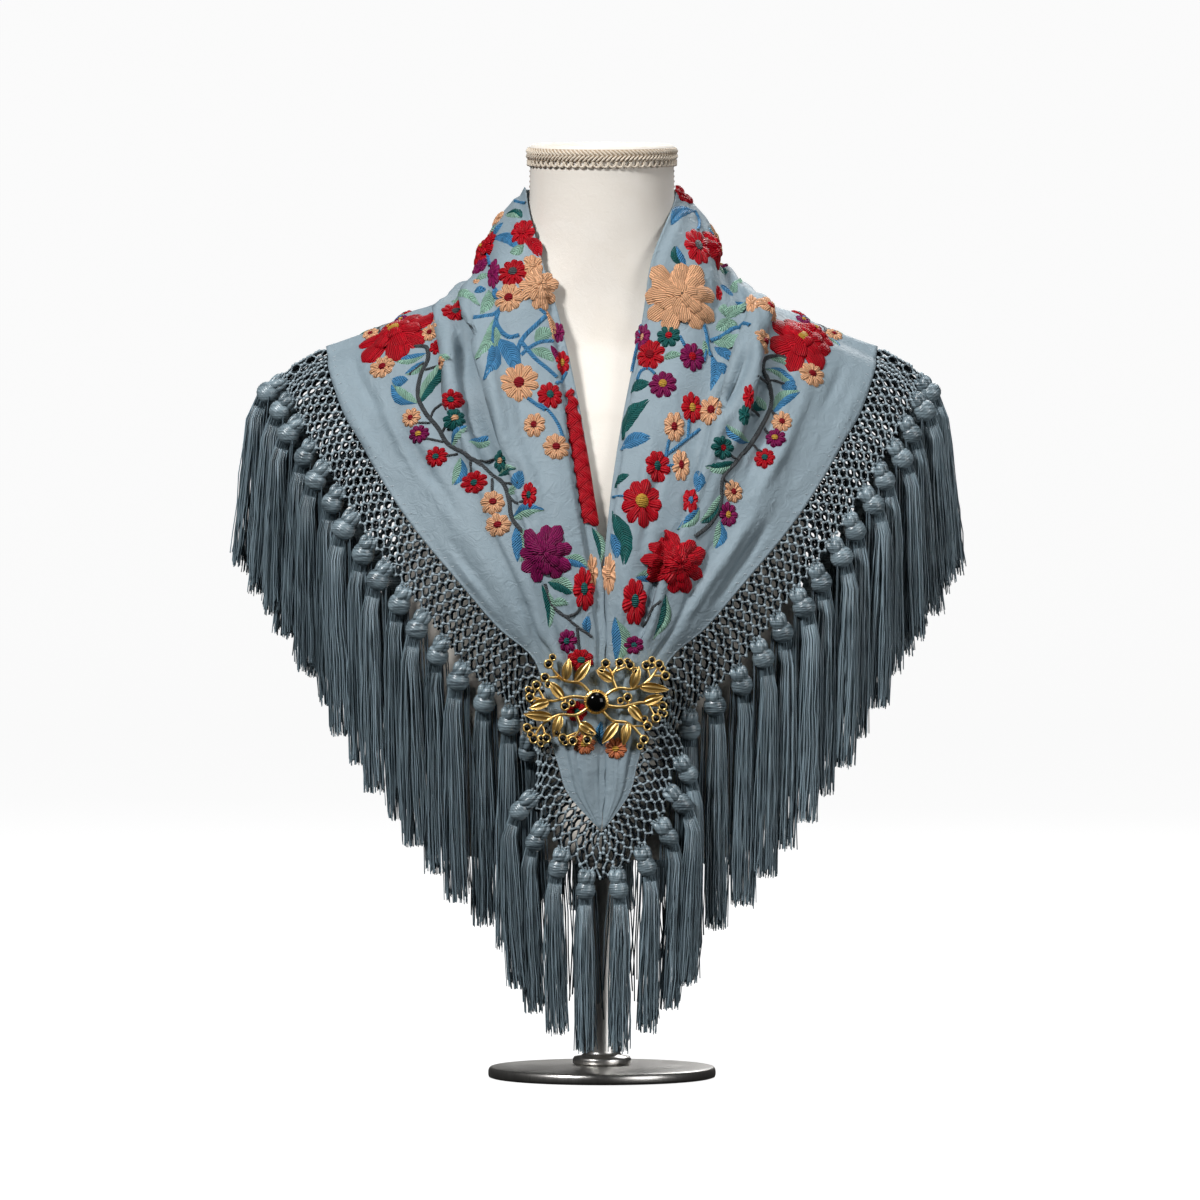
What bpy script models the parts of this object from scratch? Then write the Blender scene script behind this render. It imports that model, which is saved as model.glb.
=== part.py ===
"""A fringed, embroidered flamenco shawl, pinned round a limbless dress form on a low stand.

The shawl is one triangle of cloth. Its long edge is rolled round the neck and runs down the front to two
tails, its two short edges carry a knotted net with tassels, and a brooch pins the two fronts together.
Metres, +Z up, front towards -Y. The origin is the middle of the stand's underside.
"""

import math
from typing import NamedTuple

import bmesh
import bpy
import numpy as np
from mathutils import Vector

# ---------------------------------------------------------------- driving sizes
MM = 0.001
CLOTH_THICKNESS = 0.0016
NET_THICKNESS = 0.0018
SEAM_GAP = 0.0003  # between two pieces that touch

CORD_WIDTH = 0.0030  # the cord along the net's edge that the tassels hang from
CORD_INSET = 0.0008  # at each end of the cord
CORD_GAP = 0.0007
LEAST_BEND = 4.0  # degrees, the cord follows a bend of the net that is stronger
TASSEL_SPACING = {"back": 0.0235, "front": 0.0235, "tail": 0.0215}
TASSEL_NECK_RADIUS = 0.0026
TASSEL_DROP = 0.0062  # from the cord to the top of the tassel's head
TASSEL_HEAD_HEIGHT = 0.0140
TASSEL_HEAD_RADIUS = 0.0069
TASSEL_SKIRT_RADIUS = {"back": 0.0084, "front": 0.0082, "tail": 0.0070}
TASSEL_CLEARANCE = 0.0020  # between two tassels' skirts, seen from above
LOCKS = 3  # strands in each tassel
LOCK_WIDTH_SHARE = 0.55  # half the width of a lock, as a share of the skirt
LOCK_DEPTH_SHARE = 0.38  # half its depth
LOCK_REACH_SHARE = 0.62  # from the tassel's axis to the lock's own
LOCK_TRIM = 0.018  # the locks end at three lengths, this share apart
FRINGE_FLOOR = 0.022  # the lowest strand ends here

BASE_RADIUS = 0.082
BASE_HEIGHT = 0.009
POLE_RADIUS = 0.013
POLE_COLLAR_RADIUS = 0.021
POLE_COLLAR_HEIGHT = 0.008

NECK_TILT = 4.1  # degrees, the front of the neck's top is its lower side
NECK_TOP_Z = 0.672
NECK_RADIUS = 0.0522
NECK_FRONT = 0.049
NECK_BACK = 0.051
NECK_EDGE = 0.0015  # how far the neck's top edge is rounded
CAP_INSET = 0.0070  # from the neck's side to the recess in its top
CAP_TAPER = 0.0008
CAP_RECESS = 0.006
BRAID_BELOW_TOP = 0.0022
BRAID_HEIGHT = 0.0150
BRAID_THICKNESS = 0.0014

BROOCH_CENTRE = Vector((-0.004, -0.1535, 0.275))
BROOCH_HALF_WIDTH = 0.050
BROOCH_HALF_HEIGHT = 0.0305
BROOCH_DEPTH = 0.0036
BROOCH_STEM_RADIUS = 0.0013
TWIG_RADIUS = 0.0009
LEAF_WIDTH = 0.0060
CUP_RADIUS = 0.0031
CUP_SIDES = 6
CABOCHON_RADIUS = 0.0068
CABOCHON_HEIGHT = 0.0051
BEZEL_RADIUS = 0.0088
BEZEL_DEPTH = 0.0047
BEZEL_SIDES = 14

class Ring(NamedTuple):
    """One ring of the form: how far it reaches to each way, how square it is, and its tilt in degrees."""

    z: float
    half_width: float
    front: float
    back: float
    squareness: float
    tilt: float


FORM_RINGS = tuple(Ring(*row) for row in (
    (0.160, 0.098, 0.074, 0.068, 2.2, 0.0),
    (0.166, 0.110, 0.083, 0.075, 2.2, 0.0),
    (0.215, 0.115, 0.092, 0.080, 2.2, 0.0),
    (0.270, 0.127, 0.109, 0.088, 2.2, 0.0),
    (0.320, 0.138, 0.123, 0.094, 2.25, 0.0),
    (0.355, 0.143, 0.126, 0.098, 2.3, 0.0),
    (0.400, 0.146, 0.118, 0.101, 2.4, 0.0),
    (0.445, 0.150, 0.103, 0.102, 2.5, 0.0),
    (0.480, 0.160, 0.085, 0.098, 2.5, 0.0),
    (0.503, 0.172, 0.070, 0.089, 2.4, 0.0),
    (0.518, 0.1747, 0.060, 0.078, 2.35, 0.0),
    (0.529, 0.162, 0.054, 0.070, 2.25, 0.0),
    (0.540, 0.142, 0.051, 0.065, 2.15, 0.0),
    (0.552, 0.114, 0.049, 0.061, 2.1, 0.0),
    (0.564, 0.090, 0.048, 0.058, 2.0, 0.0),
    (0.578, 0.0705, 0.048, 0.055, 2.0, 0.8),
    (0.596, 0.0585, 0.048, 0.052, 2.0, 1.8),
    (0.620, 0.0535, 0.0485, 0.0512, 2.0, 2.9),
    (0.645, 0.0523, 0.0488, 0.051, 2.0, 3.7),
))
FORM_SIDES = 28


class Section(NamedTuple):
    """The cloth across one half of the shawl, without folds: points (out from the middle, y, z)."""

    neck_edge: tuple
    knee: tuple
    mid: tuple
    netted_edge: tuple


HALF_SECTIONS = {name: Section(*points) for name, points in {
    "back": (
        (0.000, 0.058, 0.640), (0.000, 0.084, 0.585), (0.000, 0.112, 0.430), (0.000, 0.112, 0.268),
    ),
    "back_low": (
        (0.028, 0.054, 0.640), (0.040, 0.079, 0.582), (0.066, 0.109, 0.455), (0.080, 0.113, 0.335),
    ),
    "back_side": (
        (0.047, 0.039, 0.640), (0.074, 0.057, 0.577), (0.118, 0.086, 0.500), (0.150, 0.098, 0.425),
    ),
    "shoulder_back": (
        (0.055, 0.026, 0.640), (0.086, 0.036, 0.575), (0.137, 0.046, 0.533), (0.184, 0.060, 0.477),
    ),
    "ridge": (
        (0.0550, 0.010, 0.640), (0.093, 0.008, 0.574), (0.147, 0.006, 0.5450), (0.1975, 0.004, 0.5235),
    ),
    "neck_turn": (
        (0.0518, -0.018, 0.621), (0.0905, -0.018, 0.5685), (0.1445, -0.017, 0.5400), (0.1965, -0.013, 0.5175),
    ),
    "neck_side": (
        (0.0440, -0.043, 0.591), (0.088, -0.041, 0.561), (0.142, -0.040, 0.533), (0.1950, -0.032, 0.508),
    ),
    "collarbone": (
        (0.030, -0.062, 0.545), (0.080, -0.073, 0.523), (0.136, -0.067, 0.501), (0.1845, -0.055, 0.479),
    ),
    "upper_chest": (
        (0.0175, -0.090, 0.490), (0.070, -0.099, 0.477), (0.126, -0.088, 0.467), (0.1714, -0.073, 0.457),
    ),
    "chest": (
        (0.0095, -0.112, 0.444), (0.060, -0.116, 0.439), (0.112, -0.104, 0.436), (0.1572, -0.088, 0.4320),
    ),
    "over_bust": (
        (0.0045, -0.127, 0.405), (0.048, -0.131, 0.401), (0.094, -0.122, 0.399), (0.1325, -0.108, 0.3960),
    ),
    "bust": (
        (0.0010, -0.136, 0.365), (0.036, -0.140, 0.362), (0.070, -0.136, 0.360), (0.0995, -0.127, 0.3570),
    ),
    "under_bust": (
        (0.0006, -0.140, 0.330), (0.026, -0.143, 0.329), (0.051, -0.141, 0.328), (0.0734, -0.135, 0.327),
    ),
    "above_pin": (
        (0.0006, -0.142, 0.303), (0.017, -0.144, 0.3035), (0.033, -0.143, 0.304), (0.0482, -0.140, 0.305),
    ),
    "pin": (
        (0.0006, -0.143, 0.272), (0.0125, -0.145, 0.2715), (0.024, -0.1445, 0.271), (0.0353, -0.142, 0.2705),
    ),
    "tail_top": (
        (0.0006, -0.144, 0.250), (0.0120, -0.147, 0.2495), (0.0225, -0.147, 0.249), (0.0325, -0.145, 0.2485),
    ),
    "tail_mid": (
        (0.0006, -0.146, 0.228), (0.0100, -0.149, 0.2285), (0.0190, -0.149, 0.229), (0.0275, -0.147, 0.2295),
    ),
    "tail_low": (
        (0.0006, -0.148, 0.207), (0.0070, -0.150, 0.2080), (0.0138, -0.150, 0.209), (0.0215, -0.149, 0.210),
    ),
    "tail_tip": (
        (0.0006, -0.150, 0.185), (0.0010, -0.150, 0.1852), (0.0014, -0.150, 0.1854), (0.0018, -0.150, 0.1856),
    ),
}.items()}
SECTION_NAMES = tuple(HALF_SECTIONS)
RIDGE = SECTION_NAMES.index("ridge")
ABOVE_PIN = SECTION_NAMES.index("above_pin")
PIN = SECTION_NAMES.index("pin")
TIP = SECTION_NAMES.index("tail_tip")
TAIL_SPREAD = {-1: 1.10, 1: 0.88}  # the left tail is the wider one

class Fold(NamedTuple):
    """One fold of a half: its widths to both sides and its steep side, then a row of values each, read at
    FOLD_AT: where its crest lies, as a share of the section, its height and its tuck under itself in mm."""

    inner_width: float
    outer_width: float
    steep: str
    crest: tuple
    height: tuple
    tuck: tuple


FOLD_AT = ("back", "ridge", "collarbone", "chest", "bust", "pin", "tail_mid", "tail_tip")
LEFT_FOLDS = {
    "neck_lip": Fold(
        5 * MM, 26 * MM, "inner",
        (0.06, 0.06, 0.060, 0.110, 0.12, 0.14, 0.16, 0.16),
        (3.0, 3.0, 4.5, 6.0, 4.5, 2.0, 1.0, 0.0),
        (0.0, 0.0, 0.3, 2.0, 1.4, 0.0, 0.0, 0.0),
    ),
    "roll": Fold(
        26 * MM, 26 * MM, "none",
        (0.13, 0.18, 0.19, 0.23, 0.28, 0.30, 0.35, 0.35),
        (8.0, 8.0, 6.5, 5.0, 2.0, 1.0, 1.0, 0.0),
        (0.0,) * 8,
    ),
    "roll_edge": Fold(
        20 * MM, 7 * MM, "outer",
        (0.22, 0.30, 0.365, 0.350, 0.38, 0.42, 0.45, 0.45),
        (6.0, 7.0, 10.0, 6.0, 3.0, 3.5, 2.0, 0.0),
        (2.0, 3.2, 4.4, 2.2, 0.6, 0.5, 0.0, 0.0),
    ),
    "second_fold": Fold(
        13 * MM, 6 * MM, "outer",
        (0.33, 0.45, 0.505, 0.52, 0.56, 0.64, 0.66, 0.66),
        (2.5, 5.0, 8.5, 2.5, 3.0, 3.5, 2.0, 0.0),
        (0.4, 1.5, 3.2, 0.5, 0.6, 0.5, 0.0, 0.0),
    ),
    "shoulder_swell": Fold(
        18 * MM, 18 * MM, "none",
        (0.55, 0.66, 0.70, 0.70, 0.74, 0.84, 0.85, 0.85),
        (1.5, 1.5, 1.5, 1.5, 3.0, 1.2, 0.6, 0.0),
        (0.0,) * 8,
    ),
}
RIGHT_FOLDS = {
    "neck_lip": Fold(
        6 * MM, 26 * MM, "inner",
        (0.06, 0.06, 0.040, 0.05, 0.06, 0.14, 0.16, 0.16),
        (3.0, 3.0, 4.5, 4.0, 3.0, 2.0, 1.0, 0.0),
        (0.0, 0.0, 0.8, 1.2, 1.0, 0.0, 0.0, 0.0),
    ),
    "roll": Fold(
        26 * MM, 26 * MM, "none",
        (0.13, 0.18, 0.19, 0.19, 0.21, 0.28, 0.35, 0.35),
        (8.0, 8.5, 7.0, 6.0, 3.5, 1.0, 1.0, 0.0),
        (0.0,) * 8,
    ),
    "loop_fold": Fold(
        7 * MM, 22 * MM, "inner",
        (0.22, 0.36, 0.43, 0.43, 0.44, 0.44, 0.45, 0.45),
        (6.0, 6.0, 11.0, 9.0, 6.0, 3.5, 2.0, 0.0),
        (0.0, 0.6, 4.4, 3.6, 2.2, 0.5, 0.0, 0.0),
    ),
    "loop_edge": Fold(
        12 * MM, 6 * MM, "outer",
        (0.33, 0.46, 0.50, 0.55, 0.60, 0.66, 0.66, 0.66),
        (2.5, 5.0, 8.0, 1.5, 2.0, 3.0, 2.0, 0.0),
        (0.4, 1.2, 2.8, 0.2, 0.3, 0.5, 0.0, 0.0),
    ),
    "shoulder_swell": Fold(
        18 * MM, 18 * MM, "none",
        (0.55, 0.68, 0.72, 0.74, 0.78, 0.85, 0.85, 0.85),
        (1.5, 1.5, 1.0, 2.5, 3.0, 1.2, 0.6, 0.0),
        (0.0,) * 8,
    ),
}
FOLDS = {-1: LEFT_FOLDS, 1: RIGHT_FOLDS}
COLUMNS_BETWEEN_KEYS = 2
TAIL_COLUMN_STEP = 2  # the narrow tails use every other column
BACK_ROWS, FRONT_ROWS, TAIL_ROWS = 8, 18, 7  # rows of each half, stretch by stretch
ROW_REACH = 0.05  # sections before and after a row that give its direction
SECTION_SAMPLES = 48
BACK_BLEND = 2.0  # sections from the middle of the back over which the two halves' folds agree
WIDTH_OF_FREE_FOLDS = 0.075  # the folds crowd together where the cloth is gathered to less than this
LEAST_SHARE = 0.035  # the columns never come closer than a third of this

class Net(NamedTuple):
    """The net at a section. It leaves the cloth's edge square to it and then falls: its width, how strongly
    it falls (over 1 it hangs plumb before its end), and its swing to the front (-) or the back (+)."""

    width: float
    fall: float
    swing: float


NET_SECTIONS = {
    "back": Net(0.036, 0.30, 0.04),
    "back_side": Net(0.036, 0.45, 0.04),
    "shoulder_back": Net(0.036, 0.45, 0.02),
    "ridge": Net(0.038, 0.36, 0.00),
    "neck_side": Net(0.035, 0.40, 0.06),
    "collarbone": Net(0.032, 0.42, 0.10),
    "chest": Net(0.031, 0.38, 0.12),
    "bust": Net(0.036, 0.38, 0.14),
    "under_bust": Net(0.042, 0.55, 0.16),
    "above_pin": Net(0.045, 1.00, 0.24),
    "pin": Net(0.042, 2.20, 0.34),
}
LEFT_TAIL_NET_SECTIONS = {
    "pin": Net(0.010, 0.80, -0.06),
    "tail_top": Net(0.014, 0.75, -0.05),
    "tail_mid": Net(0.021, 0.60, -0.04),
    "tail_low": Net(0.028, 0.45, -0.02),
    "tail_tip": Net(0.034, 0.90, 0.00),
}
RIGHT_TAIL_NET_SECTIONS = {
    "pin": Net(0.034, 0.55, -0.06),
    "tail_top": Net(0.032, 0.50, -0.05),
    "tail_mid": Net(0.028, 0.45, -0.04),
    "tail_low": Net(0.030, 0.45, -0.02),
    "tail_tip": Net(0.034, 0.90, 0.00),
}
TAIL_NETS = {"left_tail": LEFT_TAIL_NET_SECTIONS, "right_tail": RIGHT_TAIL_NET_SECTIONS}
TAIL_NET_START = PIN + 0.30  # just below the end of the front net
# Where tassels start and end on a stretch, if not on its whole length: the rest is folded away.
FRINGE_SPANS = {"left_tail": (PIN + 1.79, TIP), "right_front": (0, PIN - 0.5)}
FIRST_TAIL_ROW = 0.2  # sections from the tail net's start to its next row, at least
TIP_NET_GAP = 0.0016
TIP_NET_INSET = 0.0007
NET_STEPS = 4
NET_EDGE_REACH = 0.08  # sections before and after a row that give the edge's direction
NET_SEAM_SHARE = 0.2  # of the cloth's thickness, added to the seam's gap where the edge bends


class Tassel(NamedTuple):
    """The tassels at a section: their length from the cord, and how far their feet lean out per length."""

    length: float
    lean: float


TASSEL_SECTIONS = {
    "back": Tassel(0.128, 0.00),
    "ridge": Tassel(0.134, 0.14),
    "collarbone": Tassel(0.140, 0.06),
    "upper_chest": Tassel(0.151, 0.02),
    "chest": Tassel(0.157, 0.00),
    "bust": Tassel(0.165, 0.00),
    "pin": Tassel(0.168, 0.00),
    "tail_mid": Tassel(0.140, 0.00),
    "tail_tip": Tassel(0.126, 0.00),
}
# A tassel's head: share of its height from the top, and its radius.
HEAD_PROFILE = (
    (0.0, TASSEL_NECK_RADIUS * 1.25),
    (0.38, TASSEL_HEAD_RADIUS),
    (1.0, TASSEL_HEAD_RADIUS * 0.80),
)
STAGGER_MARGIN = 0.0006

# A leaf of the brooch: share of its length, of its width, and its rise as a share of the brooch's depth.
LEAF_PROFILE = ((0.0, 0.30, 0.20), (0.38, 1.0, 0.42), (0.70, 0.66, 0.34), (1.0, 0.08, 0.10))
LEAF_BACK_SHARE = 0.22
CUP_BACK_SHARE = 0.45  # of a cup's depth, behind the brooch's middle plane
CUP_BACK_RADIUS_SHARE = 0.85
CABOCHON_RINGS = (0, 28, 55, 75)  # degrees round the stone's dome

# Materials: colour, roughness, metallic.
MATERIALS = {
    "cloth": ((0.30, 0.40, 0.46), 0.62, 0.0),
    "net": ((0.16, 0.22, 0.26), 0.55, 0.0),
    "tassel": ((0.14, 0.20, 0.24), 0.48, 0.0),
    "linen": ((0.86, 0.81, 0.74), 0.85, 0.0),
    "braid": ((0.80, 0.71, 0.58), 0.70, 0.0),
    "gold": ((0.86, 0.60, 0.18), 0.28, 1.0),
    "onyx": ((0.010, 0.010, 0.012), 0.08, 0.0),
    "stand": ((0.72, 0.70, 0.67), 0.35, 0.9),
}


# ---------------------------------------------------------------- scene and mesh helpers
def clear_scene():
    for obj in list(bpy.data.objects):
        bpy.data.objects.remove(obj)


def make_material(name):
    colour, roughness, metallic = MATERIALS[name]
    material = bpy.data.materials.new(name)
    material.use_nodes = True
    shader = material.node_tree.nodes["Principled BSDF"]
    shader.inputs["Base Color"].default_value = (*colour, 1.0)
    shader.inputs["Roughness"].default_value = roughness
    shader.inputs["Metallic"].default_value = metallic
    return material


def add_mesh(name, points, faces, material, smooth_angle=35.0):
    """One named object from points and faces, with its faces turned outwards."""
    mesh = bpy.data.meshes.new(name)
    mesh.from_pydata([tuple(map(float, p)) for p in points], [], [tuple(map(int, f)) for f in faces])
    shell = bmesh.new()
    shell.from_mesh(mesh)
    bmesh.ops.recalc_face_normals(shell, faces=shell.faces)
    bmesh.ops.triangulate(shell, faces=shell.faces, quad_method="SHORT_EDGE")
    shell.to_mesh(mesh)
    shell.free()
    mesh.shade_smooth()
    mesh.set_sharp_from_angle(angle=math.radians(smooth_angle))
    obj = bpy.data.objects.new(name, mesh)
    bpy.context.scene.collection.objects.link(obj)
    mesh.materials.append(bpy.data.materials.get(material) or make_material(material))
    return obj


def smooth_through(knots, values, at):
    """Values read at `at`, a number or a row of numbers, from a smooth curve through the knots."""
    knots, values, at = np.asarray(knots, float), np.asarray(values, float), np.asarray(at, float)
    steps = np.diff(knots)
    slopes = np.diff(values, axis=0) / steps[:, None]
    tangents = np.concatenate([slopes[:1], (slopes[1:] + slopes[:-1]) / 2, slopes[-1:]])
    i = np.clip(np.searchsorted(knots, at, side="right") - 1, 0, len(steps) - 1)
    f = ((at - knots[i]) / steps[i])[..., None]
    step = steps[i][..., None]
    return (
        values[i] * (1 + 2 * f) * (1 - f) ** 2
        + tangents[i] * step * f * (1 - f) ** 2
        + values[i + 1] * f * f * (3 - 2 * f)
        + tangents[i + 1] * step * f * f * (f - 1)
    )


def read_sections(table, t):
    """A row of a table of sections at t, a position along SECTION_NAMES on either side."""
    knots = [SECTION_NAMES.index(name) for name in table]
    return smooth_through(knots, list(table.values()), min(max(abs(t), knots[0]), knots[-1]))


def unit(vectors):
    return vectors / np.maximum(np.linalg.norm(vectors, axis=-1, keepdims=True), 1e-12)


def along_line(line, distance):
    """A point at a distance along a line of points."""
    run = np.concatenate([[0], np.cumsum(np.linalg.norm(np.diff(line, axis=0), axis=1))])
    return np.stack([np.interp(distance, run, line[:, k]) for k in range(3)], axis=-1)


def length_of(line):
    return np.linalg.norm(np.diff(line, axis=0), axis=1).sum()


def grid_normals(grid):
    """Unit normals of a grid of points."""
    return unit(np.cross(np.gradient(grid, axis=0), np.gradient(grid, axis=1)))


def wall_of(grid, normals, thickness, gap_before, gap_after):
    """Points and faces of a closed wall round a grid, drawn in at its first and last rows by a gap."""
    middle = grid.copy()
    middle[0] += unit(grid[1] - grid[0]) * gap_before
    middle[-1] += unit(grid[-2] - grid[-1]) * gap_after
    rows, columns = grid.shape[:2]
    count = rows * columns
    half = normals * thickness / 2
    points = np.concatenate([(middle + half).reshape(-1, 3), (middle - half).reshape(-1, 3)])
    faces = []
    for r in range(rows - 1):
        for c in range(columns - 1):
            a = r * columns + c
            quad = (a, a + 1, a + columns + 1, a + columns)
            faces.append(quad)
            faces.append(tuple(i + count for i in reversed(quad)))
    rim = list(range(columns))
    rim += [r * columns + columns - 1 for r in range(1, rows)]
    rim += [(rows - 1) * columns + c for c in range(columns - 2, -1, -1)]
    rim += [r * columns for r in range(rows - 2, 0, -1)]
    for a, b in zip(rim, rim[1:] + rim[:1]):
        faces.append((a, b, b + count, a + count))
    return points, faces


def rings_to_shell(rings):
    """Points and faces of a closed body through rings of the same number of points, with flat ends."""
    sides = len(rings[0])
    points = [p for ring in rings for p in ring]
    faces = []
    for r in range(len(rings) - 1):
        for k in range(sides):
            a, b = r * sides + k, r * sides + (k + 1) % sides
            faces.append((a, b, b + sides, a + sides))
    faces.append(tuple(range(sides))[::-1])
    faces.append(tuple((len(rings) - 1) * sides + k for k in range(sides)))
    return points, faces


def ring_at(centre, radius, sides, axis_x=Vector((1, 0, 0)), axis_y=Vector((0, 1, 0))):
    """Points of a circle round centre, in the plane of two axes."""
    turns = [2 * math.pi * k / sides for k in range(sides)]
    return [Vector(centre) + radius * (math.cos(turn) * axis_x + math.sin(turn) * axis_y) for turn in turns]


# ---------------------------------------------------------------- the dress form and its stand
def superellipse_ring(z, half_width, front, back, squareness, tilt):
    """The points of one ring of the form."""
    ring = []
    for k in range(FORM_SIDES):
        angle = 2 * math.pi * k / FORM_SIDES
        c, s = math.cos(angle), math.sin(angle)
        x = half_width * math.copysign(abs(c) ** (2 / squareness), c)
        y = (back if s > 0 else front) * math.copysign(abs(s) ** (2 / squareness), s)
        ring.append(Vector((x, y, z + y * math.tan(math.radians(tilt)))))
    return ring


def neck_ring(below_top, out=0.0):
    """A ring of the neck at a depth below its tilted top, moved outwards."""
    z = NECK_TOP_Z - below_top
    return superellipse_ring(z, NECK_RADIUS + out, NECK_FRONT + out, NECK_BACK + out, 2.0, NECK_TILT)


def build_form():
    rings = [superellipse_ring(*row) for row in FORM_RINGS]
    rings.append(neck_ring(NECK_EDGE))
    rings.append(neck_ring(0.0, -NECK_EDGE))
    rings.append(neck_ring(0.0, -CAP_INSET))
    rings.append(neck_ring(CAP_RECESS, -CAP_INSET - CAP_TAPER))
    points, faces = rings_to_shell(rings)
    add_mesh("form_torso", points, faces, "linen", 60)


def build_neck_braid():
    """The trimming round the top of the neck, a flat braid that stands a little proud."""
    inside, outside, chamfer = SEAM_GAP, SEAM_GAP + BRAID_THICKNESS, BRAID_THICKNESS / 2
    top, foot = BRAID_BELOW_TOP, BRAID_HEIGHT
    profile = (
        (top, inside), (top, outside - chamfer), (top + chamfer, outside),
        (foot - chamfer, outside), (foot, outside - chamfer), (foot, inside),
    )
    loops = [neck_ring(depth, out) for depth, out in profile]
    count, sides = len(profile), FORM_SIDES
    points = [p for loop in loops for p in loop]
    faces = [
        (e * sides + k, e * sides + (k + 1) % sides, (e + 1) % count * sides + (k + 1) % sides,
         (e + 1) % count * sides + k)
        for e in range(count) for k in range(sides)
    ]
    add_mesh("form_neck_braid", points, faces, "braid", 50)


def build_stand():
    base = [
        ring_at((0, 0, 0), BASE_RADIUS - 0.001, 32),
        ring_at((0, 0, 0.001), BASE_RADIUS, 32),
        ring_at((0, 0, BASE_HEIGHT - 0.002), BASE_RADIUS, 32),
        ring_at((0, 0, BASE_HEIGHT), BASE_RADIUS - 0.002, 32),
    ]
    add_mesh("stand_base", *rings_to_shell(base), "stand")
    foot = BASE_HEIGHT + SEAM_GAP
    top = FORM_RINGS[0][0] - SEAM_GAP
    pole = [
        ring_at((0, 0, foot), POLE_COLLAR_RADIUS, 16),
        ring_at((0, 0, foot + POLE_COLLAR_HEIGHT * 0.7), POLE_COLLAR_RADIUS, 16),
        ring_at((0, 0, foot + POLE_COLLAR_HEIGHT), POLE_RADIUS, 16),
        ring_at((0, 0, top - POLE_COLLAR_HEIGHT), POLE_RADIUS, 16),
        ring_at((0, 0, top - POLE_COLLAR_HEIGHT * 0.7), POLE_COLLAR_RADIUS, 16),
        ring_at((0, 0, top), POLE_COLLAR_RADIUS, 16),
    ]
    add_mesh("stand_pole", *rings_to_shell(pole), "stand")


# ---------------------------------------------------------------- the draped cloth
# A position t along the shawl runs from -TIP, the left tail's tip, over 0, the middle of the back, to TIP.
def plain_section(t):
    """The section at t without its folds, as points evenly spread along it."""
    side, s = (-1 if t < 0 else 1), abs(t)
    table = np.array(list(HALF_SECTIONS.values()))
    corners = smooth_through(np.arange(len(table)), table.reshape(len(table), -1), s).reshape(-1, 3)
    # The two halves meet in one smooth surface, but in a point at the outer edge.
    mirrored = np.concatenate([table[1:2], table])[:, :, 1]
    corners[:, 1] = smooth_through(np.arange(-1, len(table)), mirrored, s)
    spread = 1 + (TAIL_SPREAD[side] - 1) * min(max((s - ABOVE_PIN) / 2, 0), 1)
    corners[:, 0] *= side * spread
    chords = np.concatenate([[0], np.cumsum(np.linalg.norm(np.diff(corners, axis=0), axis=1))])
    return smooth_through(chords, corners, np.linspace(0, chords[-1], SECTION_SAMPLES))


def read_folds(side, s):
    """The folds of one half at s: widths, steep side, crest, height and tuck."""
    knots = [SECTION_NAMES.index(name) for name in FOLD_AT]
    s = min(max(s, knots[0]), knots[-1])
    rows = []
    for fold in FOLDS[side].values():
        crest, height, tuck = smooth_through(knots, np.array([fold.crest, fold.height, fold.tuck]).T, s)
        height, tuck = max(height, 0) * MM, max(tuck, 0) * MM
        rows.append((fold.inner_width, fold.outer_width, fold.steep, crest, height, tuck))
    return rows


def fold_relief(side, s, at, width):
    """Height over the plain section, and sideways shift along it, at distances from its inner edge."""
    height, shift = np.zeros_like(at), np.zeros_like(at)
    squeeze = min(1.0, width / WIDTH_OF_FREE_FOLDS)
    for inner_width, outer_width, steep, crest, tall, tuck in read_folds(side, s):
        x = at - crest * width
        reach = np.where(x < 0, inner_width, outer_width) * squeeze
        near = np.clip(1 - np.abs(x) / reach, 0, 1)
        height += tall * np.sin(near * math.pi / 2) ** 2
        if steep != "none":
            outwards = 1.0 if steep == "outer" else -1.0
            shift += np.where(x * outwards > 0, outwards * tuck * np.sin(2 * math.pi * (1 - near)), 0)
    return height, shift


def column_shares(side, s, width):
    """Where the columns of the grid cross a section: evenly between the folds' crests and steep feet."""
    keys = [0.0]
    squeeze = min(1.0, width / WIDTH_OF_FREE_FOLDS)
    for inner_width, outer_width, steep, crest, _, _ in read_folds(side, s):
        if steep == "inner":
            keys.append(crest - min(inner_width * squeeze / width, crest * 0.8))
        keys.append(crest)
        if steep == "outer":
            keys.append(crest + outer_width * squeeze / width)
    keys.append(1.0)
    last = len(keys) - 1
    for k in range(1, last + 1):
        keys[k] = max(keys[k], keys[k - 1] + LEAST_SHARE)
    for k in range(last, -1, -1):
        keys[k] = min(keys[k], 1.0 - (last - k) * LEAST_SHARE)
    return np.interp(np.linspace(0, last, COLUMNS_BETWEEN_KEYS * last + 1), np.arange(last + 1), keys)


def cloth_row(t):
    """One row of the cloth's grid, across one half of the shawl with its folds."""
    side, s = (-1 if t < 0 else 1), abs(t)
    plain = plain_section(t)
    width = length_of(plain)
    other = 0.5 * max(0.0, 1 - s / BACK_BLEND)  # the two halves' folds agree at the middle of the back
    shares = (1 - other) * column_shares(side, s, width) + other * column_shares(-side, s, width)
    at = shares * width
    height, shift = ((1 - other) * own for own in fold_relief(side, s, at, width))
    if other:
        height, shift = (a + other * b for a, b in zip((height, shift), fold_relief(-side, s, at, width)))
    ahead, behind = plain_section(t + ROW_REACH), plain_section(t - ROW_REACH)
    along = along_line(ahead, shares * length_of(ahead)) - along_line(behind, shares * length_of(behind))
    place = np.clip(at + shift, 0, width)
    across = along_line(plain, place + MM) - along_line(plain, place - MM)
    normals = unit(np.cross(unit(along), unit(across)))
    row = along_line(plain, place) + normals * height[:, None]
    if t == 0:
        row[:, 0] = 0
    return row


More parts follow.
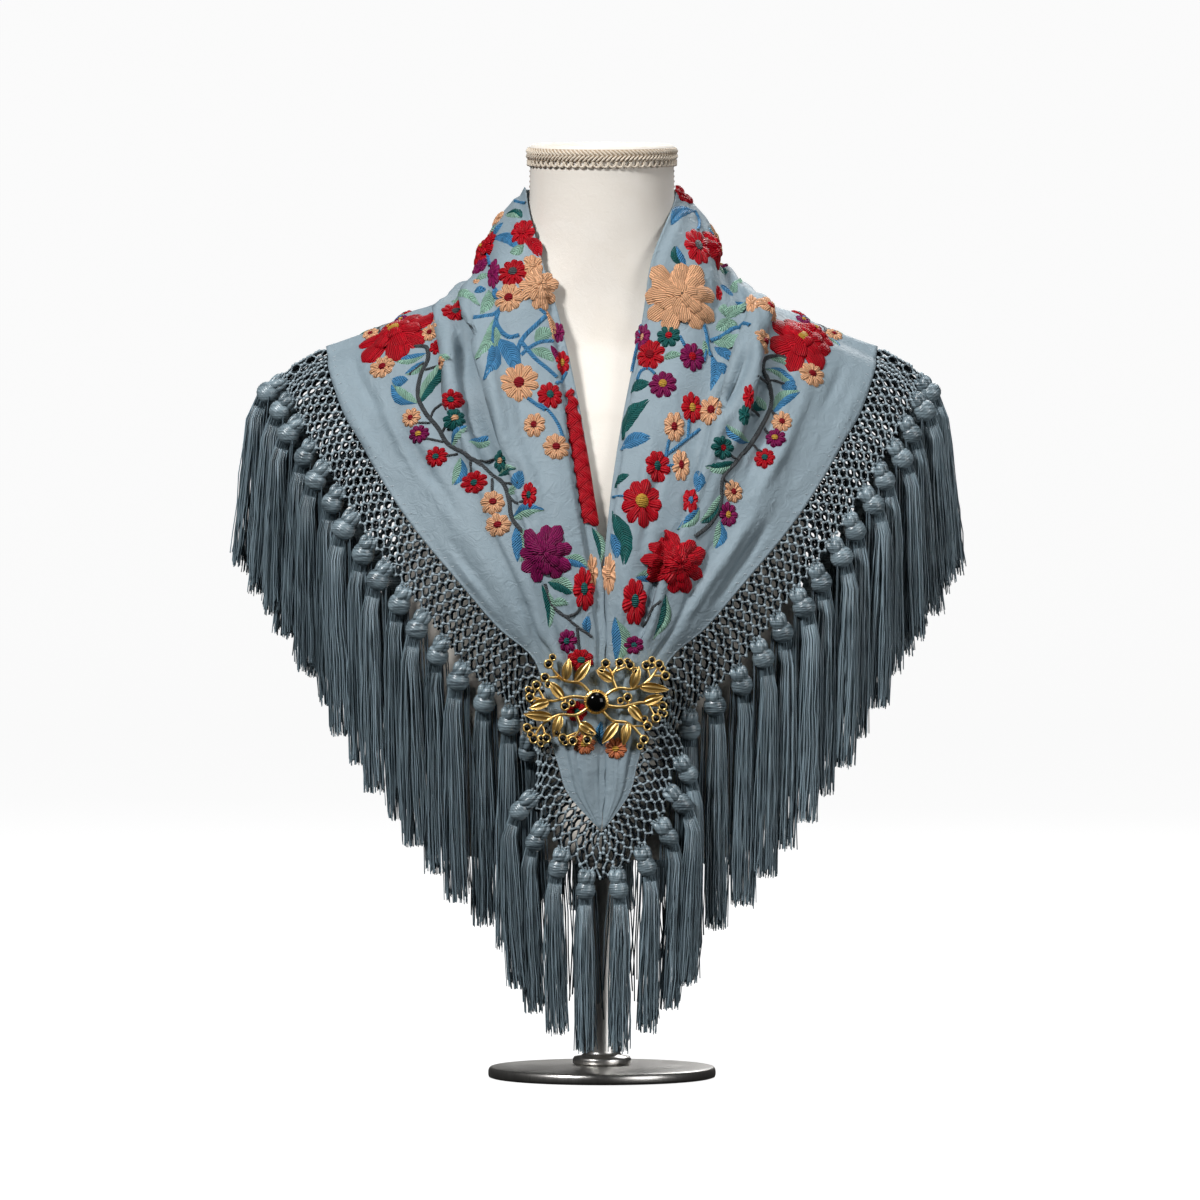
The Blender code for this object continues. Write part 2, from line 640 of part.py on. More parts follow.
def half_positions():
    """The rows' positions on one half, from the middle of the back to the tail's tip."""
    stretches = ((0, RIDGE, BACK_ROWS), (RIDGE, PIN, FRONT_ROWS), (PIN, TIP, TAIL_ROWS))
    return np.concatenate([[0.0]] + [np.linspace(a, b, rows + 1)[1:] for a, b, rows in stretches])


def whole_positions():
    half = half_positions()
    return np.concatenate([-half[:0:-1], half])


def rows_between(positions, start, end):
    """The slice of rows from start to end, both included."""
    inside = np.flatnonzero((positions > start - 1e-6) & (positions < end + 1e-6))
    return slice(inside[0], inside[-1] + 1)


# Each stretch of the shawl: where it starts and ends, and whether another stretch joins it there.
STRETCHES = {
    "left_tail": (-TIP, -PIN, False, True),
    "left_front": (-PIN, -RIDGE, True, True),
    "back": (-RIDGE, RIDGE, True, True),
    "right_front": (RIDGE, PIN, True, True),
    "right_tail": (PIN, TIP, True, False),
}


def build_cloth():
    """The cloth is one grid of points, cut into its stretches."""
    positions = whole_positions()
    grid = np.array([cloth_row(t) for t in positions])
    normals = grid_normals(grid)
    for name, (start, end, joined_before, joined_after) in STRETCHES.items():
        rows = rows_between(positions, start, end)
        columns = slice(None, None, TAIL_COLUMN_STEP if "tail" in name else 1)
        gaps = (SEAM_GAP / 2 * joined_before, SEAM_GAP / 2 * joined_after)
        wall = wall_of(grid[rows, columns], normals[rows, columns], CLOTH_THICKNESS, *gaps)
        add_mesh(f"shawl_{name}", *wall, "cloth")


# ---------------------------------------------------------------- the net and the fringe
def net_row(t, table):
    """Points from the cloth's edge to the tassels, on a line that bends down."""
    width, fall, swing = read_sections(table, t)
    edge = cloth_row(t)
    before = cloth_row(max(t - NET_EDGE_REACH, -TIP))[-1]
    after = cloth_row(min(t + NET_EDGE_REACH, TIP))[-1]
    tangent = unit(after - before)
    outward = unit(edge[-1] - edge[-3])
    away = unit(outward - tangent * outward.dot(tangent))
    down = np.array([0.0, swing * 2, -1.0])
    line = [edge[-1] + away * (SEAM_GAP + CLOTH_THICKNESS * NET_SEAM_SHARE)]
    for k in range(NET_STEPS):
        share = min(1.0, fall * (k + 0.5) / NET_STEPS)
        line.append(line[-1] + unit(away * (1 - share) + down * share) * width / NET_STEPS)
    return np.array(line)


def fringe_body(net, positions, place):
    """Points and faces of a cord along a net's edge with its tassels, each a head with three locks."""
    edge, outward = net[:, -1], unit(net[:, -1] - net[:, -2])
    length = length_of(edge)
    run = np.concatenate([[0], np.cumsum(np.linalg.norm(np.diff(edge, axis=0), axis=1))])
    count = round(length / TASSEL_SPACING[place])
    spacing = length / count
    # Each stop is a distance along the edge, with the number of the tassel that starts there.
    centres = [(number + 0.5) * spacing for number in range(count)]
    stops = [(centre - TASSEL_NECK_RADIUS, number) for number, centre in enumerate(centres)]
    stops += [(centre + TASSEL_NECK_RADIUS, None) for centre in centres]
    turns = unit(np.diff(edge, axis=0))
    bends = np.degrees(np.arccos(np.clip((turns[1:] * turns[:-1]).sum(axis=1), -1, 1)))
    for distance in run[1:-1][bends > LEAST_BEND]:
        if min(abs(distance - centre) for centre in centres) > TASSEL_NECK_RADIUS + MM:
            stops.append((distance, None))
    stops = [(CORD_INSET, None), *sorted(stops, key=lambda stop: stop[0]), (length - CORD_INSET, None)]
    points, faces, rings = [], [], []
    for distance, _ in stops:
        out = unit(np.stack([np.interp(distance, run, outward[:, k]) for k in range(3)]))
        along = along_line(edge, distance + MM) - along_line(edge, distance - MM)
        front = unit(np.cross(unit(along), out)) * CORD_WIDTH / 2
        near = along_line(edge, distance) + out * CORD_GAP
        far = near + out * CORD_WIDTH
        rings.append([len(points) + k for k in range(4)])
        points.extend([near - front, far - front, far + front, near + front])
    for (_, number), a, b in zip(stops, rings, rings[1:]):
        sides = [[a[e], a[(e + 1) % 4], b[(e + 1) % 4], b[e]] for e in range(4)]
        if number is not None:
            # The face below becomes a hexagon by the middles of its two long sides.
            far, near = len(points), len(points) + 1
            points.extend([(points[a[2]] + points[b[2]]) / 2, (points[a[1]] + points[b[1]]) / 2])
            root = [a[1], a[2], far, b[2], b[1], near]
            sides = [[a[0], a[1], near, b[1], b[0]], [a[2], a[3], b[3], b[2], far], sides[3]]
            middle = (number + 0.5) * spacing
            ahead = along_line(edge, middle + spacing / 2) - along_line(edge, middle - spacing / 2)
            add_tassel(points, faces, root, np.interp(middle, run, positions), ahead, number,
                       TASSEL_SKIRT_RADIUS[place])
        faces.extend(sides)
    faces.append(rings[0][::-1])
    faces.append(rings[-1])
    return points, faces


def add_tassel(points, faces, root, t, ahead, number, skirt):
    """A neck, a wound head and three straight locks, grown from a hexagon of the cord's underside."""
    length, lean = read_sections(TASSEL_SECTIONS, t)
    centre = sum(points[i] for i in root) / 6
    length = min(length, centre[2] - FRINGE_FLOOR)
    # Where the edge is steep, every other tassel hangs in front of its neighbours.
    level = math.hypot(ahead[0], ahead[1])
    apart = 2 * skirt + TASSEL_CLEARANCE
    stagger = math.sqrt(max(apart**2 - level**2, 0)) / 2 + STAGGER_MARGIN
    sideways = np.array([-ahead[1], ahead[0], 0]) / max(level, MM) * stagger * (1 if number % 2 else -1)
    hang = np.array([math.copysign(lean, t), 0, -1.0])
    head_top = centre + sideways + hang * TASSEL_DROP
    angles = [math.atan2(points[i][1] - centre[1], points[i][0] - centre[0]) for i in root]
    way = 1.0 if (angles[1] - angles[0]) % (2 * math.pi) < math.pi else -1.0
    previous = root
    for share, radius in HEAD_PROFILE:
        place = head_top + hang * TASSEL_HEAD_HEIGHT * share
        ring = [len(points) + k for k in range(6)]
        for k in range(6):
            angle = angles[0] + way * k * math.pi / 3
            points.append(place + radius * np.array([math.cos(angle), math.sin(angle), 0]))
        faces.extend((previous[k], previous[(k + 1) % 6], ring[(k + 1) % 6], ring[k]) for k in range(6))
        previous = ring
    # Three locks share the head's underside, and draw apart below it.
    hub = len(points)
    points.append(head_top + hang * TASSEL_HEAD_HEIGHT)
    for lock in range(LOCKS):
        top = [previous[2 * lock], previous[2 * lock + 1], previous[(2 * lock + 2) % 6], hub]
        angle = angles[0] + way * (2 * lock + 1) * math.pi / 3
        out = np.array([math.cos(angle), math.sin(angle), 0])
        across = np.array([-out[1], out[0], 0]) * way * skirt * LOCK_WIDTH_SHARE
        trim = 1 - LOCK_TRIM * ((number + lock) % LOCKS)
        tip = centre + sideways + hang * length * trim + out * skirt * LOCK_REACH_SHARE
        ring = [len(points) + k for k in range(4)]
        depth = out * skirt * LOCK_DEPTH_SHARE
        points.extend([tip - across, tip + depth, tip + across, tip - depth])
        faces.extend((top[k], top[(k + 1) % 4], ring[(k + 1) % 4], ring[k]) for k in range(4))
        faces.append(ring)


def net_grids():
    """Positions, points and normals of the long net above the brooch and of the two tails' nets."""
    half, whole = half_positions(), whole_positions()
    upper = whole[rows_between(whole, -PIN, PIN)]
    grid = np.array([net_row(t, NET_SECTIONS) for t in upper])
    grid[len(upper) // 2, :, 0] = 0
    nets = {"upper": (upper, grid, grid_normals(grid))}
    for name, table in TAIL_NETS.items():
        side = -1 if name == "left_tail" else 1
        lower = half[half > TAIL_NET_START + FIRST_TAIL_ROW]
        rows = np.sort(side * np.concatenate([[TAIL_NET_START], lower]))
        grid = np.array([net_row(t, table) for t in rows])
        # At the tail's tip the net hangs straight down from the cloth's point.
        tip = cloth_row(side * TIP)[0]
        drops = TIP_NET_GAP + table["tail_tip"][0] * np.arange(NET_STEPS + 1) / NET_STEPS
        grid[0 if side < 0 else -1] = [(side * TIP_NET_INSET, tip[1], tip[2] - drop) for drop in drops]
        nets[name] = (rows, grid, grid_normals(grid))
    return nets


def build_net_and_fringe():
    """The net goes all round the two short edges of the cloth, in the same stretches as the cloth."""
    nets = net_grids()
    for name, (start, end, joined_before, joined_after) in STRETCHES.items():
        positions, grid, normals = nets.get(name, nets["upper"])
        rows = rows_between(positions, start, end)
        gaps = (SEAM_GAP / 2 * joined_before, SEAM_GAP / 2 * joined_after)
        add_mesh(f"net_{name}", *wall_of(grid[rows], normals[rows], NET_THICKNESS, *gaps), "net")
        if name in FRINGE_SPANS:
            first, last = FRINGE_SPANS[name]
            rows = (np.abs(positions) >= first) & (np.abs(positions) <= last) & (positions >= start)
        place = name.split("_")[-1]
        add_mesh(f"fringe_{name}", *fringe_body(grid[rows], positions[rows], place), "tassel")


# ---------------------------------------------------------------- the brooch
def brooch_point(across, up):
    """A point of the brooch, given as shares of its half width and half height."""
    return BROOCH_CENTRE + Vector((across * BROOCH_HALF_WIDTH, 0, up * BROOCH_HALF_HEIGHT))


def stem(route, radius, steps=2):
    """A four-sided wire through points of the brooch's face."""
    count = steps * (len(route) - 1) + 1
    route = smooth_through(np.arange(len(route)), np.array(route), np.linspace(0, len(route) - 1, count))
    places = [brooch_point(*p) for p in route]
    rings = []
    for k, place in enumerate(places):
        along = (places[min(k + 1, len(places) - 1)] - places[max(k - 1, 0)]).normalized()
        normal = along.cross(Vector((0, 1, 0))).normalized()
        rings.append(ring_at(place, radius, 4, normal, Vector((0, 1, 0))))
    return rings_to_shell(rings)


def leaf(root, tip):
    """A pointed leaf, raised along its middle, that grows out of its branch."""
    a, b = brooch_point(*root), brooch_point(*tip)
    side = (b - a).cross(Vector((0, 1, 0))).normalized()
    front = Vector((0, -BROOCH_DEPTH, 0))
    rings = []
    for share, breadth, lift in LEAF_PROFILE:
        place, half = a + (b - a) * share, side * LEAF_WIDTH / 2 * breadth
        rings.append([place + half, place + front * lift, place - half, place - front * LEAF_BACK_SHARE])
    return rings_to_shell(rings)


def cup(across, up, radius=CUP_RADIUS, depth=BROOCH_DEPTH, sides=CUP_SIDES):
    """A round cup that holds a berry or the large stone."""
    back = brooch_point(across, up) + Vector((0, depth * CUP_BACK_SHARE, 0))
    front = back - Vector((0, depth, 0))
    axes = (Vector((1, 0, 0)), Vector((0, 0, 1)))
    rings = [
        ring_at(back, radius * CUP_BACK_RADIUS_SHARE, sides, *axes),
        ring_at(front, radius, sides, *axes),
    ]
    return rings_to_shell(rings)


# Half of the brooch, in shares of its half sizes. The other half is this one turned half round.
BRANCHES = (
    ((0.05, 0.05), (0.28, 0.30), (0.52, 0.30), (0.74, 0.50), (0.88, 0.82)),
    ((0.05, -0.06), (0.34, -0.12), (0.62, -0.02), (0.88, -0.10)),
    ((0.04, -0.12), (0.22, -0.42), (0.46, -0.50), (0.66, -0.84)),
    ((0.28, 0.30), (0.23, 0.60), (0.33, 0.88)),
)
LEAVES = (
    ((0.50, 0.30), (0.60, 0.82)), ((0.60, 0.36), (1.02, 0.28)), ((0.46, -0.08), (0.66, -0.46)),
    ((0.30, -0.46), (0.08, -0.96)), ((0.44, -0.49), (0.38, -1.00)), ((0.24, 0.48), (0.00, 0.74)),
    ((0.66, -0.02), (0.94, 0.14)),
)
# Each berry's twig: where it leaves its branch, and where the berry's cup sits.
BERRIES = (
    ((0.86, 0.76), (0.88, 0.86)), ((0.76, 0.54), (0.70, 0.84)), ((0.80, 0.60), (0.97, 0.60)),
    ((0.82, -0.06), (0.93, -0.10)), ((0.72, -0.03), (0.84, -0.38)), ((0.64, -0.80), (0.67, -0.87)),
    ((0.52, -0.56), (0.72, -0.56)), ((0.32, 0.84), (0.33, 0.90)), ((0.24, 0.62), (0.13, 0.88)),
    ((0.27, 0.70), (0.47, 0.84)), ((0.44, -0.10), (0.44, 0.10)),
)


def build_brooch():
    """Sprays of leaves and berries round one large stone: a plain botanical design."""
    pieces = [cup(0, 0, BEZEL_RADIUS, BEZEL_DEPTH, BEZEL_SIDES)]
    for turn in (1, -1):
        leaves, berries = np.array(LEAVES) * turn, np.array(BERRIES) * turn
        pieces += [stem(np.array(route) * turn, BROOCH_STEM_RADIUS) for route in BRANCHES]
        pieces += [leaf(*ends) for ends in leaves]
        pieces += [stem(ends, TWIG_RADIUS, 1) for ends in berries]
        pieces += [cup(*ends[1]) for ends in berries]
    frame = add_mesh("brooch_frame", *pieces[0], "gold")
    cutters = bpy.data.collections.new("brooch_pieces")
    bpy.context.scene.collection.children.link(cutters)
    for number, (points, faces) in enumerate(pieces[1:]):
        piece = add_mesh(f"brooch_piece_{number}", points, faces, "gold")
        bpy.context.scene.collection.objects.unlink(piece)
        cutters.objects.link(piece)
        piece.hide_render = True
        piece.display_type = "WIRE"
    union = frame.modifiers.new("join", "BOOLEAN")
    union.operation = "UNION"
    union.operand_type = "COLLECTION"
    union.collection = cutters
    centre = brooch_point(0, 0)
    axes = (Vector((1, 0, 0)), Vector((0, 0, 1)))
    seat = centre - Vector((0, BEZEL_DEPTH * (1 - CUP_BACK_SHARE) + SEAM_GAP, 0))
    dome = []
    for angle in np.radians(CABOCHON_RINGS):
        place = seat - Vector((0, CABOCHON_HEIGHT * math.sin(angle), 0))
        dome.append(ring_at(place, CABOCHON_RADIUS * math.cos(angle), BEZEL_SIDES, *axes))
    add_mesh("brooch_stone", *rings_to_shell(dome), "onyx", 60)


def main():
    clear_scene()
    build_form()
    build_neck_braid()
    build_stand()
    build_cloth()
    build_net_and_fringe()
    build_brooch()


main()
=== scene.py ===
"""Looks of an embroidered, fringed flamenco shawl that is pinned round a limbless dress form.

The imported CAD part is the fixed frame, in metres, +Z up, front towards -Y. Cloth, embroidery, net, tassels,
brooch, form and stand are built in one frame with it. The cloth's tables are those of the part's own source.
"""

import logging
import math
from dataclasses import dataclass, field
from enum import Enum
from typing import Iterable, NamedTuple, Sequence

import bpy
import numpy as np
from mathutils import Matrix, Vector
from mathutils.bvhtree import BVHTree


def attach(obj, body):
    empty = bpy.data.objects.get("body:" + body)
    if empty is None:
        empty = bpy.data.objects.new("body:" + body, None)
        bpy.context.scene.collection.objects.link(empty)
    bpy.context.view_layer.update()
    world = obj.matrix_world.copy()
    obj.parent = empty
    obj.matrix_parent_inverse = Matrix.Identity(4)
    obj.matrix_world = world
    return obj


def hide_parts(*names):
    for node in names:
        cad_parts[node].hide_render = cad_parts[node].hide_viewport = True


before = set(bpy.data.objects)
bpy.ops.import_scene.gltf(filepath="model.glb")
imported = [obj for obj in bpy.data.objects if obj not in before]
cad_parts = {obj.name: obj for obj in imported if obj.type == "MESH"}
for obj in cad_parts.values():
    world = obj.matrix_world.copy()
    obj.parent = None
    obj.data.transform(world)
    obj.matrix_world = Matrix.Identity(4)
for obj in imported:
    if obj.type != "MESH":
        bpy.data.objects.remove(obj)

LOG = logging.getLogger("shawl")
MM = 0.001
PIXEL = 0.00072  # metres of the object for one pixel of the 1200-pixel photograph
BODY = "root"

NET_SLOT = "net"
TASSEL_SLOT = "tassel"
LINEN_SLOT = "linen"
BRAID_SLOT = "braid"
GOLD_SLOT = "gold"
ONYX_SLOT = "onyx"
STAND_SLOT = "stand"

Point = np.ndarray


# ---------------------------------------------------------------- small helpers
def unit(vectors: np.ndarray) -> np.ndarray:
    """Vectors of length one."""
    return vectors / np.maximum(np.linalg.norm(vectors, axis=-1, keepdims=True), 1e-12)


def smooth_through(knots: Sequence[float], values: Sequence, at: np.ndarray) -> np.ndarray:
    """Values at `at` on a smooth curve through values given at the knots.

    Args:
        knots: rising positions.
        values: a number or a row of numbers for each knot.
        at: one position or a row of positions.

    Returns:
        A row of values for each position.
    """
    knots, values, at = np.asarray(knots, float), np.asarray(values, float), np.asarray(at, float)
    steps = np.diff(knots)
    slopes = np.diff(values, axis=0) / steps[:, None]
    tangents = np.concatenate([slopes[:1], (slopes[1:] + slopes[:-1]) / 2, slopes[-1:]])
    i = np.clip(np.searchsorted(knots, at, side="right") - 1, 0, len(steps) - 1)
    f = ((at - knots[i]) / steps[i])[..., None]
    step = steps[i][..., None]
    return (
        values[i] * (1 + 2 * f) * (1 - f) ** 2
        + tangents[i] * step * f * (1 - f) ** 2
        + values[i + 1] * f * f * (3 - 2 * f)
        + tangents[i + 1] * step * f * f * (f - 1)
    )


def run_of(line: np.ndarray) -> np.ndarray:
    """The distance from the start of a line to each of its points."""
    return np.concatenate([[0.0], np.cumsum(np.linalg.norm(np.diff(line, axis=0), axis=1))])


def along_line(line: np.ndarray, distance: np.ndarray) -> np.ndarray:
    """The points at distances along a line of points."""
    run = run_of(line)
    return np.stack([np.interp(distance, run, line[:, k]) for k in range(line.shape[1])], axis=-1)


def grid_normals(grid: np.ndarray) -> np.ndarray:
    """Unit normals of a grid of points."""
    return unit(np.cross(np.gradient(grid, axis=0), np.gradient(grid, axis=1)))


def link(name: str, mesh: bpy.types.Mesh) -> bpy.types.Object:
    """A new object of a mesh, in the scene."""
    obj = bpy.data.objects.new(name, mesh)
    bpy.context.scene.collection.objects.link(obj)
    return obj


class MeshBuilder:
    """Gathers points, faces, UVs in metres and material slots for one mesh."""

    def __init__(self) -> None:
        self.points: list[np.ndarray] = []
        self.uvs: list[np.ndarray] = []
        self.faces: list[np.ndarray] = []
        self.slots: list[np.ndarray] = []
        self.count = 0

    def add(self, points: np.ndarray, faces: np.ndarray, uvs: np.ndarray, slot: int) -> None:
        """Adds points with four-sided faces that number these points from 0.

        Args:
            points: one row of three numbers for each point.
            faces: one row of four point numbers for each face.
            uvs: one row of two numbers for each point.
            slot: the material slot of these faces.
        """
        self.points.append(np.asarray(points, float).reshape(-1, 3))
        self.uvs.append(np.asarray(uvs, float).reshape(-1, 2))
        self.faces.append(np.asarray(faces, int) + self.count)
        self.slots.append(np.full(len(faces), slot))
        self.count += len(self.points[-1])

    def add_grid(self, grid: np.ndarray, uvs: np.ndarray, slot: int, outward: np.ndarray | None = None,
                 closed: bool = False) -> None:
        """Adds a grid of points as one sheet.

        Args:
            grid: rows by columns by three.
            uvs: rows by columns by two.
            slot: the material slot.
            outward: a direction that the sheet faces; without one the grid's own order decides.
            closed: whether the last column joins the first.
        """
        rows, columns = grid.shape[:2]
        numbers = np.arange(rows * columns).reshape(rows, columns)
        if closed:
            numbers = np.concatenate([numbers, numbers[:, :1]], axis=1)
        faces = np.stack([numbers[:-1, :-1], numbers[:-1, 1:], numbers[1:, 1:], numbers[1:, :-1]], axis=-1)
        if outward is not None:
            facing = np.cross(grid[:-1, 1:] - grid[:-1, :-1], grid[1:, :-1] - grid[:-1, :-1])
            if (facing.reshape(-1, 3) @ np.asarray(outward)).sum() < 0:
                faces = faces[..., ::-1]
        self.add(grid, faces.reshape(-1, 4), uvs, slot)

    def build(self, name: str, materials: Sequence[bpy.types.Material]) -> bpy.types.Object:
        """The object of everything added so far."""
        points, faces = np.concatenate(self.points), np.concatenate(self.faces)
        mesh = bpy.data.meshes.new(name)
        mesh.from_pydata(points.tolist(), [], faces.tolist())
        for material in materials:
            mesh.materials.append(material)
        mesh.polygons.foreach_set("material_index", np.concatenate(self.slots).astype(np.int32))
        layer = mesh.uv_layers.new(name="UVMap")
        corners = np.concatenate(self.uvs)[faces.reshape(-1)]
        layer.data.foreach_set("uv", corners.astype(np.float32).reshape(-1))
        mesh.validate()
        mesh.shade_smooth()
        return link(name, mesh)


def line_mesh(name: str, lines: Iterable[np.ndarray], radii: Iterable[np.ndarray],
              shades: Iterable[float]) -> bpy.types.Mesh:
    """A mesh of bare lines whose points carry a radius and a shade, for a tree that makes strands of them."""
    points, edges, all_radii, all_shades, count = [], [], [], [], 0
    for line, radius, shade in zip(lines, radii, shades):
        size = len(line)
        numbers = np.arange(count, count + size)
        points.append(line)
        edges.append(np.stack([numbers[:-1], numbers[1:]], axis=-1))
        all_radii.append(np.broadcast_to(radius, size))
        all_shades.append(np.full(size, shade))
        count += size
    return attribute_mesh(name, np.concatenate(points), np.concatenate(edges),
                          {"radius": np.concatenate(all_radii), "shade": np.concatenate(all_shades)})


def attribute_mesh(name: str, points: np.ndarray, edges: np.ndarray,
                   values: dict[str, np.ndarray]) -> bpy.types.Mesh:
    """A mesh of points and edges, with a named value or direction for each point."""
    mesh = bpy.data.meshes.new(name)
    mesh.from_pydata(np.asarray(points).tolist(), np.asarray(edges, int).tolist(), [])
    for key, column in values.items():
        column = np.asarray(column, np.float32)
        kind, field_name = ("FLOAT_VECTOR", "vector") if column.ndim == 2 else ("FLOAT", "value")
        attribute = mesh.attributes.new(key, kind, "POINT")
        attribute.data.foreach_set(field_name, column.reshape(-1))
    return mesh


def joined(name: str, objects: Sequence[bpy.types.Object]) -> bpy.types.Object:
    """One object of several."""
    first = objects[0]
    if len(objects) > 1:
        with bpy.context.temp_override(active_object=first, object=first,
                                       selected_editable_objects=list(objects),
                                       selected_objects=list(objects)):
            bpy.ops.object.join()
    first.name = name
    first.data.name = name
    return first


def lathe(builder: MeshBuilder, centre: np.ndarray, axis: np.ndarray, profile: np.ndarray, sides: int,
          slot: int) -> None:
    """Adds a turned shape: a profile of (radius, height) pairs round an axis, closed at both poles."""
    axis = unit(np.asarray(axis, float))
    side = unit(np.cross(axis, [0.0, 0.0, 1.0] if abs(axis[2]) < 0.9 else [1.0, 0.0, 0.0]))
    other = np.cross(axis, side)
    turns = np.linspace(0, 2 * math.pi, sides, endpoint=False)
    ring = np.cos(turns)[:, None] * side + np.sin(turns)[:, None] * other
    profile = np.asarray(profile, float)
    grid = centre + profile[:, None, :1] * ring + profile[:, None, 1:] * axis
    run = run_of(profile)
    uvs = np.stack(np.broadcast_arrays(turns * profile[:, 0].max(), run[:, None]), axis=-1)
    builder.add_grid(grid, uvs, slot, closed=True)


# ---------------------------------------------------------------- the view of the photograph
@dataclass(frozen=True)
class PhotoView:
    """The photograph's camera: a long lens straight in front, a little above the middle of the shawl."""

    distance: float = 6.0
    elevation: float = math.radians(1.0)
    lens: float = 250.0
    sensor: float = 36.0
    half_frame: float = 600.0
    target: tuple = (-0.0014, 0.0, 0.3438)

    def axes(self) -> tuple[Point, Point, Point]:
        """The directions to the right, up and away in the picture."""
        away = np.array([0.0, math.cos(self.elevation), -math.sin(self.elevation)])
        up = np.array([0.0, math.sin(self.elevation), math.cos(self.elevation)])
        return np.array([1.0, 0.0, 0.0]), up, away

    def eye(self) -> Point:
        """Where the camera stands."""
        return np.array(self.target) - self.axes()[2] * self.distance

    def ray(self, x: float, y: float) -> tuple[Point, Point]:
        """The start and direction of the line of sight through a pixel."""
        right, up, _ = self.axes()
        eye = self.eye()
        across, above = x - self.half_frame, self.half_frame - y
        seen = np.array(self.target) + right * across * PIXEL + up * above * PIXEL
        return eye, unit(seen - eye)

    def place_camera(self) -> None:
        """Makes the scene's camera."""
        data = bpy.data.cameras.new("camera")
        data.lens = self.lens
        data.sensor_width = self.sensor
        data.clip_end = 50.0
        camera = bpy.data.objects.new("camera", data)
        bpy.context.scene.collection.objects.link(camera)
        camera.location = self.eye()
        camera.rotation_euler = (math.pi / 2 - self.elevation, 0.0, 0.0)
        bpy.context.scene.camera = camera


VIEW = PhotoView()


# ---------------------------------------------------------------- the drape, as in the part's own source
class Section(NamedTuple):
    """The cloth across one half of the shawl, without folds: points (out from the middle, y, z)."""

    neck_edge: tuple
    knee: tuple
    mid: tuple
    netted_edge: tuple


class Fold(NamedTuple):
    """One fold of a half: its widths, steep side, and at FOLD_AT its crest's share, height and tuck in mm."""

    inner_width: float
    outer_width: float
    steep: str
    crest: tuple
    height: tuple
    tuck: tuple


class NetShape(NamedTuple):
    """The net at a section: its width, how strongly it falls, and its swing to the front (-) or back (+)."""

    width: float
    fall: float
    swing: float


class TasselShape(NamedTuple):
    """The tassels at a section: their length, and how far their feet lean out per length."""

    length: float
    lean: float


HALF_SECTIONS = {name: Section(*points) for name, points in {
    "back": (
        (0.000, 0.058, 0.640), (0.000, 0.084, 0.585), (0.000, 0.112, 0.430), (0.000, 0.112, 0.268),
    ),
    "back_low": (
        (0.028, 0.054, 0.640), (0.040, 0.079, 0.582), (0.066, 0.109, 0.455), (0.080, 0.113, 0.335),
    ),
    "back_side": (
        (0.047, 0.039, 0.640), (0.074, 0.057, 0.577), (0.118, 0.086, 0.500), (0.150, 0.098, 0.425),
    ),
    "shoulder_back": (
        (0.055, 0.026, 0.640), (0.086, 0.036, 0.575), (0.137, 0.046, 0.533), (0.184, 0.060, 0.477),
    ),
    "ridge": (
        (0.0550, 0.010, 0.640), (0.093, 0.008, 0.574), (0.147, 0.006, 0.5450), (0.1975, 0.004, 0.5235),
    ),
    "neck_turn": (
        (0.0518, -0.018, 0.621), (0.0905, -0.018, 0.5685), (0.1445, -0.017, 0.5400), (0.1965, -0.013, 0.5175),
    ),
    "neck_side": (
        (0.0440, -0.043, 0.591), (0.088, -0.041, 0.561), (0.142, -0.040, 0.533), (0.1950, -0.032, 0.508),
    ),
    "collarbone": (
        (0.030, -0.062, 0.545), (0.080, -0.073, 0.523), (0.136, -0.067, 0.501), (0.1845, -0.055, 0.479),
    ),
    "upper_chest": (
        (0.0175, -0.090, 0.490), (0.070, -0.099, 0.477), (0.126, -0.088, 0.467), (0.1714, -0.073, 0.457),
    ),
    "chest": (
        (0.0095, -0.112, 0.444), (0.060, -0.116, 0.439), (0.112, -0.104, 0.436), (0.1572, -0.088, 0.4320),
    ),
    "over_bust": (
        (0.0045, -0.127, 0.405), (0.048, -0.131, 0.401), (0.094, -0.122, 0.399), (0.1325, -0.108, 0.3960),
    ),
    "bust": (
        (0.0010, -0.136, 0.365), (0.036, -0.140, 0.362), (0.070, -0.136, 0.360), (0.0995, -0.127, 0.3570),
    ),
    "under_bust": (
        (0.0006, -0.140, 0.330), (0.026, -0.143, 0.329), (0.051, -0.141, 0.328), (0.0734, -0.135, 0.327),
    ),
    "above_pin": (
        (0.0006, -0.142, 0.303), (0.017, -0.144, 0.3035), (0.033, -0.143, 0.304), (0.0482, -0.140, 0.305),
    ),
    "pin": (
        (0.0006, -0.143, 0.272), (0.0125, -0.145, 0.2715), (0.024, -0.1445, 0.271), (0.0353, -0.142, 0.2705),
    ),
    "tail_top": (
        (0.0006, -0.144, 0.250), (0.0120, -0.147, 0.2495), (0.0225, -0.147, 0.249), (0.0325, -0.145, 0.2485),
    ),
    "tail_mid": (
        (0.0006, -0.146, 0.228), (0.0100, -0.149, 0.2285), (0.0190, -0.149, 0.229), (0.0275, -0.147, 0.2295),
    ),
    "tail_low": (
        (0.0006, -0.148, 0.207), (0.0070, -0.150, 0.2080), (0.0138, -0.150, 0.209), (0.0215, -0.149, 0.210),
    ),
    "tail_tip": (
        (0.0006, -0.150, 0.185), (0.0010, -0.150, 0.1852), (0.0014, -0.150, 0.1854), (0.0018, -0.150, 0.1856),
    ),
}.items()}
SECTION_NAMES = tuple(HALF_SECTIONS)
RIDGE = SECTION_NAMES.index("ridge")
ABOVE_PIN = SECTION_NAMES.index("above_pin")
PIN = SECTION_NAMES.index("pin")
TIP = SECTION_NAMES.index("tail_tip")
SECTION_TABLE = np.array([list(section) for section in HALF_SECTIONS.values()])

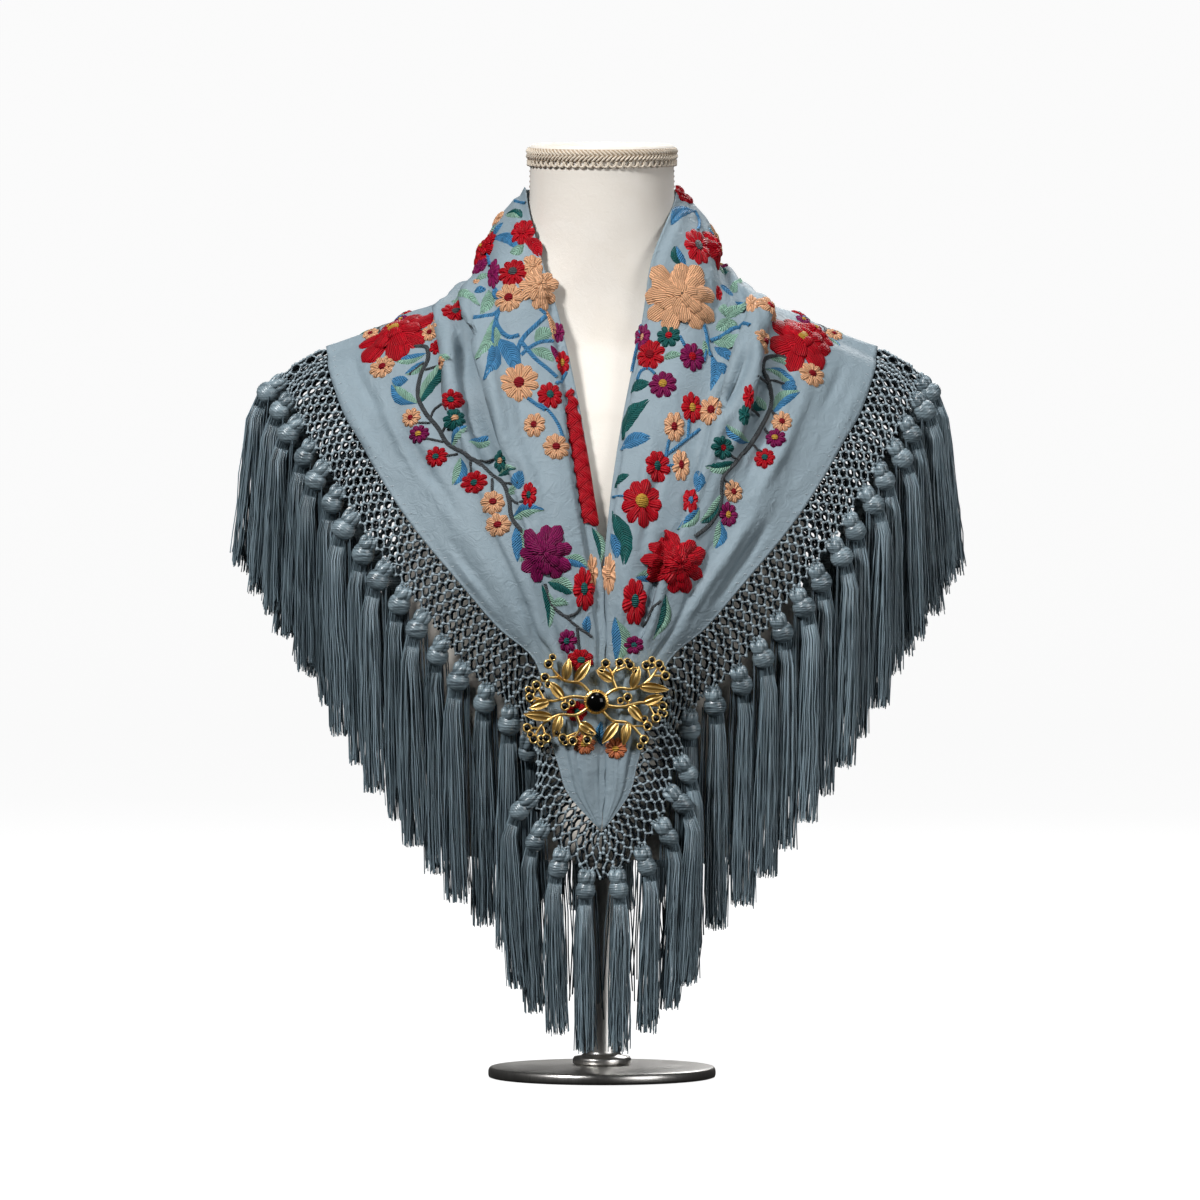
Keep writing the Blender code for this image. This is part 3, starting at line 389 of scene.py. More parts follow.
FOLD_AT = ("back", "ridge", "collarbone", "chest", "bust", "pin", "tail_mid", "tail_tip")
LEFT_FOLDS = {
    "neck_lip": Fold(
        5 * MM, 26 * MM, "inner",
        (0.06, 0.06, 0.060, 0.110, 0.12, 0.14, 0.16, 0.16),
        (3.0, 3.0, 4.5, 6.0, 4.5, 2.0, 1.0, 0.0),
        (0.0, 0.0, 0.3, 2.0, 1.4, 0.0, 0.0, 0.0),
    ),
    "roll": Fold(
        26 * MM, 26 * MM, "none",
        (0.13, 0.18, 0.19, 0.23, 0.28, 0.30, 0.35, 0.35),
        (8.0, 8.0, 6.5, 5.0, 2.0, 1.0, 1.0, 0.0),
        (0.0,) * 8,
    ),
    "roll_edge": Fold(
        20 * MM, 7 * MM, "outer",
        (0.22, 0.30, 0.365, 0.350, 0.38, 0.42, 0.45, 0.45),
        (6.0, 7.0, 10.0, 6.0, 3.0, 3.5, 2.0, 0.0),
        (2.0, 3.2, 4.4, 2.2, 0.6, 0.5, 0.0, 0.0),
    ),
    "second_fold": Fold(
        13 * MM, 6 * MM, "outer",
        (0.33, 0.45, 0.505, 0.52, 0.56, 0.64, 0.66, 0.66),
        (2.5, 5.0, 8.5, 2.5, 3.0, 3.5, 2.0, 0.0),
        (0.4, 1.5, 3.2, 0.5, 0.6, 0.5, 0.0, 0.0),
    ),
    "shoulder_swell": Fold(
        18 * MM, 18 * MM, "none",
        (0.55, 0.66, 0.70, 0.70, 0.74, 0.84, 0.85, 0.85),
        (1.5, 1.5, 1.5, 1.5, 3.0, 1.2, 0.6, 0.0),
        (0.0,) * 8,
    ),
}
RIGHT_FOLDS = {
    "neck_lip": Fold(
        6 * MM, 26 * MM, "inner",
        (0.06, 0.06, 0.040, 0.05, 0.06, 0.14, 0.16, 0.16),
        (3.0, 3.0, 4.5, 4.0, 3.0, 2.0, 1.0, 0.0),
        (0.0, 0.0, 0.8, 1.2, 1.0, 0.0, 0.0, 0.0),
    ),
    "roll": Fold(
        26 * MM, 26 * MM, "none",
        (0.13, 0.18, 0.19, 0.19, 0.21, 0.28, 0.35, 0.35),
        (8.0, 8.5, 7.0, 6.0, 3.5, 1.0, 1.0, 0.0),
        (0.0,) * 8,
    ),
    "loop_fold": Fold(
        7 * MM, 22 * MM, "inner",
        (0.22, 0.36, 0.43, 0.43, 0.44, 0.44, 0.45, 0.45),
        (6.0, 6.0, 11.0, 9.0, 6.0, 3.5, 2.0, 0.0),
        (0.0, 0.6, 4.4, 3.6, 2.2, 0.5, 0.0, 0.0),
    ),
    "loop_edge": Fold(
        12 * MM, 6 * MM, "outer",
        (0.33, 0.46, 0.50, 0.55, 0.60, 0.66, 0.66, 0.66),
        (2.5, 5.0, 8.0, 1.5, 2.0, 3.0, 2.0, 0.0),
        (0.4, 1.2, 2.8, 0.2, 0.3, 0.5, 0.0, 0.0),
    ),
    "shoulder_swell": Fold(
        18 * MM, 18 * MM, "none",
        (0.55, 0.68, 0.72, 0.74, 0.78, 0.85, 0.85, 0.85),
        (1.5, 1.5, 1.0, 2.5, 3.0, 1.2, 0.6, 0.0),
        (0.0,) * 8,
    ),
}
FOLDS = {-1: LEFT_FOLDS, 1: RIGHT_FOLDS}

NET_SECTIONS = {
    "back": NetShape(0.036, 0.30, 0.04),
    "back_side": NetShape(0.036, 0.45, 0.04),
    "shoulder_back": NetShape(0.036, 0.45, 0.02),
    "ridge": NetShape(0.038, 0.36, 0.00),
    "neck_side": NetShape(0.035, 0.40, 0.06),
    "collarbone": NetShape(0.032, 0.42, 0.10),
    "chest": NetShape(0.031, 0.38, 0.12),
    "bust": NetShape(0.036, 0.38, 0.14),
    "under_bust": NetShape(0.042, 0.55, 0.16),
    "above_pin": NetShape(0.045, 1.00, 0.24),
    "pin": NetShape(0.042, 2.20, 0.34),
}
LEFT_TAIL_NET_SECTIONS = {
    "pin": NetShape(0.010, 0.80, -0.06),
    "tail_top": NetShape(0.014, 0.75, -0.05),
    "tail_mid": NetShape(0.021, 0.60, -0.04),
    "tail_low": NetShape(0.028, 0.45, -0.02),
    "tail_tip": NetShape(0.034, 0.90, 0.00),
}
RIGHT_TAIL_NET_SECTIONS = {
    "pin": NetShape(0.034, 0.55, -0.06),
    "tail_top": NetShape(0.032, 0.50, -0.05),
    "tail_mid": NetShape(0.028, 0.45, -0.04),
    "tail_low": NetShape(0.030, 0.45, -0.02),
    "tail_tip": NetShape(0.034, 0.90, 0.00),
}
TAIL_NET_START = PIN + 0.30  # just below the end of the front net

TASSEL_SECTIONS = {
    "back": TasselShape(0.128, 0.00),
    "ridge": TasselShape(0.134, 0.14),
    "collarbone": TasselShape(0.140, 0.06),
    "upper_chest": TasselShape(0.151, 0.02),
    "chest": TasselShape(0.157, 0.00),
    "bust": TasselShape(0.165, 0.00),
    "pin": TasselShape(0.168, 0.00),
    "tail_mid": TasselShape(0.140, 0.00),
    "tail_tip": TasselShape(0.126, 0.00),
}


def read_sections(table: dict, t: float) -> np.ndarray:
    """A row of a table of sections at t, a position along SECTION_NAMES on either side."""
    knots = [SECTION_NAMES.index(name) for name in table]
    return smooth_through(knots, list(table.values()), min(max(abs(t), knots[0]), knots[-1]))


@dataclass(frozen=True)
class Drape:
    """The shawl's middle surface. A position t runs from -TIP, the left tail's tip, over the back's middle,
    0, to TIP, the right tail's tip, and a share runs from the neck edge, 0, to the netted edge, 1."""

    cloth_thickness: float = 1.6 * MM
    seam_gap: float = 0.3 * MM
    row_reach: float = 0.05
    section_samples: int = 48
    back_blend: float = 2.0
    width_of_free_folds: float = 0.075
    net_steps: int = 4
    net_edge_reach: float = 0.08
    net_seam_share: float = 0.2
    left_spread: float = 1.10
    right_spread: float = 0.88

    def plain_section(self, t: float) -> np.ndarray:
        """The section at t without its folds, as points evenly spread along it."""
        side, s = (-1 if t < 0 else 1), abs(t)
        table = SECTION_TABLE
        corners = smooth_through(np.arange(len(table)), table.reshape(len(table), -1), s).reshape(-1, 3)
        mirrored = np.concatenate([table[1:2], table])[:, :, 1]
        corners[:, 1] = smooth_through(np.arange(-1, len(table)), mirrored, s)
        tail = self.left_spread if side < 0 else self.right_spread
        corners[:, 0] *= side * (1 + (tail - 1) * min(max((s - ABOVE_PIN) / 2, 0), 1))
        chords = run_of(corners)
        return smooth_through(chords, corners, np.linspace(0, chords[-1], self.section_samples))

    def relief(self, side: int, s: float, at: np.ndarray, width: float) -> tuple[np.ndarray, np.ndarray]:
        """Height over the plain section, and sideways shift along it, at distances from its inner edge."""
        knots = [SECTION_NAMES.index(name) for name in FOLD_AT]
        s = min(max(s, knots[0]), knots[-1])
        height, shift = np.zeros_like(at), np.zeros_like(at)
        squeeze = min(1.0, width / self.width_of_free_folds)
        for fold in FOLDS[side].values():
            table = np.array([fold.crest, fold.height, fold.tuck]).T
            crest, tall, tuck = smooth_through(knots, table, s)
            x = at - crest * width
            reach = np.where(x < 0, fold.inner_width, fold.outer_width) * squeeze
            near = np.clip(1 - np.abs(x) / reach, 0, 1)
            height += max(tall, 0) * MM * np.sin(near * math.pi / 2) ** 2
            if fold.steep != "none":
                outwards = 1.0 if fold.steep == "outer" else -1.0
                slide = outwards * max(tuck, 0) * MM * np.sin(2 * math.pi * (1 - near))
                shift += np.where(x * outwards > 0, slide, 0)
        return height, shift

    def row(self, t: float, shares: np.ndarray) -> np.ndarray:
        """Points of the folded cloth at t, at shares of the way from the neck edge to the netted edge."""
        side, s = (-1 if t < 0 else 1), abs(t)
        plain = self.plain_section(t)
        width = run_of(plain)[-1]
        at = shares * width
        other = 0.5 * max(0.0, 1 - s / self.back_blend)
        height, shift = ((1 - other) * own for own in self.relief(side, s, at, width))
        if other:
            mirrored = self.relief(-side, s, at, width)
            height, shift = (a + other * b for a, b in zip((height, shift), mirrored))
        ahead, behind = self.plain_section(t + self.row_reach), self.plain_section(t - self.row_reach)
        along = (along_line(ahead, shares * run_of(ahead)[-1])
                 - along_line(behind, shares * run_of(behind)[-1]))
        place = np.clip(at + shift, 0, width)
        across = along_line(plain, place + MM) - along_line(plain, place - MM)
        row = along_line(plain, place) + unit(np.cross(unit(along), unit(across))) * height[:, None]
        if t == 0:
            row[:, 0] = 0
        return row

    def swell_share(self, t: float) -> float:
        """The share at which the outermost soft fold has its crest."""
        side, s = (-1 if t < 0 else 1), abs(t)
        knots = [SECTION_NAMES.index(name) for name in FOLD_AT]
        own, opposite = (
            float(smooth_through(knots, np.array([FOLDS[k]["shoulder_swell"].crest]).T, min(s, TIP))[0])
            for k in (side, -side)
        )
        other = 0.5 * max(0.0, 1 - s / self.back_blend)
        return (1 - other) * own + other * opposite

    def net_row(self, t: float, table: dict) -> np.ndarray:
        """Points from the cloth's edge to the tassels, on a line that bends down."""
        width, fall, swing = read_sections(table, t)
        ends = np.array([self.swell_share(t), 1.0])
        edge = self.row(t, ends)
        before = self.row(max(t - self.net_edge_reach, -TIP), ends)[-1]
        after = self.row(min(t + self.net_edge_reach, TIP), ends)[-1]
        tangent = unit(after - before)
        outward = unit(edge[1] - edge[0])
        away = unit(outward - tangent * outward.dot(tangent))
        down = np.array([0.0, swing * 2, -1.0])
        line = [edge[1] + away * (self.seam_gap + self.cloth_thickness * self.net_seam_share)]
        for k in range(self.net_steps):
            share = min(1.0, fall * (k + 0.5) / self.net_steps)
            line.append(line[-1] + unit(away * (1 - share) + down * share) * width / self.net_steps)
        return np.array(line)


class Crease(NamedTuple):
    """A soft trough (height below 0) or ridge, placed along a given line: its width and height in mm."""

    width: float
    height: float
    line: tuple


# Creases of the front, along pixels of the photograph.
FRONT_CREASES = (
    Crease(13.0, -8.0, ((478, 296), (468, 326), (463, 352), (461, 380), (466, 408), (476, 430), (488, 456))),
    Crease(8.5, -5.0, ((468, 402), (478, 430), (490, 458), (503, 486))),
    Crease(9.5, 9.0, ((448, 290), (450, 326), (451, 362), (454, 398), (462, 434), (472, 462))),
    Crease(7.0, 3.0, ((487, 330), (491, 370), (497, 410), (505, 450), (515, 490))),
    Crease(9.0, -3.0, ((440, 300), (436, 336), (434, 366))),
    Crease(7.0, 2.4, ((519, 444), (526, 466), (533, 485), (537, 508))),
    Crease(8.0, -3.0, ((508, 456), (516, 480), (523, 506), (530, 530))),
    Crease(6.0, 2.0, ((524, 572), (534, 598), (540, 626), (547, 650))),
    Crease(6.0, -2.6, ((516, 588), (526, 614), (534, 644), (541, 668))),
    Crease(5.0, -2.0, ((560, 560), (566, 592), (574, 622), (580, 650))),
    Crease(4.5, 1.6, ((566, 556), (573, 586), (581, 616), (586, 646))),
    Crease(8.0, -4.0, ((398, 420), (414, 452), (436, 486), (462, 520))),
    Crease(7.0, 3.2, ((380, 396), (396, 432), (420, 470), (448, 508))),
    Crease(6.0, -3.2, ((352, 356), (362, 384), (378, 410))),
    Crease(7.0, 2.6, ((330, 362), (342, 396), (364, 436), (388, 472))),
    Crease(5.0, -3.0, ((430, 560), (454, 590), (482, 622), (508, 656))),
    Crease(6.0, 2.8, ((446, 548), (474, 584), (502, 620), (526, 652))),
    Crease(4.0, 1.2, ((492, 250), (482, 280), (478, 312))),
    Crease(6.0, -1.4, ((516, 380), (520, 410), (524, 440), (528, 470))),
    Crease(6.0, -3.4, ((694, 205), (703, 226), (716, 256), (720, 296), (708, 324))),
    Crease(7.0, -11.0, ((746, 352), (741, 366), (736, 380), (729, 396), (722, 414))),
    Crease(5.5, 5.6, ((752, 298), (755, 330), (756, 360), (752, 390), (744, 418), (734, 444))),
    Crease(6.5, -4.5, ((763, 306), (765, 340), (764, 368), (760, 396), (750, 428), (738, 456))),
    Crease(6.0, -3.6, ((742, 296), (744, 318), (745, 344))),
    Crease(6.5, 4.6, ((728, 348), (725, 366), (721, 382), (715, 405), (708, 433), (700, 466))),
    Crease(7.0, -3.0, ((736, 412), (727, 440), (714, 470), (702, 500), (690, 530))),
    Crease(6.0, -3.6, ((790, 360), (780, 396), (764, 440), (744, 480))),
    Crease(7.0, 3.0, ((810, 380), (796, 420), (776, 462), (752, 504))),
    Crease(6.0, -2.0, ((846, 352), (836, 384), (818, 420))),
    Crease(7.0, 1.6, ((868, 360), (856, 396), (834, 440), (806, 484))),
    Crease(6.0, -3.8, ((770, 520), (744, 560), (714, 604), (686, 648))),
    Crease(6.0, 3.2, ((756, 510), (730, 552), (700, 596), (674, 640))),
    Crease(5.0, 3.0, ((676, 548), (664, 584), (654, 618), (645, 650))),
    Crease(5.5, -4.0, ((664, 560), (652, 596), (642, 630), (634, 656))),
    Crease(5.0, 1.8, ((626, 574), (622, 606), (618, 640))),
    Crease(6.0, 2.6, ((655, 430), (646, 470), (638, 512), (630, 560))),
    Crease(6.0, -3.4, ((668, 440), (658, 480), (650, 516), (640, 560))),
    Crease(4.0, -1.4, ((572, 706), (576, 740), (584, 770))),
    Crease(4.0, 1.2, ((590, 716), (592, 752), (596, 784))),
    Crease(4.0, -1.3, ((622, 716), (621, 746), (617, 776))),
)
# Creases of the back and the shoulders, along (position, share).
BACK_CREASES = (
    Crease(12.0, 1.8, ((-0.6, 0.30), (-0.9, 0.50), (-1.0, 0.72), (-1.1, 0.94))),
    Crease(11.0, -1.7, ((-0.1, 0.34), (-0.15, 0.55), (-0.3, 0.80), (-0.35, 0.97))),
    Crease(12.0, 1.7, ((0.55, 0.32), (0.7, 0.52), (0.95, 0.76), (1.0, 0.95))),
    Crease(10.0, -1.6, ((1.1, 0.36), (1.4, 0.56), (1.6, 0.76), (1.75, 0.95))),
    Crease(11.0, 1.5, ((1.9, 0.42), (2.2, 0.60), (2.45, 0.80), (2.6, 0.96))),
    Crease(10.0, -1.7, ((-1.5, 0.40), (-1.8, 0.60), (-2.05, 0.78), (-2.1, 0.95))),
    Crease(10.0, 1.4, ((-2.2, 0.44), (-2.5, 0.62), (-2.8, 0.82), (-2.9, 0.96))),
    Crease(9.0, -1.4, ((-2.9, 0.50), (-3.2, 0.66), (-3.45, 0.84), (-3.5, 0.97))),
    Crease(9.0, -1.4, ((2.7, 0.48), (3.1, 0.66), (3.3, 0.84), (3.4, 0.97))),
    Crease(8.0, 1.3, ((3.3, 0.52), (3.7, 0.70), (3.9, 0.90))),
    Crease(8.0, 1.3, ((-3.5, 0.54), (-3.8, 0.72), (-4.0, 0.92))),
    Crease(9.0, -1.5, ((-0.5, 0.12), (-1.2, 0.16), (-2.0, 0.15), (-2.8, 0.19))),
    Crease(9.0, -1.5, ((0.5, 0.13), (1.3, 0.15), (2.1, 0.17), (2.9, 0.20))),
    Crease(7.0, 1.2, ((-0.2, 0.20), (0.8, 0.23), (1.7, 0.24), (2.6, 0.28))),
    Crease(7.0, 1.2, ((0.1, 0.25), (-0.9, 0.23), (-1.8, 0.25), (-2.6, 0.29))),
)


@dataclass
class ShawlCloth:
    """The one cut of crepe, draped: a fine thin shell on the solids' middle surface.

    Its rows run across the shawl at positions t and its columns from the neck edge to the netted edge.
    """

    drape: Drape
    form: BVHTree | None = None
    half_thickness: float = 0.40 * MM
    hem_half_thickness: float = 0.70 * MM
    columns: int = 82
    rows_back: int = 56
    rows_front: int = 84
    rows_tail: int = 26
    hem_columns: int = 2
    form_gap: float = 1.6 * MM
    inner_crowding: float = 0.25  # how much closer its columns lie at the neck edge
    lap_start: float = 10.6
    lap_ease: float = 1.2
    lap_end_ease: float = 1.5
    lap_share: float = 0.2
    lap_width: float = 3.4 * MM
    lap_rise: float = 1.1 * MM
    lap_waves: float = 5.5
    lap_wave_depth: float = 0.3
    lapel_height: float = 0.590
    lapel_span: float = 34 * MM
    lapel_width: float = 7.5 * MM
    lapel_rise: float = 8.5 * MM
    free_room: float = 14.0 * MM
    crease_samples: int = 24
    crease_wave: float = 0.25  # how unevenly a crease rises along its line
    neck_hold: float = 0.3  # how much of a crease is left in the neck edge
    hem_holds: tuple = (0.5, 0.2)  # and in the last two columns at the hem
    grid: np.ndarray = field(init=False)
    normals: np.ndarray = field(init=False)
    positions: np.ndarray = field(init=False)
    shares: np.ndarray = field(init=False)
    flat_area: float = field(init=False)

    def __post_init__(self) -> None:
        half = np.concatenate([
            np.linspace(0, RIDGE, self.rows_back + 1)[:-1],
            np.linspace(RIDGE, PIN, self.rows_front + 1)[:-1],
            np.linspace(PIN, TIP, self.rows_tail + 1),
        ])
        self.positions = np.concatenate([-half[:0:-1], half])
        even = np.linspace(0, 1, self.columns)
        self.shares = (1 - self.inner_crowding) * even + self.inner_crowding * even ** 2
        self.grid = np.array([self.drape.row(t, self.shares) for t in self.positions])
        self.normals = grid_normals(self.grid)
        self.lap_fronts()
        self.add_creases()
        self.normals = grid_normals(self.grid)
        self.flat_area = float(self.cell_areas().sum())

    def lap_fronts(self) -> None:
        """Laps the left front's inner edge a little over the right one's, from the bust to the tails."""
        for side in (-1, 1):
            along = side * self.positions
            held = np.clip((along - self.lap_start) / self.lap_ease, 0, 1)
            held *= np.clip((TIP - along) / self.lap_end_ease, 0, 1)
            depth = held[:, None] * np.clip(1 - self.shares / self.lap_share, 0, 1)[None]
            if side < 0:
                wave = 1 + self.lap_wave_depth * np.sin(self.lap_waves * self.positions)[:, None]
                self.grid[..., 0] += self.lap_width * depth * wave
                self.grid[..., 1] -= self.lap_rise * depth
            else:
                self.grid[..., 1] += self.lap_rise * depth
        front = ((self.positions > RIDGE) & (self.positions < PIN))[:, None]
        height = np.exp(-((self.grid[..., 2] - self.lapel_height) / self.lapel_span) ** 2)
        reach = front * height * np.clip(1 - self.shares / self.lap_share, 0, 1)[None]
        self.grid[..., 0] -= self.lapel_width * reach
        self.grid[..., 1] -= self.lapel_rise * reach

    def cell_areas(self) -> np.ndarray:
        """The area of each cell of the grid."""
        corner = self.grid[:-1, :-1]
        down, across = self.grid[1:, :-1] - corner, self.grid[:-1, 1:] - corner
        return np.linalg.norm(np.cross(down, across), axis=-1)

    def at(self, t: float, share: float) -> tuple[Point, Point]:
        """The point and outward normal at a position and share."""
        row = np.interp(t, self.positions, np.arange(len(self.positions)))
        column = np.interp(share, self.shares, np.arange(self.columns))
        r, c = int(min(row, len(self.positions) - 2)), int(min(column, self.columns - 2))
        f, g = row - r, column - c
        weights = ((1 - f) * (1 - g), (1 - f) * g, f * (1 - g), f * g)
        cells = ((r, c), (r, c + 1), (r + 1, c), (r + 1, c + 1))
        point = sum(w * self.grid[cell] for w, cell in zip(weights, cells))
        normal = unit(sum(w * self.normals[cell] for w, cell in zip(weights, cells)))
        return point + normal * self.half_thickness, normal

    def add_creases(self) -> None:
        """Moves the surface along its normals by the listed creases, each fading out at its ends."""
        surface = Canvas(self)
        lift = np.zeros(self.grid.shape[:2])
        for number, crease in enumerate((*FRONT_CREASES, *BACK_CREASES)):
            if number < len(FRONT_CREASES):
                line = surface.points_at(crease.line)
            else:
                line = np.array([self.at(*place)[0] for place in crease.line])
            if len(line) < 2:
                continue
            run = run_of(line)
            dense = smooth_through(run, line, np.linspace(0, run[-1], self.crease_samples))
            gaps = np.linalg.norm(self.grid[:, :, None] - dense[None, None], axis=-1)
            nearest = gaps.argmin(axis=-1)
            part = nearest / (len(dense) - 1)
            uneven = np.sin(math.pi * np.clip(part, 0.03, 0.97)) ** 0.7
            uneven = uneven * (1 + self.crease_wave * np.sin(9 * part + number))
            near = np.clip(1 - gaps.min(axis=-1) / (crease.width * MM), 0, 1)
            lift += crease.height * MM * uneven * near * near * (3 - 2 * near)
        lift[:, 0] *= self.neck_hold
        lift[:, -2:] *= self.hem_holds
        self.grid += self.normals * self.kept_off(lift)[..., None]

    def kept_off(self, lift: np.ndarray) -> np.ndarray:
        """The same lift, with troughs no deeper than the room over the form allows."""
        if self.form is None:
            return lift
        room = np.full(lift.shape, self.free_room)
        for index in zip(*np.nonzero(lift < 0)):
            found = self.form.ray_cast(Vector(self.grid[index]), Vector(-self.normals[index]), self.free_room)
            if found[0] is not None:
                room[index] = found[3]
        return np.maximum(lift, -np.maximum(room - self.form_gap, 0))

    def build(self, material: bpy.types.Material) -> bpy.types.Object:
        """The closed shell of the cloth, with a rolled hem along its netted edge."""
        thick = np.full(self.columns, self.half_thickness)
        thick[-self.hem_columns:] = self.hem_half_thickness
        offset = self.normals * thick[None, :, None]
        across = np.concatenate([np.zeros((len(self.grid), 1)), np.cumsum(
            np.linalg.norm(np.diff(self.grid, axis=1), axis=-1), axis=1)], axis=1)
        middle = self.columns // 3
        along = np.concatenate([[0.0], np.cumsum(
            np.linalg.norm(np.diff(self.grid[:, middle], axis=0), axis=-1))])
        uvs = np.stack(np.broadcast_arrays(along[:, None], across), axis=-1)
        # One grid goes over the outer face, round the hem, over the inner face and round the neck edge.
        wrapped = np.concatenate([self.grid + offset, (self.grid - offset)[:, ::-1]], axis=1)
        wrapped_uvs = np.concatenate([uvs, uvs[:, ::-1]], axis=1)
        builder = MeshBuilder()
        builder.add_grid(wrapped[:, ::-1], wrapped_uvs[:, ::-1], 0, closed=True)
        size = wrapped.shape[1]
        for row, order in ((0, 1), (len(self.grid) - 1, -1)):
            pairs = np.arange(self.columns)
            first, second = pairs[:-1], pairs[1:]
            base = row * size
            flipped = size - 1
            faces = np.stack([flipped - first, flipped - second,
                              flipped - (size - 1 - second), flipped - (size - 1 - first)], axis=-1) + base
            builder.faces.append(faces[:, ::order])
            builder.slots.append(np.zeros(len(faces)))
        return builder.build("shawl_cloth", [material])


# ---------------------------------------------------------------- embroidery
class Silk(Enum):
    """The embroidery threads, in the order of the material slots."""

    RED = 0
    MAGENTA = 1
    PEACH = 2
    TEAL = 3
    MINT = 4
    BLUE = 5
    GREY = 6
    GARNET = 7
    YELLOW = 8
    CORAL = 9


class Patch(NamedTuple):
    """A place on the cloth: its middle, and unit directions to the right, up and out of the cloth."""

    centre: Point
    right: Point
    up: Point
    out: Point


class Canvas:
    """The outer face of the cloth, on which points are found from a pixel or from a point near it."""

    reach = 12 * MM
    dip = 1.5 * MM  # how far a motif may follow the cloth down at its middle
    dip_slope = 0.6  # and how much further for each length away from it
    bridging = 3  # passes that carry a motif over a narrow valley
    bridge_slack = 0.12 * MM
    sample_spread = 0.3  # where the normals of a patch are read, as a share of a motif's size
    end_on = 0.93  # the steepest a patch may lie to the direction it is framed by
    strayed = 1.6  # past this share of its depth limit, a point isn't on the motif's own stretch of cloth

    def __init__(self, cloth: "ShawlCloth") -> None:
        outer = cloth.grid + cloth.normals * cloth.half_thickness
        rows, columns = outer.shape[:2]
        numbers = np.arange(rows * columns).reshape(rows, columns)
        faces = np.stack([numbers[:-1, :-1], numbers[1:, :-1], numbers[1:, 1:], numbers[:-1, 1:]], axis=-1)
        self.tree = BVHTree.FromPolygons(outer.reshape(-1, 3).tolist(), faces.reshape(-1, 4).tolist())

    def hit(self, x: float, y: float) -> tuple[Point, Point] | None:
        """The point and normal seen at a pixel of the photograph, if the cloth is there."""
        eye, direction = VIEW.ray(x, y)
        point, normal, _, _ = self.tree.ray_cast(Vector(eye), Vector(direction))
        return None if point is None else (np.array(point), np.array(normal))

    def points_at(self, pixels: Sequence[tuple]) -> np.ndarray:
        """The points seen at pixels, without those that miss the cloth."""
        hits = [self.hit(*pixel) for pixel in pixels]
        return np.array([hit[0] for hit in hits if hit is not None])

    def patch_at(self, x: float, y: float, size: float) -> Patch | None:
        """The place seen at a pixel, with a normal averaged over a motif of a size in pixels."""
        middle = self.hit(x, y)
        if middle is None:
            return None
        spread = size * self.sample_spread
        offsets = [(math.cos(turn) * spread, math.sin(turn) * spread) for turn in np.arange(6)]
        around = [self.hit(x + dx, y + dy) for dx, dy in offsets]
        near = [hit[1] for hit in around if hit and np.linalg.norm(hit[0] - middle[0]) < size * PIXEL]
        return self.framed(middle[0], unit(np.sum([middle[1] * 2, *near], axis=0)))

    def framed(self, point: Point, out: Point, right: Point = np.array([1.0, 0.0, 0.0])) -> Patch:
        """A patch whose right lies along a given direction as well as the cloth allows."""
        if abs(out @ right) > self.end_on:
            right = np.array([0.0, math.copysign(1.0, -out[0]) or 1.0, 0.0])
        right = unit(right - out * (right @ out))
        return Patch(point, right, np.cross(out, right), out)

    def near(self, point: Point) -> tuple[Point, Point]:
        """The nearest point of the cloth and its normal."""
        place, normal, _, _ = self.tree.find_nearest(Vector(point))
        return np.array(place), np.array(normal)

    def lay(self, patch: Patch, right: np.ndarray, up: np.ndarray, lift: np.ndarray) -> np.ndarray:
        """Wraps a flat grid of offsets and heights round the cloth at a patch."""
        flat = patch.centre + right[..., None] * patch.right + up[..., None] * patch.up
        depth, outs = np.empty(right.shape), np.empty_like(flat)
        down = Vector(-patch.out)
        for index in np.ndindex(right.shape):
            start = Vector(flat[index] + patch.out * self.reach)
            place, normal, _, _ = self.tree.ray_cast(start, down, 2 * self.reach)
            if place is None or normal.dot(down) > -0.05:
                place, normal, _, _ = self.tree.find_nearest(Vector(flat[index]))
            deepest = self.dip + self.dip_slope * math.hypot(right[index], up[index])
            if (place - Vector(flat[index])).length > deepest * self.strayed:
                place, normal = Vector(flat[index]) + down * deepest, -down
            depth[index] = min(max(-down.dot(place - Vector(flat[index])), -deepest), deepest)
            outs[index] = -normal if normal.dot(down) > 0 else normal
        for _ in range(self.bridging):
            padded = np.pad(depth, 1, mode="edge")
            around = (padded[:-2, 1:-1] + padded[2:, 1:-1] + padded[1:-1, :-2] + padded[1:-1, 2:]) / 4
            depth = np.maximum(depth, around - self.bridge_slack)
        return flat + patch.out * depth[..., None] + unit(outs + patch.out) * lift[..., None]


class PetalRing(NamedTuple):
    """A ring of petals: their number, reach and width as shares of the radius, height and base in mm."""

    count: int
    reach: float
    width: float
    height: float
    base: float


POPPY_RINGS = (
    PetalRing(7, 1.00, 0.61, 2.6, 0.0),
    PetalRing(6, 0.64, 0.46, 2.3, 2.0),
    PetalRing(4, 0.36, 0.38, 1.9, 3.7),
)
PEONY_RINGS = (
    PetalRing(9, 1.00, 0.47, 2.5, 0.0),
    PetalRing(8, 0.80, 0.42, 2.2, 1.8),
    PetalRing(7, 0.60, 0.36, 2.0, 3.3),
    PetalRing(5, 0.41, 0.34, 1.8, 4.6),
    PetalRing(3, 0.23, 0.28, 1.5, 5.7),
)


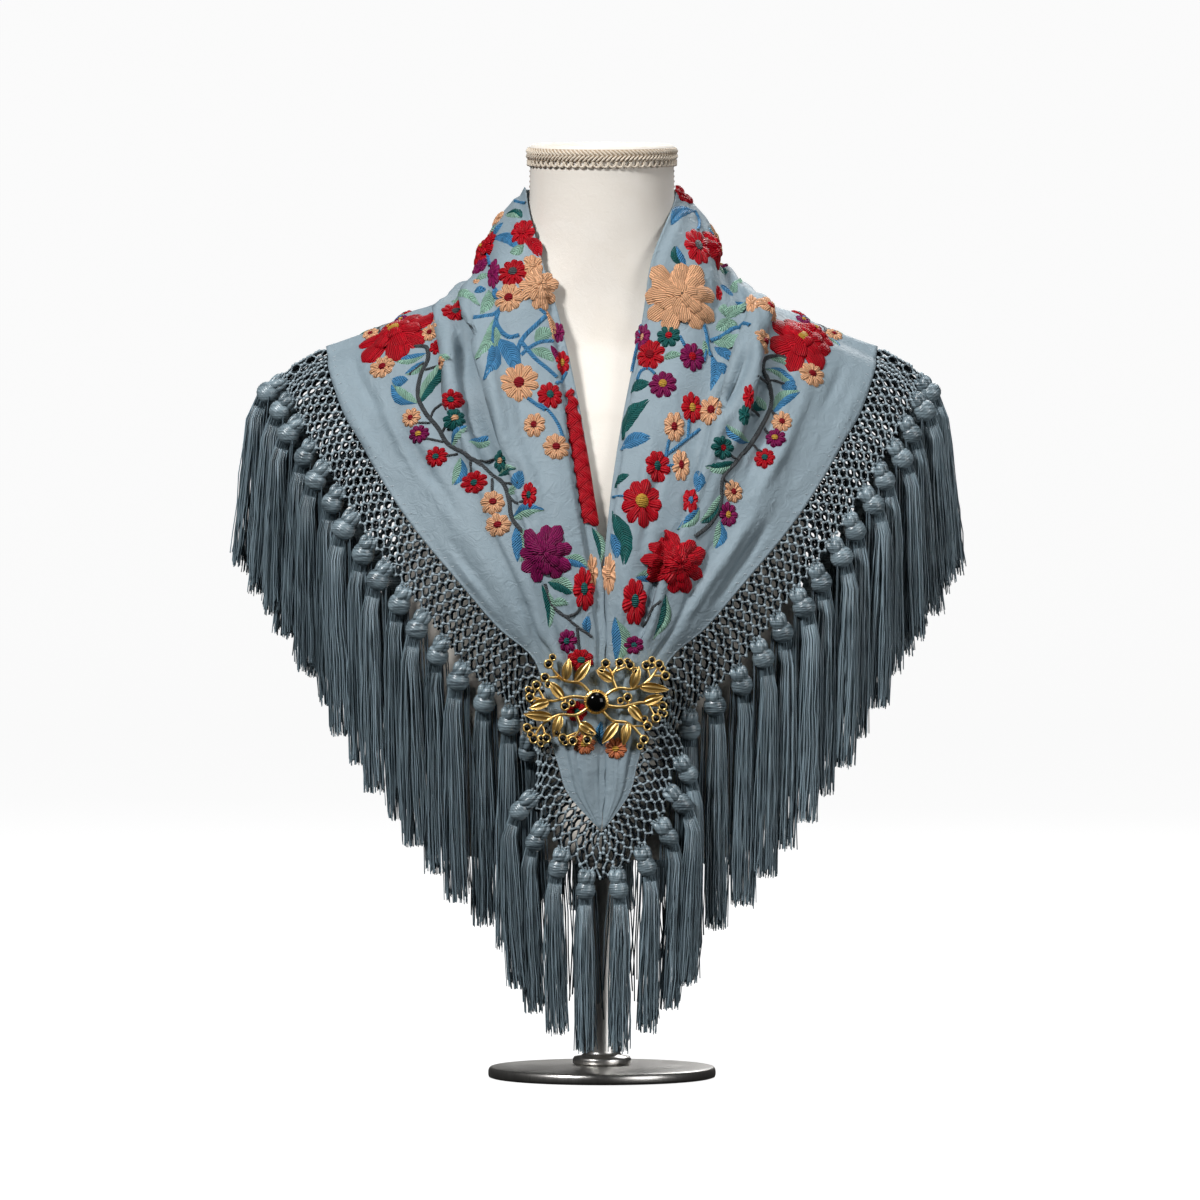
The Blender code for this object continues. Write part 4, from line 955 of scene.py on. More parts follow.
@dataclass
class Needlework:
    """Raised satin stitch: petals, leaves and stems laid on a canvas and gathered in one mesh."""

    canvas: Canvas
    sunk: float = -0.25 * MM  # the edge of every motif lies this far under the cloth's face
    petal_step: float = 0.5 * MM  # how far every other petal of a large flower lies over its neighbours
    eye_height: float = 1.1 * MM
    daisy_height: float = 2.2 * MM
    stitch: float = 2.2 * MM  # the length of a face along a stem
    builder: MeshBuilder = field(default_factory=MeshBuilder)

    def lay(self, patch: Patch, right: np.ndarray, up: np.ndarray, lift: np.ndarray, across: np.ndarray,
            along: np.ndarray, silk: Silk) -> None:
        """Adds one domed patch of thread; `across` and `along` say how its threads run, in metres."""
        laid = self.canvas.lay(patch, right, up, lift)
        self.builder.add_grid(laid, np.stack([across, along], axis=-1), silk.value, outward=patch.out)

    def dome(self, patch: Patch, radius: float, height: float, silk: Silk, base: float = 0.0,
             squash: float = 1.0) -> None:
        """A round boss, such as the middle of a daisy."""
        turns = np.linspace(0, 2 * math.pi, 13)
        rings = np.radians([90.0, 66.0, 40.0, 12.0, -6.0])
        r = radius * np.cos(rings)[:, None]
        right, up = r * np.cos(turns), r * np.sin(turns) * squash
        lift = np.broadcast_to((base + height * np.maximum(np.sin(rings), -0.4))[:, None], right.shape)
        self.lay(patch, right, up, lift, up, right, silk)

    def petal(self, patch: Patch, turn: float, length: float, width: float, height: float, silk: Silk,
              root: float = 0.12, squash: float = 1.0, base: float = 0.0, steps: int = 6, across: int = 4,
              blunt: float = 0.45) -> None:
        """One petal that leaves the middle of a patch.

        Args:
            turn: its direction, in radians.
            length: from the middle to its tip.
            width: its greatest width.
            height: its rise above the cloth.
            root: where it starts, as a share of its length.
            squash: the motif's height over its width.
            base: how far its lower edge lies above the cloth, for petals on others.
            steps: faces along it.
            across: faces across it.
            blunt: how square its end is, from 0 for a point.
        """
        s = np.sin(np.linspace(0, math.pi / 2, steps + 1))[:, None] ** 0.85
        w = np.linspace(-1, 1, across + 1)[None, :]
        shoulder = 1 - min(0.34, 0.52 * width / length)
        swell = 0.40 + 0.60 * np.sin(math.pi / 2 * np.clip(s / shoulder, 0, 1))
        end = np.clip((s - shoulder) / (1 - shoulder), 0, 1)
        rounded = np.sqrt(np.clip(1 - end ** 2.6, 0, 1))
        half = width / 2 * swell * np.maximum(rounded, blunt * (1 - 0.45 * end))
        x = length * (root + (1 - root) * s) - length * 0.05 * end * w ** 2
        y = half * w
        edge = np.sqrt(np.clip(1 - w ** 2, 0, 1)) * np.sqrt(np.clip(1 - s ** 6, 0, 1))
        lift = base + self.sunk + (height - self.sunk) * edge * (0.7 + 0.3 * np.sin(math.pi * s))
        c, d = math.cos(turn), math.sin(turn)
        right, up = x * c - y * d, (x * d + y * c) * squash
        self.lay(patch, right, up, lift, np.broadcast_to(y, x.shape), x, silk)

    def leaf(self, patch: Patch, turn: float, length: float, width: float, left: Silk, right_silk: Silk,
             height: float = 1.25 * MM, bend: float = 0.12, steps: int = 10) -> None:
        """A pointed leaf of two silks, with slanted threads and a groove along its middle."""
        s = np.linspace(0, 1, steps + 1)[:, None]
        w = np.linspace(0, 1, 4)[None, :]
        outline = np.sin(math.pi * np.clip(s, 0.02, 0.985) ** 0.85) ** 0.8
        serrated = 1 + 0.07 * (np.arange(steps + 1) % 2)[:, None] * w
        spine = bend * length * np.sin(math.pi * s)
        c, d = math.cos(turn), math.sin(turn)
        for sign, silk in ((1, left), (-1, right_silk)):
            x = (s - 0.5) * length + 0.06 * length * w
            y = spine + sign * width / 2 * outline * w * serrated
            ridge = np.sin(math.pi * np.clip(0.12 + 0.88 * w, 0, 1))
            lift = self.sunk + (height - self.sunk) * ridge * outline
            across = x * 0.77 - w * width / 2 * 0.64
            self.lay(patch, x * c - y * d, x * d + y * c, lift, across, x, silk)

    def ribbon(self, points: np.ndarray, width: float, height: float, silk: Silk,
               taper: bool = False) -> None:
        """A stem in slanted stitches along points of the cloth."""
        if len(points) < 2:
            return
        run = run_of(points)
        count = max(3, int(run[-1] / self.stitch))
        line = smooth_through(run, points, np.linspace(0, run[-1], count))
        laid = [self.canvas.near(point) for point in line]
        places = np.array([place for place, _ in laid])
        outs = unit(np.array([normal for _, normal in laid]))
        for _ in range(2):
            outs[1:-1] = unit(outs[:-2] + outs[1:-1] * 2 + outs[2:])
        sides = unit(np.cross(unit(np.gradient(places, axis=0)), outs))
        w = np.linspace(-1, 1, 5)
        narrow = np.ones(count)
        if taper:
            narrow = np.minimum(np.linspace(4.0, 0.1, count), 1.0)
        grid = places[:, None] + sides[:, None] * (w[None, :, None] * (width / 2 * narrow)[:, None, None])
        rise = self.sunk + (height - self.sunk) * np.sqrt(np.clip(1 - w ** 2, 0, 1))
        grid += outs[:, None] * rise[None, :, None]
        along = run_of(places)[:, None]
        uvs = np.stack(np.broadcast_arrays(along * 0.8 + w * width * 0.5, w * width), axis=-1)
        self.builder.add_grid(grid, uvs, silk.value, outward=outs.mean(axis=0))

    def daisy(self, patch: Patch, size: float, petals: int, silk: Silk, eye: Silk, turn: float = 0.0,
              squash: float = 1.0) -> None:
        """A flower of separate rounded petals round a boss."""
        radius = size / 2 * 1.06
        width = 2 * radius * math.sin(math.pi / petals) * 0.84
        height = min(self.daisy_height, radius * 0.27)
        for k in range(petals):
            angle = turn + 2 * math.pi * k / petals + 0.06 * math.sin(5 * k + size * 900)
            length = radius * (1 + 0.05 * math.sin(7 * k + size * 1500))
            self.petal(patch, angle, length, width, height, silk, root=0.22, squash=squash, steps=7)
        self.dome(patch, radius * 0.29, self.eye_height, eye, base=height * 0.62, squash=squash)

    def poppy(self, patch: Patch, size: float, silk: Silk, eye: Silk, turn: float = 0.0,
              squash: float = 1.0) -> None:
        """A large flower of broad petals in three rings round a small boss."""
        radius = size / 2
        for number, ring in enumerate(POPPY_RINGS):
            for k in range(ring.count):
                shift = 0.5 * (number % 2)
                angle = turn + 2 * math.pi * (k + shift) / ring.count + 0.09 * math.sin(3 * k + number)
                length = radius * ring.reach * (1 + 0.07 * math.sin(5 * k + number))
                self.petal(patch, angle, length, radius * ring.width, ring.height * MM, silk, root=0.05,
                           squash=squash, base=ring.base * MM + self.petal_step * (k % 2), steps=8, across=6,
                           blunt=0.6)
        self.dome(patch, radius * 0.15, self.eye_height, eye, base=5.0 * MM, squash=squash)

    def peony(self, patch: Patch, size: float, silk: Silk, turn: float = 0.0, squash: float = 1.0) -> None:
        """A full flower of many ruffled petals, thickest in its middle."""
        radius = size / 2
        for number, ring in enumerate(PEONY_RINGS):
            for k in range(ring.count):
                shift = 0.45 * number
                angle = turn + 2 * math.pi * (k + shift) / ring.count + 0.12 * math.sin(4 * k + 2 * number)
                length = radius * ring.reach * (1 + 0.08 * math.sin(3 * k + 2 * number))
                self.petal(patch, angle, length, radius * ring.width, ring.height * MM, silk, root=0.10,
                           squash=squash, base=ring.base * MM + self.petal_step * (k % 2), steps=7, across=6,
                           blunt=0.66)


class Flower(NamedTuple):
    """A flower at a pixel of the photograph: its kind, width and height in pixels, silks and petals."""

    kind: str
    x: float
    y: float
    width: float
    height: float
    silk: Silk
    eye: Silk
    petals: int = 8


class Leaf(NamedTuple):
    """A leaf between two pixels of the photograph, its width in pixels and its two silks."""

    root: tuple
    tip: tuple
    width: float
    left: Silk
    right: Silk


class Stem(NamedTuple):
    """A stem along pixels of the photograph, its width in pixels and its silk."""

    width: float
    silk: Silk
    line: tuple


# The silks' short names in the tables below: red, magenta, peach, teal, mint, blue, grey, garnet, yellow
# and coral.
R, M, P, T, N, B, G, D, Y, C = Silk
FRONT_FLOWERS = (
    Flower("poppy", 396, 332, 80, 54, R, Y), Flower("daisy", 383, 367, 25, 21, P, D, 9),
    Flower("daisy", 430, 333, 18, 16, P, D), Flower("daisy", 509, 298, 28, 28, P, D, 9),
    Flower("daisy", 519, 383, 37, 36, P, D, 10), Flower("daisy", 534, 425, 21, 24, P, D),
    Flower("daisy", 556, 447, 26, 25, P, D, 9), Flower("daisy", 411, 418, 18, 19, P, D, 9),
    Flower("daisy", 493, 502, 24, 23, P, D), Flower("daisy", 498, 525, 25, 23, P, D),
    Flower("daisy", 456, 312, 28, 18, R, G, 9), Flower("daisy", 513, 272, 29, 26, R, G, 10),
    Flower("daisy", 550, 395, 24, 26, R, T, 9), Flower("daisy", 451, 400, 22, 20, R, T, 8),
    Flower("daisy", 436, 457, 22, 20, R, T, 9), Flower("daisy", 475, 483, 25, 22, R, T, 9),
    Flower("daisy", 529, 495, 15, 25, R, T, 7), Flower("daisy", 522, 232, 24, 26, R, R, 8),
    Flower("daisy", 433, 298, 28, 20, R, R, 8), Flower("daisy", 455, 418, 22, 18, T, P, 8),
    Flower("daisy", 501, 461, 16, 22, T, P, 7), Flower("daisy", 419, 434, 20, 18, M, Y, 9),
    Flower("daisy", 480, 267, 16, 16, M, M, 7), Flower("daisy", 493, 273, 13, 28, M, M, 7),
    Flower("daisy", 481, 251, 15, 12, M, M, 7), Flower("daisy", 467, 266, 15, 11, M, M, 7),
    Flower("peony", 539, 288, 40, 46, P, P), Flower("daisy", 533, 266, 20, 22, P, P, 7),
    Flower("peony", 545, 553, 56, 60, M, M), Flower("daisy", 584, 589, 22, 42, R, T, 8),
    Flower("daisy", 592, 571, 11, 32, P, P, 7), Flower("daisy", 567, 641, 18, 23, M, T, 8),
    Flower("daisy", 581, 660, 26, 22, R, T, 8), Flower("daisy", 558, 333, 12, 20, M, M, 7),
    Flower("daisy", 562, 363, 15, 24, R, Y, 7), Flower("daisy", 437, 347, 14, 14, R, R, 7),
    Flower("daisy", 441, 364, 11, 12, P, D, 7), Flower("daisy", 431, 315, 10, 14, R, R, 7),
    Flower("poppy", 801, 340, 66, 56, R, Y), Flower("daisy", 765, 341, 18, 18, P, D, 8),
    Flower("daisy", 812, 374, 25, 23, P, D, 9), Flower("daisy", 674, 427, 20, 30, P, D, 8),
    Flower("daisy", 711, 410, 23, 28, P, D, 9), Flower("daisy", 681, 465, 17, 31, P, D, 8),
    Flower("daisy", 782, 422, 20, 20, P, D, 9), Flower("daisy", 733, 492, 18, 22, P, D, 8),
    Flower("peony", 681, 297, 76, 76, P, P), Flower("daisy", 698, 246, 26, 34, R, G, 9),
    Flower("daisy", 650, 355, 28, 29, R, D, 9), Flower("daisy", 692, 408, 20, 30, R, Y, 8),
    Flower("daisy", 657, 466, 24, 31, R, T, 8), Flower("daisy", 765, 458, 20, 19, R, T, 8),
    Flower("daisy", 749, 397, 11, 24, R, R, 7), Flower("daisy", 642, 501, 38, 46, R, Y, 9),
    Flower("daisy", 643, 338, 16, 26, M, P, 8), Flower("daisy", 692, 357, 24, 28, M, R, 9),
    Flower("daisy", 663, 384, 27, 26, M, Y, 9), Flower("daisy", 775, 438, 20, 18, M, Y, 8),
    Flower("daisy", 728, 515, 18, 24, M, Y, 8), Flower("daisy", 669, 336, 23, 22, T, R, 8),
    Flower("daisy", 722, 448, 22, 23, T, R, 8), Flower("daisy", 745, 415, 12, 20, T, T, 7),
    Flower("peony", 677, 563, 56, 62, R, R), Flower("daisy", 635, 601, 24, 46, R, T, 8),
    Flower("daisy", 609, 574, 14, 40, P, P, 8), Flower("daisy", 634, 645, 20, 18, M, T, 7),
    Flower("daisy", 584, 744, 22, 21, C, Y, 9), Flower("daisy", 616, 749, 21, 21, C, Y, 9),
    Flower("daisy", 577, 711, 20, 20, R, T, 7), Flower("daisy", 691, 500, 13, 26, R, B, 7),
    Flower("daisy", 770, 306, 24, 14, P, R, 8), Flower("daisy", 683, 196, 18, 16, R, R, 7),
    Flower("daisy", 718, 293, 6, 16, R, R, 5), Flower("daisy", 752, 303, 12, 18, P, P, 6),
    Flower("daisy", 720, 255, 10, 12, R, R, 6), Flower("daisy", 498, 219, 12, 12, P, P, 6),
)
FRONT_LEAVES = (
    Leaf((426, 353), (394, 359), 12, N, B), Leaf((424, 361), (405, 374), 11, N, B),
    Leaf((408, 380), (392, 379), 13, B, B), Leaf((417, 403), (392, 383), 16, B, N),
    Leaf((422, 408), (451, 360), 16, N, T), Leaf((449, 446), (466, 427), 12, B, N),
    Leaf((463, 454), (498, 438), 12, B, N), Leaf((461, 458), (453, 485), 15, B, N),
    Leaf((499, 476), (516, 469), 10, N, T), Leaf((518, 490), (522, 471), 16, B, B),
    Leaf((508, 494), (518, 489), 9, N, N), Leaf((511, 518), (541, 510), 14, B, N),
    Leaf((517, 526), (518, 562), 20, N, B), Leaf((434, 366), (448, 358), 9, N, N),
    Leaf((548, 582), (573, 593), 15, N, T), Leaf((551, 604), (568, 604), 9, N, N),
    Leaf((542, 585), (548, 626), 10, N, T), Leaf((562, 559), (588, 568), 13, N, B),
    Leaf((588, 634), (589, 616), 9, B, B), Leaf((592, 527), (600, 560), 9, N, T),
    Leaf((496, 316), (476, 355), 16, N, N), Leaf((493, 337), (484, 375), 14, B, B),
    Leaf((496, 337), (513, 370), 17, B, B), Leaf((493, 237), (502, 222), 13, B, B),
    Leaf((493, 237), (514, 247), 13, B, B), Leaf((494, 236), (487, 228), 9, B, B),
    Leaf((524, 245), (510, 253), 14, N, N), Leaf((522, 236), (539, 257), 13, R, R),
    Leaf((505, 214), (519, 217), 12, T, N), Leaf((516, 216), (510, 203), 11, T, T),
    Leaf((489, 290), (481, 314), 14, N, N), Leaf((475, 280), (488, 274), 12, N, N),
    Leaf((474, 292), (486, 289), 9, B, B), Leaf((474, 284), (480, 279), 8, P, P),
    Leaf((447, 292), (470, 284), 16, B, B), Leaf((450, 281), (465, 278), 9, T, T),
    Leaf((448, 297), (470, 296), 11, N, N), Leaf((535, 340), (554, 332), 15, N, N),
    Leaf((531, 349), (554, 361), 13, N, N), Leaf((546, 309), (553, 340), 10, P, P),
    Leaf((551, 345), (557, 362), 8, M, M), Leaf((502, 300), (494, 286), 9, B, B),
    Leaf((685, 268), (676, 246), 15, T, B), Leaf((621, 439), (649, 399), 15, T, T),
    Leaf((620, 449), (650, 437), 16, B, B), Leaf((662, 359), (682, 355), 9, N, N),
    Leaf((630, 392), (649, 382), 13, T, T), Leaf((626, 421), (640, 402), 12, T, T),
    Leaf((613, 487), (628, 474), 9, T, T), Leaf((612, 511), (622, 564), 17, T, T),
    Leaf((611, 533), (616, 558), 12, B, B), Leaf((636, 577), (656, 580), 12, N, B),
    Leaf((666, 594), (654, 636), 11, N, T), Leaf((615, 617), (616, 662), 18, N, B),
    Leaf((766, 369), (795, 384), 12, B, N), Leaf((770, 359), (796, 368), 8, N, N),
    Leaf((781, 386), (797, 388), 14, B, B), Leaf((773, 411), (800, 391), 15, N, B),
    Leaf((767, 420), (753, 387), 15, T, N), Leaf((753, 442), (728, 424), 12, B, N),
    Leaf((735, 462), (706, 466), 12, N, T), Leaf((722, 494), (700, 522), 13, T, N),
    Leaf((720, 520), (714, 548), 13, B, N), Leaf((700, 506), (679, 527), 12, N, B),
    Leaf((697, 470), (697, 490), 11, B, B), Leaf((710, 344), (742, 343), 19, N, N),
    Leaf((727, 318), (725, 304), 12, N, N), Leaf((727, 318), (745, 308), 13, N, N),
    Leaf((728, 318), (716, 329), 13, N, N), Leaf((729, 318), (733, 330), 10, N, N),
    Leaf((734, 306), (746, 304), 7, B, B), Leaf((712, 354), (710, 388), 10, B, B),
    Leaf((714, 350), (731, 358), 12, B, B), Leaf((716, 362), (722, 374), 11, B, B),
    Leaf((719, 284), (726, 254), 16, B, B), Leaf((720, 285), (733, 296), 13, B, B),
    Leaf((718, 279), (733, 266), 13, B, B), Leaf((728, 288), (745, 284), 10, N, N),
    Leaf((704, 340), (704, 356), 8, N, N), Leaf((706, 234), (709, 250), 11, T, N),
    Leaf((673, 221), (695, 210), 14, B, B), Leaf((602, 746), (602, 722), 9, B, B),
    Leaf((716, 246), (720, 262), 9, B, B),
)
FRONT_STEMS = (
    Stem(5.0, G, ((414, 346), (426, 347), (428, 358), (421, 374), (418, 396), (425, 412), (438, 428),
                  (447, 443), (466, 455), (487, 470), (503, 483), (509, 500), (512, 518), (526, 536))),
    Stem(3.2, G, ((409, 375), (424, 363))), Stem(3.2, G, ((425, 370), (432, 368), (439, 366))),
    Stem(3.2, G, ((419, 423), (430, 423))), Stem(3.2, G, ((424, 438), (434, 440), (443, 442))),
    Stem(3.2, G, ((430, 420), (434, 410), (442, 404))), Stem(3.2, G, ((442, 433), (446, 426), (453, 422))),
    Stem(3.2, G, ((445, 456), (458, 454))), Stem(3.2, G, ((471, 459), (471, 474))),
    Stem(3.2, G, ((477, 461), (495, 459))), Stem(3.2, G, ((492, 479), (492, 492))),
    Stem(3.2, G, ((503, 483), (518, 483))), Stem(3.2, G, ((508, 495), (516, 503), (524, 501))),
    Stem(3.4, G, ((545, 584), (553, 606), (565, 616), (578, 612), (581, 604))),
    Stem(3.4, G, ((558, 611), (578, 627), (592, 637))), Stem(3.4, G, ((577, 626), (579, 650))),
    Stem(5.2, B, ((473, 317), (484, 316), (497, 312), (502, 306))),
    Stem(5.4, B, ((499, 310), (496, 320), (501, 331), (510, 337), (519, 335))),
    Stem(5.0, B, ((496, 320), (492, 332), (493, 344))),
    Stem(5.4, B, ((546, 316), (535, 326), (524, 337), (518, 349), (519, 365))),
    Stem(4.6, B, ((553, 341), (540, 342), (529, 348), (521, 355))),
    Stem(5.0, B, ((520, 340), (528, 350), (537, 360), (547, 368), (557, 377))),
    Stem(4.4, B, ((491, 237), (488, 246), (488, 256), (490, 266))),
    Stem(4.0, B, ((499, 213), (506, 206), (515, 201), (526, 203))),
    Stem(4.0, B, ((540, 309), (546, 314))), Stem(4.4, B, ((528, 398), (536, 404), (545, 410))),
    Stem(3.8, B, ((540, 404), (548, 410), (558, 424), (564, 440))),
    Stem(4.2, B, ((566, 372), (562, 380), (556, 384))),
    Stem(5.0, G, ((793, 361), (777, 356), (765, 359), (763, 368), (769, 383), (771, 406), (763, 424),
                  (753, 441), (737, 461), (723, 478), (721, 503), (711, 523), (695, 537))),
    Stem(3.2, G, ((758, 376), (769, 381), (784, 384))),
    Stem(3.2, G, ((770, 408), (778, 416))), Stem(3.2, G, ((764, 428), (770, 434))),
    Stem(3.2, G, ((752, 444), (762, 452))), Stem(3.2, G, ((752, 404), (760, 416))),
    Stem(3.2, G, ((738, 460), (728, 454))), Stem(3.2, G, ((724, 480), (732, 486))),
    Stem(3.4, G, ((661, 601), (652, 609), (642, 627))),
    Stem(3.6, B, ((680, 336), (685, 346))), Stem(3.6, B, ((655, 374), (648, 368), (641, 371), (637, 380))),
    Stem(3.6, B, ((628, 362), (632, 372))), Stem(4.4, B, ((704, 325), (707, 337), (708, 348), (711, 356))),
    Stem(5.2, B, ((710, 341), (722, 336), (734, 328), (743, 323), (750, 326))),
    Stem(3.8, B, ((700, 429), (683, 442), (665, 457))), Stem(3.4, B, ((669, 440), (666, 455))),
    Stem(3.4, B, ((689, 420), (688, 437))), Stem(3.4, B, ((667, 466), (674, 465))),
    Stem(3.0, B, ((612, 497), (624, 496))), Stem(4.0, B, ((695, 211), (699, 220), (698, 230))),
    Stem(3.4, B, ((706, 350), (704, 362))),
)
# The padded inner band of the left front: pads laid to and fro across a line of pixels.
BAND_LINE = ((571, 389), (572, 408), (575, 428), (579, 450), (583, 474), (587, 500), (591, 523))


class SprayPart(NamedTuple):
    """A flower or leaf of a spray, at mm to the right and up from its foot."""

    kind: str
    x: float
    y: float
    size: float
    silk: Silk
    other: Silk
    turn: float = 0.0


# Two sprays like those of the front, for the back and the shoulders: a stem, then flowers and leaves.
SPRAYS = (
    (
        ((0, -42), (6, -24), (2, -6), (-8, 10), (-6, 28), (2, 40)),
        (
            SprayPart("poppy", 2, 46, 44, R, Y), SprayPart("daisy", -17, 17, 17, P, D),
            SprayPart("daisy", 15, 18, 15, M, Y), SprayPart("daisy", 20, -4, 16, R, T),
            SprayPart("daisy", -15, -8, 15, T, R), SprayPart("daisy", 12, -34, 16, P, D),
            SprayPart("daisy", -11, -32, 14, M, P), SprayPart("leaf", -19, 34, 19, B, N, 2.4),
            SprayPart("leaf", 19, 32, 18, T, N, 0.7), SprayPart("leaf", 15, 7, 15, N, B, 0.4),
            SprayPart("leaf", -20, 4, 16, T, N, 2.8), SprayPart("leaf", 17, -18, 15, B, N, -0.5),
            SprayPart("leaf", -13, -20, 15, N, T, 3.6),
        ),
    ),
    (
        ((-4, -44), (-8, -26), (2, -10), (10, 8), (4, 26), (-2, 36)),
        (
            SprayPart("peony", -3, 42, 46, P, P), SprayPart("daisy", 23, 16, 19, R, Y),
            SprayPart("daisy", -12, 12, 16, T, P), SprayPart("daisy", -21, -12, 17, R, T),
            SprayPart("daisy", 15, -12, 15, P, D), SprayPart("daisy", -1, -48, 16, M, Y),
            SprayPart("daisy", -20, -36, 14, P, D), SprayPart("leaf", 22, 32, 19, B, N, 0.6),
            SprayPart("leaf", -24, 28, 18, T, N, 2.5), SprayPart("leaf", -4, 0, 16, N, B, 2.6),
            SprayPart("leaf", 9, -28, 15, T, N, -0.7), SprayPart("leaf", -14, -22, 14, B, N, 3.4),
        ),
    ),
)


class SprayPlace(NamedTuple):
    """A spray's place on the cloth: position, share, which spray, turn, size and if it is mirrored."""

    t: float
    share: float
    design: int
    turn: float
    scale: float
    mirrored: bool


SPRAY_PLACES = (
    SprayPlace(0.0, 0.62, 1, 0.0, 1.15, False),
    SprayPlace(-0.95, 0.54, 0, 0.25, 1.0, True),
    SprayPlace(0.95, 0.54, 0, -0.25, 1.0, False),
    SprayPlace(-1.15, 0.80, 1, 0.5, 1.0, True),
    SprayPlace(1.15, 0.80, 1, -0.5, 1.0, False),
    SprayPlace(-2.05, 0.62, 0, 0.7, 0.95, False),
    SprayPlace(2.05, 0.62, 0, -0.7, 0.95, True),
    SprayPlace(-2.95, 0.72, 1, 1.0, 0.85, False),
    SprayPlace(2.95, 0.72, 1, -1.0, 0.85, True),
    SprayPlace(-4.1, 0.76, 0, 1.6, 0.75, True),
    SprayPlace(4.1, 0.76, 0, -1.6, 0.75, False),
    SprayPlace(0.0, 0.19, 0, 1.5, 0.9, False),
    SprayPlace(-1.9, 0.20, 1, 1.3, 0.8, True),
    SprayPlace(1.9, 0.20, 1, -1.3, 0.8, False),
    SprayPlace(-3.4, 0.28, 0, 1.4, 0.7, False),
    SprayPlace(3.4, 0.28, 0, -1.4, 0.7, True),
)


